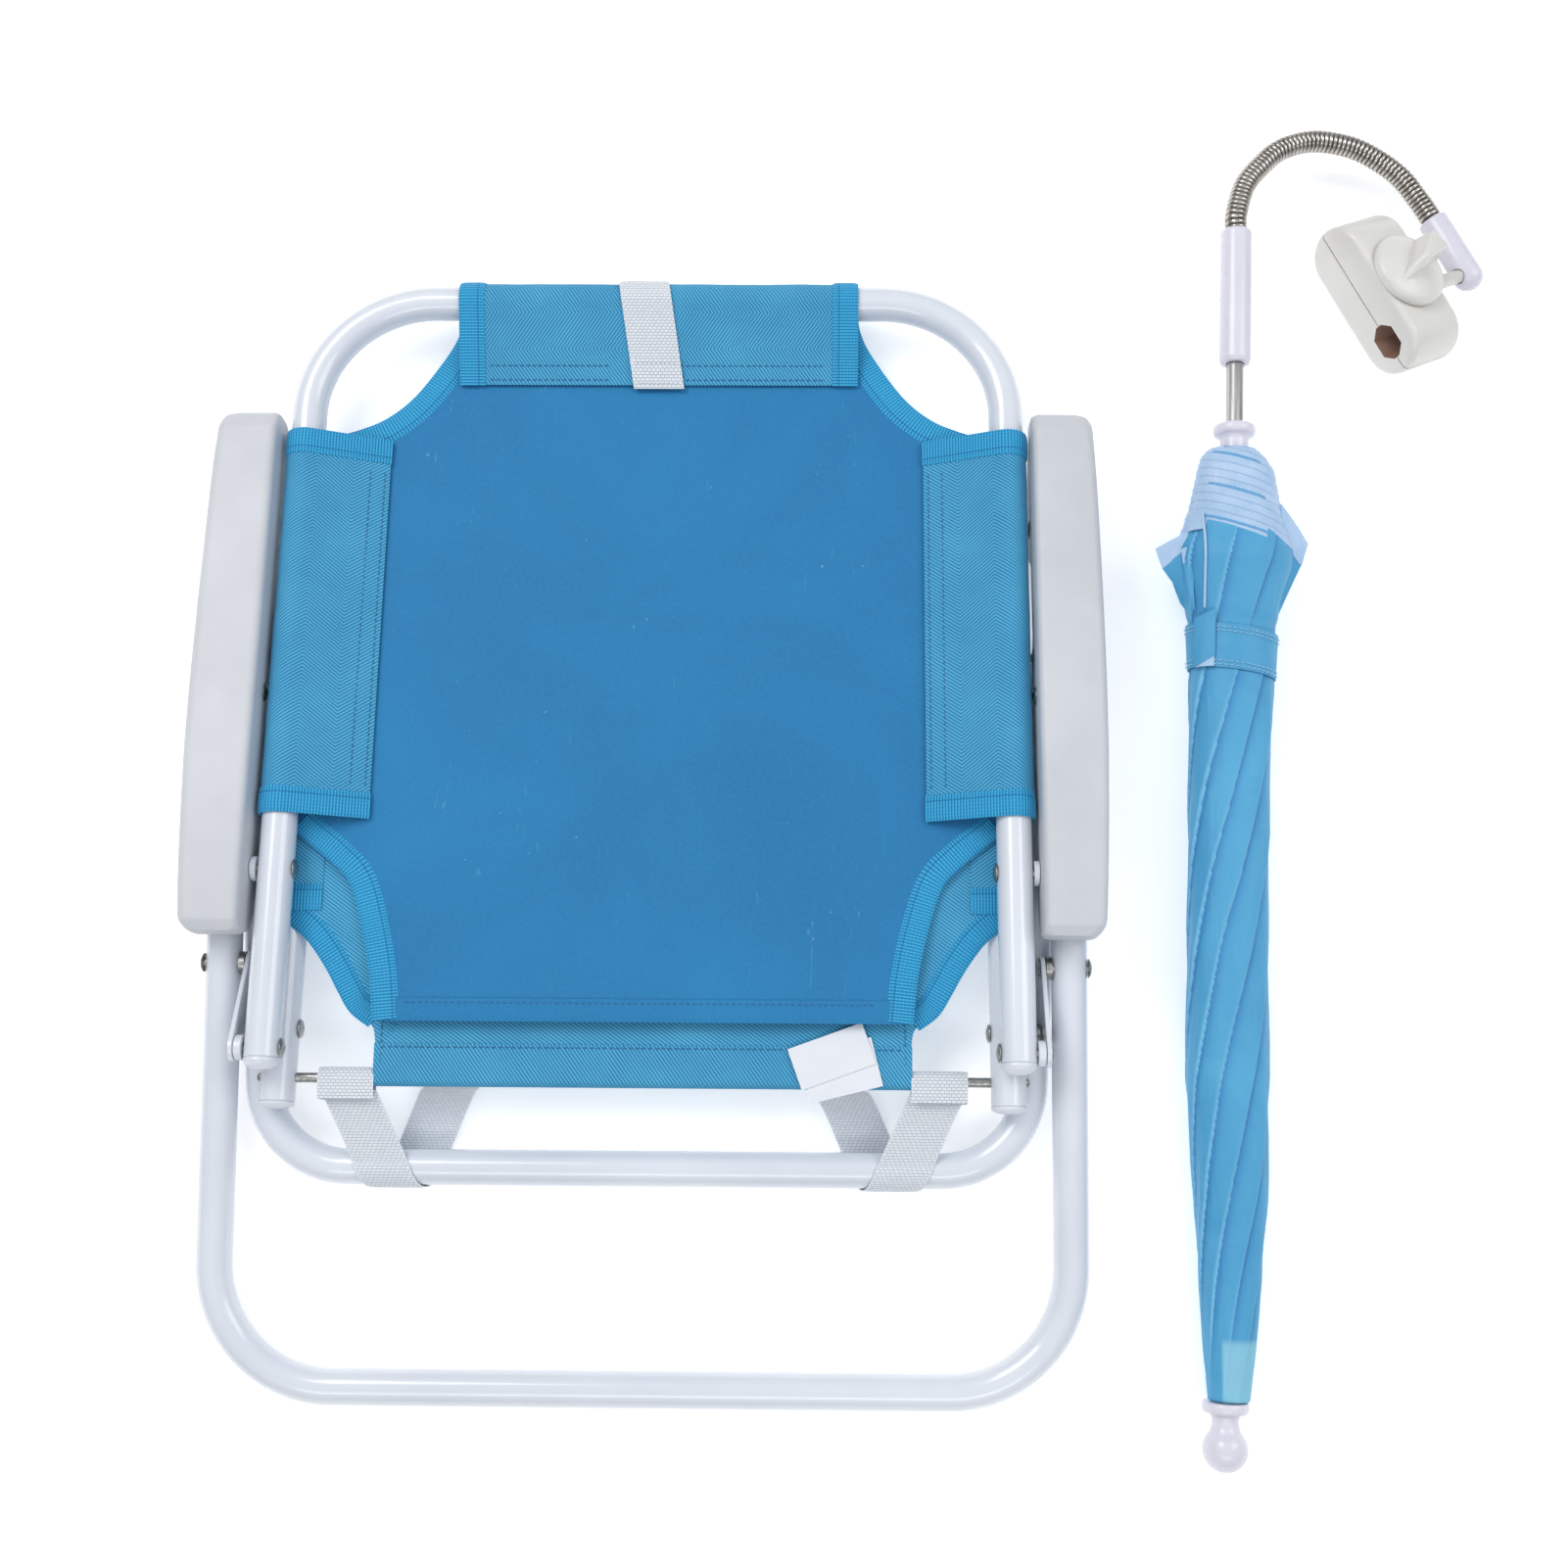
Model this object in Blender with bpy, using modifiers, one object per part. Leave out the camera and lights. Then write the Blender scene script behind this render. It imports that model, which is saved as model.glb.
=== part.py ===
"""Child's folding beach chair with a clamp-on umbrella, folded flat and lying on the floor.

Four steel tube frames (back, seat, rear legs, front legs) hang in two plastic
armrests and two hinge plates. The furled umbrella lies on the right, with its
gooseneck and clamp. +X is right, +Y runs towards the top bar of the back, +Z is
up. The origin is on the floor under the centre line. Metres.
"""

import math

import bmesh
import bpy
from mathutils import Matrix, Vector

# ---------------------------------------------------------------- dimensions
MM = 0.001
GAP = 0.3 * MM

TUBE_R = 8.0 * MM          # all four frames are 16 mm tube
TUBE_WALL = 1.0 * MM
ROD_R = 2.2 * MM           # zinc cross rod of the seat

# pivots in the folded pose, (Y, Z)
REAR_BAR = (-275.8 * MM, 8.0 * MM)
FRONT_BAR = (-180.3 * MM, 9.4 * MM)
P_FRONT_LEG = (116.0 * MM, 20.0 * MM)     # armrest to front leg frame
P_REAR_LEG = (32.0 * MM, 36.0 * MM)       # armrest to rear leg frame
P_BACK = (-49.5 * MM, 39.6 * MM)          # armrest to back frame
P_PLATE_LEG = (-90.5 * MM, 26.6 * MM)     # hinge plate to rear leg frame
P_PLATE_SEAT = (-119.8 * MM, 25.2 * MM)   # hinge plate to seat frame
P_PLATE_BACK = (-129.0 * MM, 44.6 * MM)   # hinge plate to back frame
P_SEAT_LEG = (55.0 * MM, 15.7 * MM)       # seat frame to front leg frame
SEAT_FRONT = (112.0 * MM, 9.9 * MM)       # centre of the seat's front bar
ROD_Y = -141.4 * MM

# half widths, centre lines of the tubes
BACK_X = 165.0 * MM
SEAT_X = 162.3 * MM
REAR_X = 190.3 * MM
FRONT_X_TOP = 188.0 * MM
FRONT_X_BAR = 171.3 * MM
BACK_LEN = 278.0 * MM      # back pivot to the centre of the top bar
BACK_TAIL = 83.7 * MM      # back pivot to the tube's lower end, without its cap
SEAT_TAIL = 32.0 * MM      # plate pivot to the seat tube's rear end

PLATE_X0, PLATE_X1 = 176.9 * MM, 178.9 * MM
ARM_X0, ARM_X1 = 176.0 * MM, 203.6 * MM
ARM_WALL = 2.2 * MM
ARM_SLOPE = math.radians(-2.8)

SLEEVE_IN, SLEEVE_OUT = 8.4 * MM, 9.3 * MM
CLOTH = 1.2 * MM           # half thickness of the doubled cloth panels

RIVET_R = 2.0 * MM
HOLE_R = 2.35 * MM
HEAD_R = 4.3 * MM

# umbrella
UMB_X0, UMB_DX = 266.9 * MM, 0.036        # axis: X = X0 + DX * Y
UMB_Z0, UMB_DZ = 20.2 * MM, 0.034         # axis: Z = Z0 + DZ * Y
SHAFT_R = 4.0 * MM
HOSE_R = 5.0 * MM
CANOPY_FLAT = 0.78                         # the furled cloth is flattened by lying

CLAMP_C = Vector((348.3, 235.1, 21.4)) * MM
CLAMP_TILT = math.radians(25.0)
CLAMP_ENDS = (-38.0 * MM, 40.0 * MM)       # from the screw, along the block
CLAMP_R = 15.5 * MM
CLAMP_HALF_W = 17.0 * MM


# ---------------------------------------------------------------- scene setup
for ob in list(bpy.data.objects):
    bpy.data.objects.remove(ob, do_unlink=True)
for block in (bpy.data.meshes, bpy.data.curves, bpy.data.materials):
    for item in list(block):
        block.remove(item)

PARTS = bpy.data.collections.new("umbrella_chair")
CUTTERS = bpy.data.collections.new("cutters")
bpy.context.scene.collection.children.link(PARTS)
bpy.context.scene.collection.children.link(CUTTERS)


def material(name, rgb, rough, metal=0.0):
    mat = bpy.data.materials.new(name)
    mat.use_nodes = True
    shader = mat.node_tree.nodes["Principled BSDF"]
    shader.inputs["Base Color"].default_value = (*rgb, 1.0)
    shader.inputs["Roughness"].default_value = rough
    shader.inputs["Metallic"].default_value = metal
    mat.diffuse_color = (*rgb, 1.0)
    return mat


WHITE_TUBE = material("white_enamel", (0.80, 0.80, 0.79), 0.25)
ARM_WHITE = material("white_plastic", (0.76, 0.76, 0.74), 0.50)
CAP_WHITE = material("cap_plastic", (0.80, 0.80, 0.80), 0.35)
PANEL_BLUE = material("panel_cloth", (0.04, 0.24, 0.50), 0.85)
SEAT_BLUE = material("oxford_cloth", (0.07, 0.33, 0.58), 0.85)
CANOPY_BLUE = material("canopy_cloth", (0.10, 0.39, 0.66), 0.65)
WEB_WHITE = material("white_webbing", (0.80, 0.81, 0.82), 0.75)
LABEL_WHITE = material("satin_label", (0.86, 0.86, 0.86), 0.45)
ZINC = material("zinc", (0.62, 0.62, 0.60), 0.35, 1.0)
STEEL = material("steel", (0.60, 0.60, 0.60), 0.28, 1.0)
CLAMP_WHITE = material("clamp_plastic", (0.72, 0.72, 0.69), 0.40)


def axis_angle(a, b):
    return math.atan2(b[1] - a[1], b[0] - a[0])


def body(name, pivot, slope=0.0):
    """An empty on a joint's axis, turned so its local Y runs along the tube."""
    empty = bpy.data.objects.new(name, None)
    empty.empty_display_size = 0.02
    empty.location = (0.0, pivot[0], pivot[1])
    empty.rotation_euler = (slope, 0.0, 0.0)
    PARTS.objects.link(empty)
    bpy.context.view_layer.update()
    return empty


REAR = body("rear_legs", REAR_BAR, axis_angle(REAR_BAR, P_REAR_LEG))
ARMS = body("armrests", P_REAR_LEG, ARM_SLOPE)
BACK = body("backrest", P_BACK, axis_angle(P_PLATE_BACK, P_BACK))
PLATES = body("hinge_plates", P_PLATE_BACK, 0.0)
FRONT = body("front_legs", P_FRONT_LEG, axis_angle(FRONT_BAR, P_FRONT_LEG))
SEAT = body("seat", P_SEAT_LEG, axis_angle(P_PLATE_SEAT, SEAT_FRONT))


def local(empty, point):
    """World (Y, Z) of the folded pose to the local (y, z) of a body."""
    v = empty.matrix_world.inverted() @ Vector((0.0, point[0], point[1]))
    return v.y, v.z


# ---------------------------------------------------------------- modelling
def face_out(bm):
    """Turns a closed shape's faces outwards."""
    bmesh.ops.recalc_face_normals(bm, faces=bm.faces)
    if bm.calc_volume(signed=True) < 0:
        bmesh.ops.reverse_faces(bm, faces=bm.faces)


def obj_from_bmesh(name, bm, parent=None, mat=None, smooth=True, angle=35):
    me = bpy.data.meshes.new(name)
    face_out(bm)
    bm.normal_update()
    bm.to_mesh(me)
    bm.free()
    ob = bpy.data.objects.new(name, me)
    PARTS.objects.link(ob)
    if parent is not None:
        ob.parent = parent
    if mat is not None:
        me.materials.append(mat)
    if smooth:
        me.shade_smooth()
        me.set_sharp_from_angle(angle=math.radians(angle))
    return ob


def evaluated_mesh(ob):
    bpy.context.view_layer.update()
    dg = bpy.context.evaluated_depsgraph_get()
    return bpy.data.meshes.new_from_object(ob.evaluated_get(dg), depsgraph=dg)


def curve_tube(name, points, radius, resolution, taper=None):
    """A round bar along points, as a closed mesh. taper scales its radius at each."""
    cu = bpy.data.curves.new(name, "CURVE")
    cu.dimensions = "3D"
    cu.bevel_depth = radius
    cu.bevel_resolution = resolution
    cu.use_fill_caps = True
    sp = cu.splines.new("POLY")
    sp.points.add(len(points) - 1)
    for p, co, r in zip(sp.points, points, taper or [1.0] * len(points)):
        p.co = (*co, 1.0)
        p.radius = r
    ob = bpy.data.objects.new(name, cu)
    PARTS.objects.link(ob)
    me = evaluated_mesh(ob)
    bpy.data.objects.remove(ob, do_unlink=True)
    bm = bmesh.new()
    bm.from_mesh(me)
    bpy.data.meshes.remove(me)
    bmesh.ops.remove_doubles(bm, verts=bm.verts, dist=0.00002)
    bmesh.ops.recalc_face_normals(bm, faces=bm.faces)
    return bm


def boolean(ob, cutter_bm, operation):
    """Applies one Boolean with a shape that shares ob's local frame."""
    me = bpy.data.meshes.new("tool")
    face_out(cutter_bm)
    cutter_bm.to_mesh(me)
    cutter_bm.free()
    tool = bpy.data.objects.new("tool", me)
    tool.hide_render = True
    tool.display_type = "WIRE"
    CUTTERS.objects.link(tool)
    tool.matrix_world = ob.matrix_world
    mod = ob.modifiers.new("b", "BOOLEAN")
    mod.operation = operation
    mod.solver = "EXACT"
    mod.object = tool
    bpy.context.view_layer.update()
    tool.matrix_world = ob.matrix_world
    me2 = evaluated_mesh(ob)
    ob.modifiers.clear()
    old = ob.data
    ob.data = me2
    bpy.data.meshes.remove(old)
    bpy.data.objects.remove(tool, do_unlink=True)
    bpy.data.meshes.remove(me)
    return ob


def cut(ob, *bms):
    for bm in bms:
        boolean(ob, bm, "DIFFERENCE")


def join(ob, *bms):
    for bm in bms:
        boolean(ob, bm, "UNION")


def finish(ob, angle=35):
    me = ob.data
    me.shade_smooth()
    me.set_sharp_from_angle(angle=math.radians(angle))
    return ob


def basis(direction, up=None):
    """A rotation whose Z runs along direction."""
    z = Vector(direction).normalized()
    x = Vector(up) if up is not None else (Vector((1, 0, 0)) if abs(z.x) < 0.9 else Vector((0, 1, 0)))
    x = (x - z * x.dot(z)).normalized()
    y = z.cross(x)
    return Matrix((x, y, z)).transposed().to_4x4()


def cylinder(start, direction, length, radius, sides=16, up=None):
    bm = bmesh.new()
    bmesh.ops.create_cone(bm, cap_ends=True, segments=sides, radius1=radius, radius2=radius, depth=length)
    bm.transform(Matrix.Translation((0, 0, length / 2)))
    bm.transform(Matrix.Translation(start) @ basis(direction, up))
    return bm


def block(low, high):
    bm = bmesh.new()
    bmesh.ops.create_cube(bm, size=1.0)
    size = [high[i] - low[i] for i in range(3)]
    mid = [(high[i] + low[i]) / 2 for i in range(3)]
    bm.transform(Matrix.Translation(mid) @ Matrix.Diagonal((*size, 1.0)))
    return bm


def prism(outline, place, depth0, depth1):
    """A flat outline (a, b) swept from depth0 to depth1, placed by place(a, b, d)."""
    bm = bmesh.new()
    low = [bm.verts.new(place(a, b, depth0)) for a, b in outline]
    face = bm.faces.new(low)
    made = bmesh.ops.extrude_face_region(bm, geom=[face])
    top = [v for v in made["geom"] if isinstance(v, bmesh.types.BMVert)]
    shift = place(0, 0, depth1) - place(0, 0, depth0)
    bmesh.ops.translate(bm, verts=top, vec=shift)
    bmesh.ops.recalc_face_normals(bm, faces=bm.faces)
    return bm


def turned(name, profile, start, direction, sides=14, parent=None, mat=None, up=None):
    """A turned piece: profile is (radius, distance along direction), from the far
    end to the near end, and starts and ends on the axis."""
    bm = bmesh.new()
    vs = [bm.verts.new((r, 0.0, z)) for r, z in profile]
    for a, b in zip(vs, vs[1:]):
        bm.edges.new((a, b))
    me = bpy.data.meshes.new(name)
    bm.to_mesh(me)
    bm.free()
    ob = bpy.data.objects.new(name, me)
    PARTS.objects.link(ob)
    mod = ob.modifiers.new("turn", "SCREW")
    mod.axis = "Z"
    mod.steps = mod.render_steps = sides
    mod.use_merge_vertices = True
    mod.merge_threshold = 0.00001
    mod.use_smooth_shade = True
    new = evaluated_mesh(ob)
    bpy.data.objects.remove(ob, do_unlink=True)
    bpy.data.meshes.remove(me)
    bm = bmesh.new()
    bm.from_mesh(new)
    bpy.data.meshes.remove(new)
    bmesh.ops.remove_doubles(bm, verts=bm.verts, dist=0.00001)
    bm.transform(Matrix.Translation(start) @ basis(direction, up))
    bmesh.ops.recalc_face_normals(bm, faces=bm.faces)
    if name.startswith("cutter"):
        return bm
    return obj_from_bmesh(name, bm, parent, mat)


def fillet(points, radii, steps=7):
    """Rounds the inner corners of a path."""
    out = [Vector(points[0])]
    for i in range(1, len(points) - 1):
        p0, p1, p2 = (Vector(points[j]) for j in (i - 1, i, i + 1))
        a, b = (p0 - p1).normalized(), (p2 - p1).normalized()
        half = a.angle(b) / 2
        reach = radii[i - 1] / math.tan(half)
        centre = p1 + (a + b).normalized() * (radii[i - 1] / math.sin(half))
        start, end = p1 + a * reach - centre, p1 + b * reach - centre
        turn = start.angle(end)
        for k in range(steps + 1):
            t = k / steps
            v = (start * math.sin((1 - t) * turn) + end * math.sin(t * turn)) / math.sin(turn)
            out.append(centre + v)
    out.append(Vector(points[-1]))
    return out


def hollow_tube(name, path, parent, mat, holes=(), radius=TUBE_R, wall=TUBE_WALL):
    """A bent steel tube, open at both ends, with cross holes."""
    ob = obj_from_bmesh(name, curve_tube(name, path, radius, 4), parent, mat)
    inner = [Vector(p) for p in path]
    inner[0] = inner[0] + (inner[0] - inner[1]).normalized() * 0.004
    inner[-1] = inner[-1] + (inner[-1] - inner[-2]).normalized() * 0.004
    cut(ob, curve_tube("bore", inner, radius - wall, 2))
    for at in holes:
        cut(ob, cylinder(Vector(at) - Vector((0.014, 0, 0)), (1, 0, 0), 0.028, HOLE_R, 10))
    return finish(ob)


def sides_of(name):
    return (("left", -1.0), ("right", 1.0))


def dome(r, h, z, steps=3):
    """Profile points of a shallow dome of radius r and height h, ending at z."""
    return [(r * math.sin(math.pi / 2 * k / steps), z + h * math.cos(math.pi / 2 * k / steps)) for k in range(steps + 1)]


def rivet(name, at, parent, mat, sgn, x0, x1, head0=True, head1=True, collar=None, head_h=1.7 * MM):
    """A tubular rivet along X between |x| = x0 and x1, with domed heads outside
    that span and an optional thicker collar (x from, x to, radius)."""
    prof = []
    if head1:
        prof += dome(HEAD_R, head_h, x1)
        prof += [(RIVET_R, x1)]
    else:
        prof += [(0.0, x1), (RIVET_R, x1)]
    if collar:
        c0, c1, cr = collar
        if c1 < x1:
            prof += [(RIVET_R, c1), (cr, c1)]
        else:
            prof = [(0.0, c1), (cr, c1)]
        prof += [(cr, c0), (RIVET_R, c0)]
    prof += [(RIVET_R, x0)]
    if head0:
        low = [(r, 2 * x0 - z) for r, z in reversed(dome(HEAD_R, head_h, x0))]
        prof += low
    else:
        prof += [(0.0, x0)]
    return turned(name, prof, (0.0, at[0], at[1]), (sgn, 0, 0), 12, parent, mat)


def washer(name, at, parent, sgn, x0, x1, r_out=6.0 * MM, r_in=2.5 * MM):
    ob = obj_from_bmesh(name, cylinder((sgn * x0, at[0], at[1]), (sgn, 0, 0), x1 - x0, r_out, 16), parent, CAP_WHITE)
    cut(ob, cylinder((sgn * (x0 - 0.002), at[0], at[1]), (sgn, 0, 0), x1 - x0 + 0.004, r_in, 12))
    return finish(ob)


# ---------------------------------------------------------------- back frame
back_plate = local(BACK, P_PLATE_BACK)
back_path = fillet(
    [(-BACK_X, -BACK_TAIL, 0), (-BACK_X, BACK_LEN, 0), (BACK_X, BACK_LEN, 0), (BACK_X, -BACK_TAIL, 0)],
    (58 * MM, 58 * MM), 9)
hollow_tube("back_frame", back_path, BACK, WHITE_TUBE,
            [(s * BACK_X, y, z) for s in (-1, 1) for y, z in ((0.0, 0.0), back_plate)])

for side, s in sides_of("cap"):
    # domed plug: its stem sits in the bore, its dome covers the tube's end
    prof = [(0.0, 1.1 * MM), (6.3 * MM, 1.1 * MM), (6.3 * MM, -GAP), (TUBE_R, -GAP)]
    prof += [(TUBE_R * math.cos(a), -GAP - 0.9 * MM - 4.5 * MM * math.sin(a)) for a in (0.0, 0.45, 0.95, 1.3)]
    prof += [(0.0, -GAP - 5.4 * MM)]
    turned("back_frame_cap_" + side, prof, (s * BACK_X, -BACK_TAIL, 0), (0, 1, 0), 16, BACK, CAP_WHITE)

# ---------------------------------------------------------------- seat frame
seat_plate = local(SEAT, P_PLATE_SEAT)
seat_front = local(SEAT, SEAT_FRONT)
seat_z = seat_plate[1]
seat_tail_y = seat_plate[0] - SEAT_TAIL
rod_y = seat_plate[0] + (ROD_Y - P_PLATE_SEAT[0])
seat_path = fillet(
    [(-SEAT_X, seat_tail_y, seat_z), (-SEAT_X, seat_front[0], seat_z), (SEAT_X, seat_front[0], seat_z), (SEAT_X, seat_tail_y, seat_z)],
    (38 * MM, 38 * MM), 7)
seat_frame = hollow_tube("seat_frame", seat_path, SEAT, WHITE_TUBE,
                         [(s * SEAT_X, y, z) for s in (-1, 1) for y, z in (seat_plate, (0.0, 0.0))])
cut(seat_frame, cylinder((-0.20, rod_y, seat_z), (1, 0, 0), 0.40, ROD_R + 0.35 * MM, 10))
finish(seat_frame)

for side, s in sides_of("cap"):
    prof = [(0.0, 3.0 * MM), (6.3 * MM, 3.0 * MM), (6.3 * MM, -GAP), (TUBE_R, -GAP)]
    prof += [(TUBE_R * math.cos(a), -GAP - 0.8 * MM - 2.4 * MM * math.sin(a)) for a in (0.0, 0.6, 1.1)]
    prof += [(0.0, -GAP - 3.2 * MM)]
    turned("seat_frame_cap_" + side, prof, (s * SEAT_X, seat_tail_y, seat_z), (0, 1, 0), 16, SEAT, CAP_WHITE)

rod_half = SEAT_X + TUBE_R + 1.2 * MM
turned("seat_cross_rod",
       [(0.0, 2 * rod_half), (ROD_R * 0.6, 2 * rod_half), (ROD_R, 2 * rod_half - 1 * MM), (ROD_R, 1 * MM), (ROD_R * 0.6, 0.0), (0.0, 0.0)],
       (-rod_half, rod_y, seat_z), (1, 0, 0), 10, SEAT, ZINC)

# ---------------------------------------------------------------- leg frames
rear_p2 = local(REAR, P_REAR_LEG)
rear_p4 = local(REAR, P_PLATE_LEG)
rear_end = rear_p2[0] + 9 * MM
rear_path = fillet(
    [(-REAR_X, rear_end, 0), (-REAR_X, 0, 0), (REAR_X, 0, 0), (REAR_X, rear_end, 0)], (54 * MM, 54 * MM), 8)
hollow_tube("rear_leg_frame", rear_path, REAR, WHITE_TUBE,
            [(s * REAR_X, y, z) for s in (-1, 1) for y, z in (rear_p2, rear_p4)])

front_bar = local(FRONT, FRONT_BAR)
front_p8 = local(FRONT, P_SEAT_LEG)
front_end = 9 * MM


def front_x(y):
    """Half width of the splayed front legs at local y."""
    t = y / front_bar[0]
    return FRONT_X_TOP + (FRONT_X_BAR - FRONT_X_TOP) * t


front_path = fillet(
    [(-front_x(front_end), front_end, 0), (-front_x(front_bar[0]), front_bar[0], 0),
     (front_x(front_bar[0]), front_bar[0], 0), (front_x(front_end), front_end, 0)], (40 * MM, 40 * MM), 7)
hollow_tube("front_leg_frame", front_path, FRONT, WHITE_TUBE,
            [(s * front_x(y), y, z) for s in (-1, 1) for y, z in ((0.0, 0.0), front_p8)])

# ---------------------------------------------------------------- armrests
# side outline in the armrest's own (y, z), from the rear underside round the front
arm_top = [(-112, 9.0), (-111.5, 13.5), (-107, 16.6), (-90, 17.6), (-60, 17.9), (-30, 17.6), (0, 16.6),
           (30, 15.4), (60, 14.6), (90, 14.4), (112, 14.2), (126, 13.0), (133, 9.5), (136, 4.0), (135.5, -2.0)]
arm_low = [(132, -8.0), (122, -13.0), (108, -19.0), (97, -23.5), (85, -24.5), (75, -22.5), (70, -16.0),
           (66, -9.0), (30, -8.0), (0, -8.5), (-60, -8.5), (-100, -9.0), (-109, -4.0)]


def arm_bulge(y):
    """How far the outer side stands out at y, a shallow bow in plan."""
    t = (y * 1000 + 112) / 248
    return (3.0 * math.sin(math.pi * min(max(t, 0), 1)) ** 0.8 - 2.0 * max(0.0, 0.35 - t)) * MM


def arm_x(x, s):
    return s * (ARM_X0 + x)


arm_p3 = local(ARMS, P_BACK)
arm_p1 = local(ARMS, P_FRONT_LEG)
for side, s in sides_of("arm"):
    outline = [(y * MM, z * MM) for y, z in arm_top + arm_low]
    bm = prism(outline, lambda a, b, d: Vector((d, a, b)), s * ARM_X0, s * ARM_X1)
    edges = [e for e in bm.edges
             if abs(e.verts[0].co.x - e.verts[1].co.x) < 1e-6 and min(v.co.z for v in e.verts) > -3 * MM]
    bmesh.ops.bevel(bm, geom=edges, offset=4.2 * MM, segments=3, profile=0.5, affect="EDGES")
    for v in bm.verts:
        if abs(v.co.x) > ARM_X1 - 5 * MM:
            v.co.x += s * arm_bulge(v.co.y) * (abs(v.co.x) - (ARM_X1 - 5 * MM)) / (5 * MM)
    bmesh.ops.recalc_face_normals(bm, faces=bm.faces)
    arm = obj_from_bmesh("armrest_" + side, bm, ARMS, ARM_WHITE)
    # the channel under the arm, open below, that the leg tubes fold into
    w = ARM_WALL
    inner = [(-109.3, -30), (-109.3, 8.0), (-105, 13.8), (-90, 15.0), (-60, 15.4), (-30, 15.1), (0, 14.2),
             (30, 13.0), (60, 12.1), (90, 11.9), (112, 11.7), (124, 10.0), (130.5, 7.0), (133, 3.0),
             (132.6, -2.5), (129, -30)]
    inner = [(y * MM, z * MM) for y, z in inner]
    cut(arm, prism(inner, lambda a, b, d: Vector((d, a, b)), s * (ARM_X0 + w), s * (ARM_X1 - w)))
    for y, z, reach in ((0.0, 0.0, 26.2), (arm_p1[0], arm_p1[1], 26.2)):
        cut(arm, cylinder((s * (ARM_X0 - 0.004), y, z), (s, 0, 0), reach * MM + 0.004, HOLE_R, 10))
    cut(arm, cylinder((s * (ARM_X0 - 0.004), arm_p3[0], arm_p3[1]), (s, 0, 0), 0.010, HOLE_R, 10))
    finish(arm, 40)

    inner_x, outer_x = ARM_X0 - GAP, ARM_X0 + 25.9 * MM
    rivet("rear_leg_rivet_" + side, (0.0, 0.0), ARMS, ZINC, s, inner_x, outer_x, True, False, head_h=1.1 * MM)
    rivet("front_leg_rivet_" + side, arm_p1, ARMS, ZINC, s, inner_x, outer_x, True, False, head_h=1.1 * MM)
    rivet("back_pivot_rivet_" + side, (0.0, 0.0), BACK, ZINC, s, BACK_X - TUBE_R - GAP, ARM_X0 + ARM_WALL + GAP,
          True, True, head_h=1.4 * MM)
    washer("back_pivot_bushing_" + side, (0.0, 0.0), BACK, s, BACK_X + TUBE_R + GAP, ARM_X0 - GAP, 5.6 * MM)

# ---------------------------------------------------------------- hinge plates
for side, s in sides_of("plate"):
    centres = [(local(PLATES, P_PLATE_BACK), 6.2), (local(PLATES, P_PLATE_LEG), 5.2), (local(PLATES, P_PLATE_SEAT), 5.2)]
    bm = bmesh.new()
    for (y, z), r in centres:
        for k in range(16):
            a = 2 * math.pi * k / 16
            bm.verts.new((s * PLATE_X0, y + r * MM * math.cos(a), z + r * MM * math.sin(a)))
    hull = bmesh.ops.convex_hull(bm, input=bm.verts)
    loose = [v for v in bm.verts if not v.link_faces]
    bmesh.ops.delete(bm, geom=loose, context="VERTS")
    around = sorted(((v.co.y, v.co.z) for v in bm.verts),
                    key=lambda p: math.atan2(p[1] + 12 * MM, p[0] - 15 * MM))
    bm.free()
    bm = prism(around, lambda a, b, d: Vector((d, a, b)), s * PLATE_X0, s * PLATE_X1)
    plate = obj_from_bmesh("hinge_plate_" + side, bm, PLATES, WHITE_TUBE, smooth=False)
    for (y, z), r in centres:
        cut(plate, cylinder((s * (PLATE_X0 - 0.003), y, z), (s, 0, 0), 0.008, HOLE_R, 10))
    finish(plate)
    # plate to back: a whole pivot, carried by the back
    rivet("plate_back_rivet_" + side, back_plate, BACK, ZINC, s, BACK_X - TUBE_R - GAP, PLATE_X1 + GAP,
          True, True, head_h=1.3 * MM)
    washer("plate_back_bushing_" + side, back_plate, BACK, s, BACK_X + TUBE_R + GAP, PLATE_X0 - GAP, 5.6 * MM)
    # plate to rear leg and plate to seat: each rivet is parted at the plate's face
    rivet("plate_leg_rivet_" + side, rear_p4, REAR, ZINC, s, PLATE_X1 + 0.5 * MM, REAR_X + TUBE_R + GAP,
          False, True, collar=(PLATE_X1 + 0.5 * MM, REAR_X - TUBE_R - GAP, 5.2 * MM), head_h=1.4 * MM)
    rivet("plate_leg_rivet_head_" + side, centres[1][0], PLATES, ZINC, s, PLATE_X0 - GAP, PLATE_X1 + 0.1 * MM,
          True, False, head_h=1.3 * MM)
    rivet("plate_seat_rivet_" + side, seat_plate, SEAT, ZINC, s, SEAT_X - TUBE_R - GAP, PLATE_X0 - 0.5 * MM,
          True, False, collar=(SEAT_X + TUBE_R + GAP, PLATE_X0 - 0.5 * MM, 4.8 * MM), head_h=1.3 * MM)
    rivet("plate_seat_rivet_head_" + side, centres[2][0], PLATES, ZINC, s, PLATE_X0 - 0.1 * MM, PLATE_X1 + GAP,
          False, True, head_h=1.3 * MM)
    # seat to front leg
    x_leg = front_x(front_p8[0])
    rivet("seat_leg_rivet_" + side, (0.0, 0.0), SEAT, ZINC, s, SEAT_X - TUBE_R - GAP, x_leg + TUBE_R + 0.7 * MM,
          True, True, collar=(SEAT_X + TUBE_R + GAP, x_leg - TUBE_R - 0.6 * MM, 4.6 * MM), head_h=1.3 * MM)


# ---------------------------------------------------------------- soft parts
def flat(outline):
    """Mirrors a right-hand outline (x, y) in millimetres into a whole one."""
    right = [(x * MM, y * MM) for x, y in outline]
    return right + [(-x, y) for x, y in reversed(right)]


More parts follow.
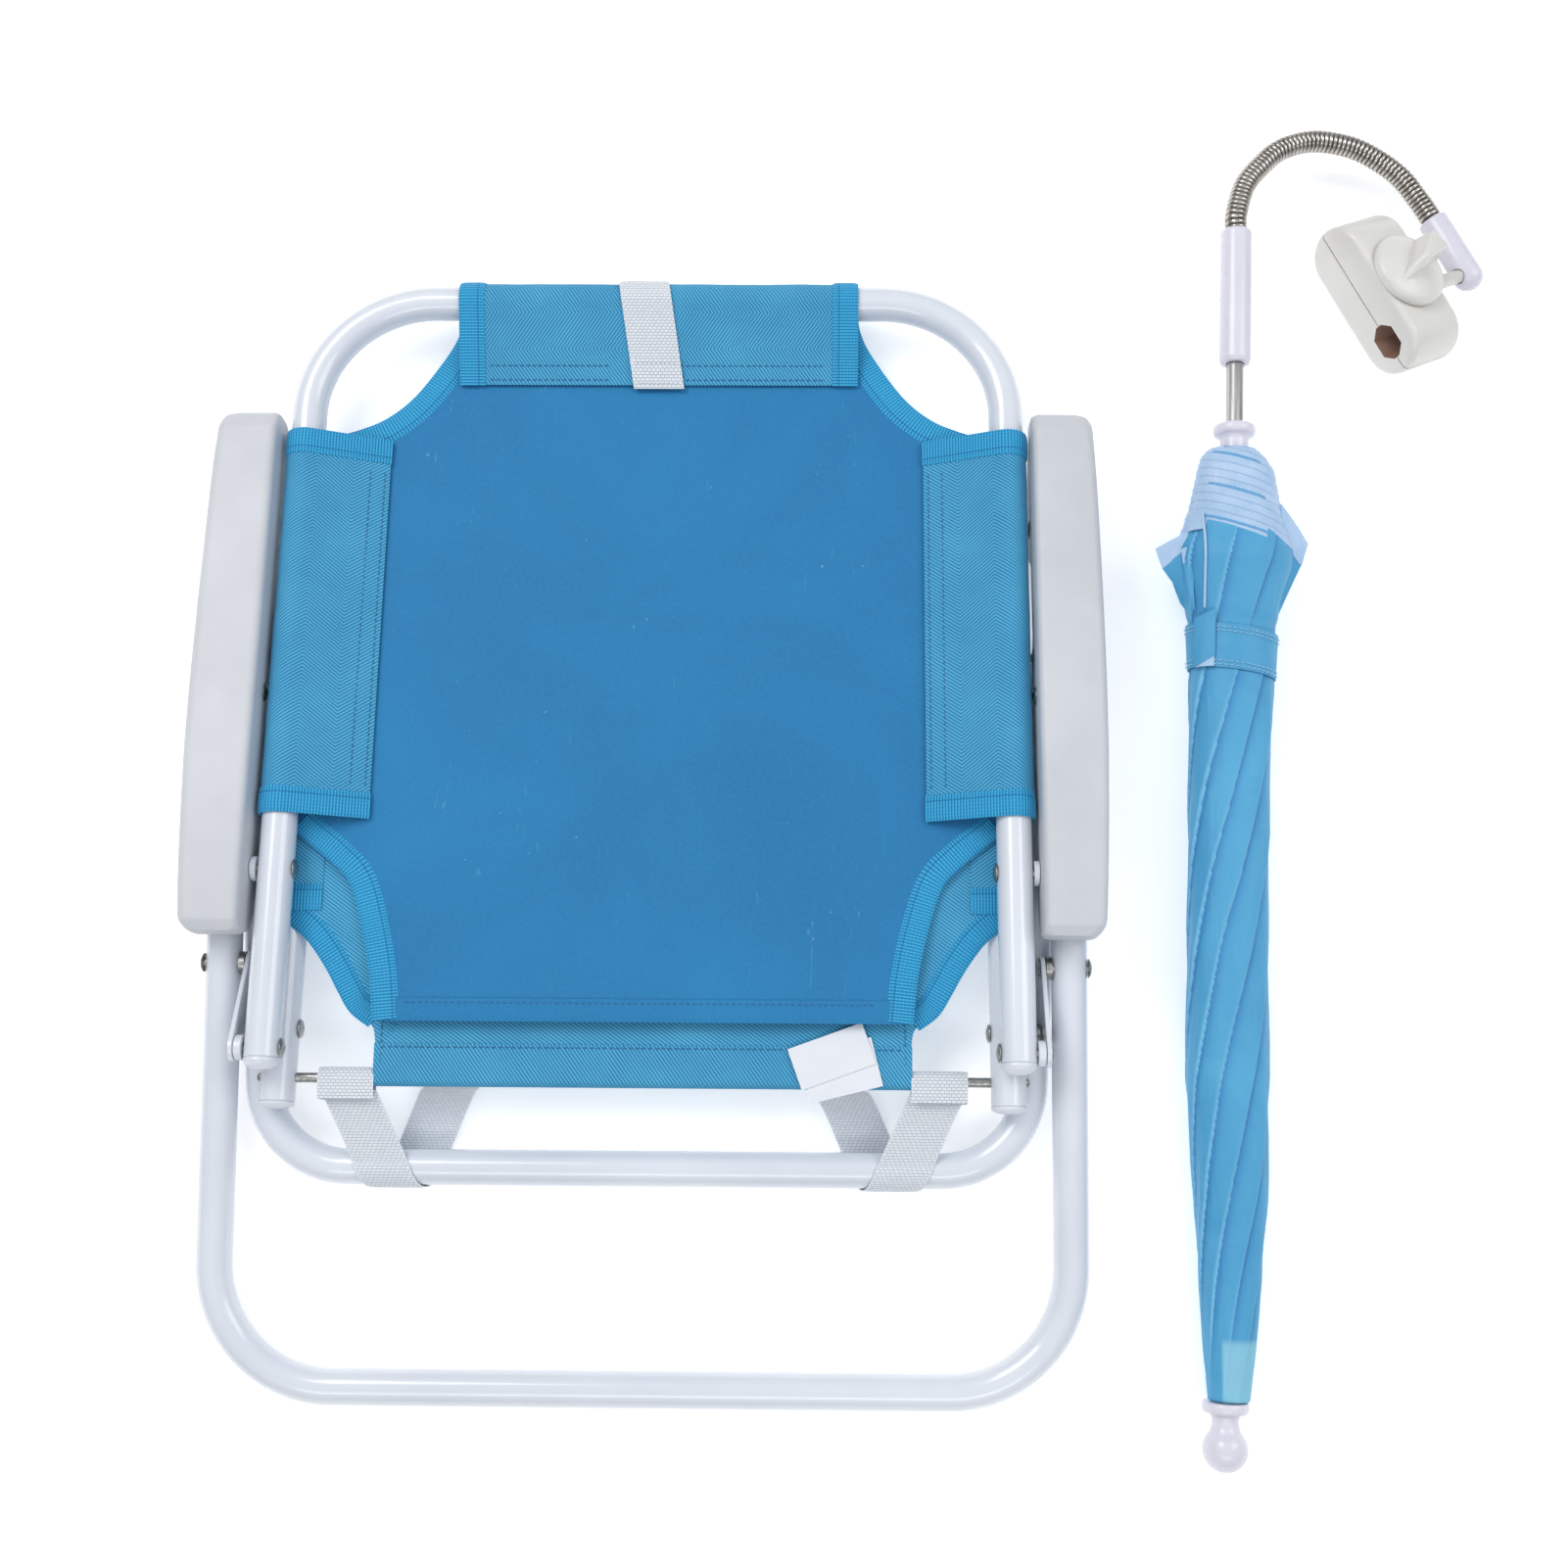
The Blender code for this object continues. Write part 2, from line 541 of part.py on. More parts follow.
def place_xy(z0):
    return lambda a, b, d: Vector((a, b, z0 + d))


def teardrop(centre, inner, top, r, reach):
    """Outline (a, z) of a sleeve drawn flat on one side of its tube: it leaves the
    panel at a = inner, passes over the tube and ends at the panel's own plane.
    r is its radius and reach the height of its far corner; top is +1 or -1."""
    side = 1.0 if centre > inner else -1.0
    p = Vector((inner - centre, reach)) * side
    p.y *= side
    d, face = p.length, math.atan2(p.y, -abs(p.x))
    start = face - math.acos(r / d) if face > 0 else face + 2 * math.pi - math.acos(r / d)
    end = -math.pi / 2
    pts = [(inner, reach * top)]
    for k in range(15):
        a = start + (end - start) * k / 14
        pts.append((centre + side * r * math.cos(a), top * r * math.sin(a)))
    pts.append((inner, -top * (PANEL_Z + 0.6 * CLOTH)))
    return pts


def sleeve_void(centre, inner, top, r, floor):
    """The space inside such a sleeve: the same path, ending on the panel."""
    side = 1.0 if centre > inner else -1.0
    p = Vector((-abs(inner - centre), -floor))
    face = math.atan2(p.y, p.x) + 2 * math.pi
    start = face - math.acos(r / p.length)
    end = -math.pi + math.asin(floor / r)
    pts = [(inner, -floor * top)]
    for k in range(15):
        a = start + (end - start) * k / 14
        pts.append((centre + side * r * math.cos(a), top * r * math.sin(a)))
    return pts


PANEL_Z = 7.85 * MM      # the panels hang on the sitting side of their tubes
FLAP = 0.9 * MM


def add_sleeve(ob, where, centre, inner, top, low, high):
    """Joins a sleeve on to a panel. where places (a, z, along)."""
    floor = PANEL_Z - CLOTH
    join(ob, prism(teardrop(centre, inner, top, SLEEVE_OUT, -(floor - FLAP)), where, low, high))


def open_sleeve(ob, where, centre, inner, top, low, high):
    step = 6 * MM if centre > inner else -6 * MM
    cut(ob, prism(sleeve_void(centre, inner + step, top, SLEEVE_IN, PANEL_Z - CLOTH - 0.15 * MM), where, low, high))


across = lambda a, z, d: Vector((a, d, z))       # sleeves that run along y
along_x = lambda a, z, d: Vector((d, a, z))      # sleeves that run along x

# back cloth: a doubled panel with sleeves on the side tubes and the top bar
panel = flat([(95, 278.0), (97, 262), (110.5, 240), (131.5, 220), (154, 212), (165, 206),
              (165, 24), (154, 14.5), (143, 5), (132.6, -5.6), (126, -25.5), (119.5, -65.5)])
back_cloth = obj_from_bmesh("back_fabric", prism(panel, place_xy(-PANEL_Z), -CLOTH, CLOTH), BACK, PANEL_BLUE)
for s in (-1, 1):
    add_sleeve(back_cloth, across, s * BACK_X, s * 126.5 * MM, 1, 24 * MM, 206 * MM)
add_sleeve(back_cloth, along_x, BACK_LEN, 238.5 * MM, 1, -94 * MM, 94 * MM)
for s in (-1, 1):
    open_sleeve(back_cloth, across, s * BACK_X, s * 126.5 * MM, 1, 20 * MM, 209 * MM)
    cut(back_cloth, cylinder((s * BACK_X, -20 * MM, 0), (0, 1, 0), 250 * MM, SLEEVE_IN, 20, (1, 0, 0)))
open_sleeve(back_cloth, along_x, BACK_LEN, 238.5 * MM, 1, -97 * MM, 97 * MM)
cut(back_cloth, cylinder((-110 * MM, BACK_LEN, 0), (1, 0, 0), 220 * MM, SLEEVE_IN, 20, (0, 1, 0)))
finish(back_cloth)

# webbing tab folded over the top sleeve
tab_mid, tab_half = 10.2 * MM, 0.5 * MM


def ribbon(path, half):
    """Outline of a band of half thickness half along a path of (a, b)."""
    left, right = [], []
    for i, p in enumerate(path):
        a = Vector(path[max(i - 1, 0)])
        b = Vector(path[min(i + 1, len(path) - 1)])
        t = (b - a).normalized()
        n = Vector((-t.y, t.x))
        left.append(tuple(Vector(p) + n * half))
        right.append(tuple(Vector(p) - n * half))
    return left + right[::-1]


tab_path = [(232 * MM, -5.0 * MM), (240 * MM, -4.2 * MM), (255 * MM, 1.6 * MM)]
tab_path += [(BACK_LEN + tab_mid * math.cos(math.radians(a)), tab_mid * math.sin(math.radians(a)))
             for a in (112, 92, 70, 48, 26, 4, -18, -40, -62, -84)]
tab_path += [(262 * MM, -10.3 * MM), (246 * MM, -10.2 * MM), (236 * MM, -10.2 * MM)]
tab = prism(ribbon(tab_path, tab_half), lambda a, b, d: Vector((d, a, b)), -18.0 * MM, 7.0 * MM)
obj_from_bmesh("back_webbing_tab", tab, BACK, WEB_WHITE)

# seat cloth: sleeves on the seat tubes and the front bar, a loop on the rod
sy = lambda Y: (Y * MM - P_SEAT_LEG[0]) * 1000
SEAT_HALF_Y = sy(-68) * MM
seat_outline = flat([(118, seat_front[0] * 1000), (121, sy(96)), (134, sy(84)), (150, sy(78)), (162.3, sy(76)),
                     (162.3, sy(-68)), (153, sy(-79)), (141, sy(-95)), (131, sy(-112)), (120, sy(-121)), (118.5, rod_y * 1000)])
ramp = (PANEL_Z - 2.3 * MM) / (SEAT_HALF_Y - rod_y)
bm = prism(seat_outline, place_xy(seat_z + PANEL_Z), -CLOTH, CLOTH)
# behind its sleeves the panel slopes down to the cross rod
bmesh.ops.bisect_plane(bm, geom=bm.verts[:] + bm.edges[:] + bm.faces[:], dist=0.02 * MM, plane_co=(0, SEAT_HALF_Y, 0), plane_no=(0, 1, 0))
for v in bm.verts:
    v.co.z -= ramp * max(0.0, SEAT_HALF_Y - v.co.y)
seat_cloth = obj_from_bmesh("seat_fabric", bm, SEAT, SEAT_BLUE)
over_z = lambda f: (lambda a, z, d: f(a, z, d) + Vector((0, 0, seat_z)))
for s in (-1, 1):
    add_sleeve(seat_cloth, over_z(across), s * SEAT_X, s * 124 * MM, -1, SEAT_HALF_Y + 0.6 * MM, SEAT_HALF_Y + 143 * MM)
add_sleeve(seat_cloth, over_z(along_x), seat_front[0], seat_front[0] - 40 * MM, -1, -118 * MM, 118 * MM)
join(seat_cloth, cylinder((-118.5 * MM, rod_y, seat_z), (1, 0, 0), 237 * MM, 3.7 * MM, 12, (0, 1, 0)))
for s in (-1, 1):
    open_sleeve(seat_cloth, over_z(across), s * SEAT_X, s * 124 * MM, -1, SEAT_HALF_Y - 3 * MM, SEAT_HALF_Y + 147 * MM)
    cut(seat_cloth, cylinder((s * SEAT_X, sy(-130) * MM, seat_z), (0, 1, 0), 260 * MM, SLEEVE_IN, 20, (1, 0, 0)))
open_sleeve(seat_cloth, over_z(along_x), seat_front[0], seat_front[0] - 40 * MM, -1, -121 * MM, 121 * MM)
cut(seat_cloth, cylinder((-140 * MM, seat_front[0], seat_z), (1, 0, 0), 280 * MM, SLEEVE_IN, 20, (0, 1, 0)))
cut(seat_cloth, cylinder((-150 * MM, rod_y, seat_z), (1, 0, 0), 300 * MM, ROD_R + 0.4 * MM, 12, (0, 1, 0)))
# openings in the sleeves for the rivets of the front legs
for s in (-1, 1):
    cut(seat_cloth, cylinder((s * (SEAT_X - 12 * MM), 0, 0), (s, 0, 0), 24 * MM, 5.4 * MM, 10))
finish(seat_cloth)

# a folded blank label, sewn at the rear edge of the seat
def on_ramp(bm):
    for v in bm.verts:
        v.co.z += ramp * (v.co.y - rod_y)
    return bm


bm = on_ramp(block((66 * MM, rod_y - 8 * MM, seat_z + 4.4 * MM), (102 * MM, rod_y + 26 * MM, seat_z + 5.1 * MM)))
label = obj_from_bmesh("blank_label", bm, SEAT, LABEL_WHITE, smooth=False)
join(label, on_ramp(block((70 * MM, rod_y + 20 * MM, seat_z + 4.7 * MM), (100 * MM, rod_y + 26 * MM, seat_z + 6.4 * MM))))
join(label, on_ramp(block((70 * MM, rod_y - 5 * MM, seat_z + 5.7 * MM), (100 * MM, rod_y + 26 * MM, seat_z + 6.4 * MM))))
finish(label, 40)


def band(path, centres, half_width, half):
    """A flat band along a path of (y, z) whose centre line moves in x: a loft of
    one small rectangle along the path."""
    bm = bmesh.new()
    rings = []
    for i, p in enumerate(path):
        a = Vector(path[max(i - 1, 0)])
        b = Vector(path[min(i + 1, len(path) - 1)])
        t = (b - a).normalized()
        n = Vector((-t.y, t.x)) * half
        ring = []
        for sx, sn in ((-1, -1), (1, -1), (1, 1), (-1, 1)):
            ring.append(bm.verts.new((centres[i] + sx * half_width, p[0] + sn * n.x, p[1] + sn * n.y)))
        rings.append(ring)
    for r0, r1 in zip(rings, rings[1:]):
        for k in range(4):
            bm.faces.new((r0[k], r0[(k + 1) % 4], r1[(k + 1) % 4], r1[k]))
    bm.faces.new(rings[0][::-1])
    bm.faces.new(rings[-1])
    return bm


# webbing straps: from the seat's rear edge over and round the front legs' bar
for side, s in sides_of("strap"):
    cy, cz = FRONT_BAR
    r = TUBE_R + 0.85 * MM
    rod_z = P_PLATE_SEAT[1] + (ROD_Y - P_PLATE_SEAT[0]) * math.tan(axis_angle(P_PLATE_SEAT, SEAT_FRONT))
    path = [(ROD_Y - 5.0 * MM, rod_z - 0.2 * MM), (-153 * MM, 24.6 * MM), (-163 * MM, 21.5 * MM)]
    path += [(cy + r * math.cos(math.radians(a)), cz + r * math.sin(math.radians(a)))
             for a in (70, 84, 98, 112, 126, 140, 154, 168, 182, 196, 210, 224, 238, 252, 266)]
    path += [(-170 * MM, 1.4 * MM), (-160 * MM, 4.2 * MM), (-152 * MM, 8.5 * MM), (-147 * MM, 14.0 * MM)]
    # the band leans inwards as it goes round the bar
    run = [0.0]
    for p, q in zip(path, path[1:]):
        run.append(run[-1] + math.dist(p, q))
    centres = [s * (131 * MM - 42 * MM * d / run[-1]) for d in run]
    bm = band(path, centres, 12.5 * MM, 0.4 * MM)
    pivot = SEAT.matrix_world.inverted()
    bm.transform(pivot)
    obj_from_bmesh("retaining_strap_" + side, bm, SEAT, WEB_WHITE)

# ---------------------------------------------------------------- umbrella
UMB = bpy.data.objects.new("umbrella", None)
PARTS.objects.link(UMB)
umb_dir = Vector((UMB_DX, 1.0, UMB_DZ)).normalized()


def umb(y):
    """A point of the umbrella's axis at world Y in millimetres."""
    y *= MM
    return Vector((UMB_X0 + UMB_DX * y, y, UMB_Z0 + UMB_DZ * y))


def along(y):
    """Distance along the axis from the point at Y = 0, y in millimetres."""
    return (umb(y) - umb(0)).dot(umb_dir)


def umb_turned(name, profile, mat, sides=16, flatten=1.0, parent=UMB):
    """A turned piece on the umbrella's axis: (radius mm, Y mm), from high Y down."""
    prof = [(r * MM, along(y)) for r, y in profile]
    bm = turned("cutter", prof, (0, 0, 0), (0, 0, 1), sides)
    bm.transform(Matrix.Diagonal((1.0, flatten, 1.0, 1.0)))
    bm.transform(Matrix.Translation(umb(0)) @ basis(umb_dir, (1, 0, 0)))
    bmesh.ops.recalc_face_normals(bm, faces=bm.faces)
    if name == "cutter":
        return bm
    return obj_from_bmesh(name, bm, parent, mat)


umb_turned("umbrella_shaft", [(0, 258), (3.6, 258), (4, 257), (4, -267), (3.4, -268), (0, -268)], STEEL, 12)

canopy_shape = [(12.6, 152), (15.6, 149), (18.6, 142), (20.4, 130), (23.0, 118), (27.5, 109), (28.5, 103), (26.5, 96),
                (23.0, 87), (20.6, 70), (19.5, 42), (18.8, -5), (18.2, -62), (18.6, -110), (18.8, -140), (17.6, -170), (15.8, -195),
                (14.2, -232), (12.2, -262), (9.8, -277)]
canopy = umb_turned("umbrella_canopy", [(0, 152)] + canopy_shape + [(0, -277)], CANOPY_BLUE, 20, CANOPY_FLAT)
cut(canopy, umb_turned("cutter", [(0, 160), (11.2, 160), (11.2, 140), (8.9, 128), (8.9, -264), (0, -264)], None, 16))
cut(canopy, umb_turned("cutter", [(0, -260), (4.4, -260), (4.4, -290), (0, -290)], None, 12))
finish(canopy, 60)

# runner with its finger flange
runner = umb_turned("umbrella_runner", [(0, 165.6), (8.4, 165.6), (9.6, 164.6), (9.8, 162.8), (9.5, 161.2), (8.4, 160.2),
                                        (6.7, 159.0), (6.4, 150.0), (6.2, 139), (0, 139)], CAP_WHITE, 16)
cut(runner, umb_turned("cutter", [(0, 170), (4.3, 170), (4.3, 130), (0, 130)], None, 14))
finish(runner)

# eight ribs on the notch ring
notch = umb_turned("umbrella_ribs", [(0, -247), (8.3, -247), (8.3, -259), (0, -259)], STEEL, 16)
cut(notch, umb_turned("cutter", [(0, -240), (4.35, -240), (4.35, -265), (0, -265)], None, 14))
frame_m = Matrix.Translation(umb(0)) @ basis(umb_dir, (1, 0, 0))
for k in range(8):
    a = 2 * math.pi * (k + 0.5) / 8
    x, y = 7.3 * MM * math.cos(a), 7.3 * MM * math.sin(a)
    bm = cylinder((x, y, along(-250)), (0, 0, 1), along(124) - along(-250), 0.9 * MM, 6)
    bm.transform(frame_m)
    join(notch, bm)
finish(notch)

# ferrule: collar, neck and ball
ball_y, ball_r = -298.0, 9.9
prof = [(0, -278.0), (9.9, -278.0), (10.2, -279.0), (10.2, -281.4), (9.4, -282.2), (6.4, -282.8), (5.7, -285.0), (5.9, -288.0)]
a0 = math.asin(6.4 / ball_r)
prof += [(ball_r * math.sin(a), ball_y + ball_r * math.cos(a)) for a in [a0 + (math.pi - a0) * k / 8 for k in range(8)]]
prof += [(0, ball_y - ball_r)]
umb_turned("umbrella_ferrule", prof, CAP_WHITE, 18)

# tie strap round the furled cloth
tie_out = [(0, 68), (21.6, 68), (21.2, 55), (0, 55)]
tie = umb_turned("umbrella_tie_strap", tie_out, CANOPY_BLUE, 20, CANOPY_FLAT + 0.01)
cut(tie, umb_turned("cutter", [(0, 75), (20.95, 75), (20.6, 67), (20.25, 54), (20.1, 48), (0, 48)], None, 20, CANOPY_FLAT + 0.01))
finish(tie, 60)

# white sleeve on the end of the shaft
sleeve = umb_turned("shaft_sleeve", [(0, 262.5), (6.4, 262.5), (7.3, 261.4), (7.4, 198), (6.6, 196), (0, 196)], CAP_WHITE, 18)
cut(sleeve, umb_turned("cutter", [(0, 258.4), (4.35, 258.4), (4.35, 190), (0, 190)], None, 14))
finish(sleeve)

# ---------------------------------------------------------------- clamp frame
c_u = Vector((0.47, -0.88, 0.0)).normalized()           # along the clamp
c_w = Vector((0.88, 0.47, 0.0)).normalized()
c_e = c_w * math.cos(CLAMP_TILT) - Vector((0, 0, 1)) * math.sin(CLAMP_TILT)   # along its bore
c_n = c_w * math.sin(CLAMP_TILT) + Vector((0, 0, 1)) * math.cos(CLAMP_TILT)   # along its screw


def clamp(u, e, n):
    """A point of the clamp's own frame, in millimetres, in world metres."""
    return CLAMP_C + (c_u * u + c_e * e + c_n * n) * MM


ELBOW_E, ELBOW_N, PIVOT_U = 43.5, 10.8, 8.0

# ---------------------------------------------------------------- gooseneck
hose_knots = [umb(263.0), umb(271.0), Vector((281.4, 286.5, 27.4)) * MM, Vector((289.6, 297.6, 25.6)) * MM,
              Vector((301.0, 308.0, 23.6)) * MM, Vector((317.4, 313.6, 21.3)) * MM, Vector((335.6, 312.0, 18.9)) * MM,
              Vector((349.2, 306.2, 17.0)) * MM, Vector((360.7, 298.0, 15.2)) * MM, Vector((369.3, 287.6, 13.3)) * MM,
              clamp(-24.9, ELBOW_E, ELBOW_N)]


def smooth_path(knots, n):
    """A Catmull-Rom curve through the knots, as n + 1 evenly spaced points."""
    pts = [knots[0] * 2 - knots[1]] + list(knots) + [knots[-1] + c_u * 0.012]
    fine = []
    for i in range(1, len(pts) - 2):
        p0, p1, p2, p3 = pts[i - 1:i + 3]
        for k in range(12):
            t = k / 12
            fine.append(0.5 * ((2 * p1) + (p2 - p0) * t + (2 * p0 - 5 * p1 + 4 * p2 - p3) * t * t
                               + (3 * p1 - p0 - 3 * p2 + p3) * t ** 3))
    fine.append(pts[-2])
    length = [0.0]
    for a, b in zip(fine, fine[1:]):
        length.append(length[-1] + (b - a).length)
    out, j = [], 0
    for k in range(n + 1):
        want = length[-1] * k / n
        while j < len(fine) - 2 and length[j + 1] < want:
            j += 1
        f = (want - length[j]) / max(length[j + 1] - length[j], 1e-9)
        out.append(fine[j].lerp(fine[j + 1], min(f, 1.0)))
    return out


HOSE_PIECES, HOSE_STEPS = 4, 8
hose = smooth_path(hose_knots, HOSE_PIECES * HOSE_STEPS)
hose_length = sum((b - a).length for a, b in zip(hose, hose[1:]))
for i in range(HOSE_PIECES):
    pts = [p.copy() for p in hose[i * HOSE_STEPS:(i + 1) * HOSE_STEPS + 1]]
    # round ends meet at the bend points, so neighbours can turn on each other
    first, last = i > 0, i < HOSE_PIECES - 1
    if first:
        d = (pts[1] - pts[0]).normalized()
        pts[0] = pts[0] + d * (HOSE_R + 0.25 * MM)
        pts = [pts[0]] + [p for p in pts[1:] if (p - hose[i * HOSE_STEPS]).length > HOSE_R + 1.5 * MM]
    if last:
        end = hose[(i + 1) * HOSE_STEPS]
        d = (pts[-2] - pts[-1]).normalized()
        tip = pts[-1] + d * (HOSE_R + 0.25 * MM)
        pts = [p for p in pts[:-1] if (p - end).length > HOSE_R + 1.5 * MM] + [tip]
    taper = [1.0] * len(pts)
    if first:
        d = (pts[0] - pts[1]).normalized()
        pts = [pts[0] + d * HOSE_R * k for k in (0.98, 0.85, 0.5)] + pts
        taper = [0.2, 0.53, 0.87] + taper
    if last:
        d = (pts[-1] - pts[-2]).normalized()
        pts = pts + [pts[-1] + d * HOSE_R * k for k in (0.5, 0.85, 0.98)]
        taper = taper + [0.87, 0.53, 0.2]
    ob = obj_from_bmesh("gooseneck_%d" % (i + 1), curve_tube("hose", pts, HOSE_R, 3, taper), UMB, STEEL)
    finish(ob, 50)

# elbow: the tube that the gooseneck runs into, with a round end
elbow_profile = [(0, 40.4)] + [(7.0 * math.sin(a), 33.4 + 7.0 * math.cos(a)) for a in (0.4, 0.8, 1.2, math.pi / 2)]
elbow_profile += [(7.0, 1.2), (6.2, 0.0), (0, 0.0)]
elbow = turned("clamp_elbow", [(r * MM, z * MM) for r, z in elbow_profile], clamp(-23.8 + 0.0, ELBOW_E, ELBOW_N), c_u, 18, UMB, CAP_WHITE)
cut(elbow, cylinder(clamp(PIVOT_U, 30, ELBOW_N), c_e, 12 * MM, 3.7 * MM, 14, c_u))
finish(elbow)

# ---------------------------------------------------------------- clamp
stadium = []
for k in range(13):
    a = math.pi / 2 - math.pi * k / 12
    stadium.append((CLAMP_ENDS[1] - CLAMP_R + CLAMP_R * math.cos(a), CLAMP_R * math.sin(a)))
for k in range(13):
    a = -math.pi / 2 - math.pi * k / 12
    stadium.append((CLAMP_ENDS[0] + CLAMP_R + CLAMP_R * math.cos(a), CLAMP_R * math.sin(a)))

place_uen = lambda a, b, d: CLAMP_C + c_u * a + c_n * b + c_e * d
BORE_U = 24.0
# the bore's outline, longer along the block than across it
bore = [(8.6, -1.7), (8.6, 1.7), (4.6, 6.3), (-4.6, 6.3), (-8.6, 1.7), (-8.6, -1.7), (-4.6, -6.3), (4.6, -6.3)]
bore = [((BORE_U + a) * MM, b * MM) for a, b in bore]


for name, sgn in (("clamp_front_jaw", 1.0), ("clamp_back_jaw", -1.0)):
    bm = prism(stadium, place_uen, -CLAMP_HALF_W, CLAMP_HALF_W)
    rim = [e for e in bm.edges if len(e.link_faces) == 2 and e.calc_face_angle(0) > 1.2]
    bmesh.ops.bevel(bm, geom=rim, offset=2.0 * MM, segments=2, profile=0.5, affect="EDGES")
    bmesh.ops.recalc_face_normals(bm, faces=bm.faces)
    jaw = obj_from_bmesh(name, bm, UMB, CLAMP_WHITE)
    # keep one side of the seam
    off = [(-0.05, -0.05), (0.05, -0.05), (0.05, 0.35 * MM), (-0.05, 0.35 * MM)]
    off = [(a, b * sgn if b < 0 else b * sgn) for a, b in off]
    cut(jaw, prism(off, place_uen, -0.03, 0.03))
    # the long bore that grips a tube, and the screw's hole
    cut(jaw, prism(bore, place_uen, -0.03, 0.03))
    cut(jaw, cylinder(clamp(0, 0, -20), c_n, 40 * MM, 3.4 * MM, 12))
    if sgn < 0:
        cut(jaw, prism([(5.8 * MM * math.cos(math.pi / 3 * k), 5.8 * MM * math.sin(math.pi / 3 * k)) for k in range(6)],
                       lambda a, b, d: CLAMP_C + c_u * a + c_e * b + c_n * d, -16 * MM, -9.5 * MM))
    if sgn > 0:
        # pivot stub that carries the elbow
        stub = turned("cutter", [(0, 29.4 * MM), (2.9 * MM, 29.4 * MM), (3.3 * MM, 28.6 * MM), (3.3 * MM, 0), (0, 0)],
                      clamp(PIVOT_U, 10.0, ELBOW_N), c_e, 14)
        join(jaw, stub)
    finish(jaw, 40)

# thumb knob: a round base with a tall wedge across it, narrow at one end
knob_profile = [(0, 24.0), (6, 23.8), (13.0, 22.2), (17.2, 20.6), (18.6, 19.4), (18.9, 18.2), (18.9, 16.6), (18.2, 15.9), (0, 15.9)]
knob = turned("clamp_knob", [(r * MM, z * MM) for r, z in knob_profile], CLAMP_C, c_n, 24, UMB, CLAMP_WHITE)
grip_dir = (c_e * 0.917 - c_u * 0.40).normalized()
grip_side = c_n.cross(grip_dir).normalized()
corners = [(-16.0, 1.6, 18), (15.6, 8.0, 18), (15.6, -8.0, 18), (-16.0, -1.6, 18),
           (-4.0, 1.4, 33.6), (12.6, 5.4, 33.6), (12.6, -5.4, 33.6), (-4.0, -1.4, 33.6)]
bm = bmesh.new()
vs = [bm.verts.new(CLAMP_C + (grip_dir * a + grip_side * b + c_n * c) * MM) for a, b, c in corners]
for q in ((0, 1, 2, 3), (4, 7, 6, 5), (0, 4, 5, 1), (1, 5, 6, 2), (2, 6, 7, 3), (3, 7, 4, 0)):
    bm.faces.new([vs[k] for k in q])
bmesh.ops.recalc_face_normals(bm, faces=bm.faces)
bmesh.ops.bevel(bm, geom=list(bm.edges), offset=1.0 * MM, segments=1, affect="EDGES")
join(knob, bm)
cut(knob, cylinder(clamp(0, 0, 10), c_n, 12 * MM, 3.3 * MM, 12))
finish(knob, 40)

turned("clamp_screw", [(0, 21.6 * MM), (3.0 * MM, 21.6 * MM), (3.0 * MM, -15.2 * MM), (0, -15.2 * MM)], CLAMP_C, c_n, 12, UMB, ZINC)
nut = obj_from_bmesh("clamp_nut", prism([(5.3 * MM * math.cos(math.pi / 3 * k), 5.3 * MM * math.sin(math.pi / 3 * k)) for k in range(6)],
                     lambda a, b, d: CLAMP_C + c_u * a + c_e * b + c_n * d, -14.3 * MM, -9.9 * MM), UMB, ZINC, smooth=False)
cut(nut, cylinder(clamp(0, 0, -20), c_n, 20 * MM, 3.35 * MM, 12))
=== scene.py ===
"""Looks of a child's folding beach chair, folded flat, with its furled clamp-on umbrella beside it."""
import math

import bmesh
import bpy
import numpy as np
from mathutils import Matrix, Vector, noise


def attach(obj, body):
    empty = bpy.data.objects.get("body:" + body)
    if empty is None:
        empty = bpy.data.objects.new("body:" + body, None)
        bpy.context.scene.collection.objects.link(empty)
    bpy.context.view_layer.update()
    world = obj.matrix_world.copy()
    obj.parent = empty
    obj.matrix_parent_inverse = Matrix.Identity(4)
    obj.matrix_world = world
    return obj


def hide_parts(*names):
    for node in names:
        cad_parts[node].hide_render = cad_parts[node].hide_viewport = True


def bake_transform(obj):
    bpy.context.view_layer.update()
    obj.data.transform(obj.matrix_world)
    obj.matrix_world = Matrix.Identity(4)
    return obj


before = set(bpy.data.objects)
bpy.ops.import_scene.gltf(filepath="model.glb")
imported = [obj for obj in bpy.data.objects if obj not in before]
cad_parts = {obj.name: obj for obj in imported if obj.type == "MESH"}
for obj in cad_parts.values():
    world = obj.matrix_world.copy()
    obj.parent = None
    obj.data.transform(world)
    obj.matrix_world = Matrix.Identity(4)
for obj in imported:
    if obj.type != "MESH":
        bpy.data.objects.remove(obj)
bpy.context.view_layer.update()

MM = 0.001

# ---------------------------------------------------------------- dimensions
TUBE_R = 8.0 * MM
ROD_R = 2.2 * MM
REAR_BAR = (-275.8 * MM, 8.0 * MM)
FRONT_BAR = (-180.3 * MM, 9.4 * MM)
P_FRONT_LEG = (116.0 * MM, 20.0 * MM)
P_REAR_LEG = (32.0 * MM, 36.0 * MM)
P_BACK = (-49.5 * MM, 39.6 * MM)
P_PLATE_LEG = (-90.5 * MM, 26.6 * MM)
P_PLATE_SEAT = (-119.8 * MM, 25.2 * MM)
P_PLATE_BACK = (-129.0 * MM, 44.6 * MM)
P_SEAT_LEG = (55.0 * MM, 15.7 * MM)
SEAT_FRONT = (112.0 * MM, 9.9 * MM)
ROD_Y = -141.4 * MM
BACK_X, SEAT_X, REAR_X = 165.0 * MM, 162.3 * MM, 190.3 * MM
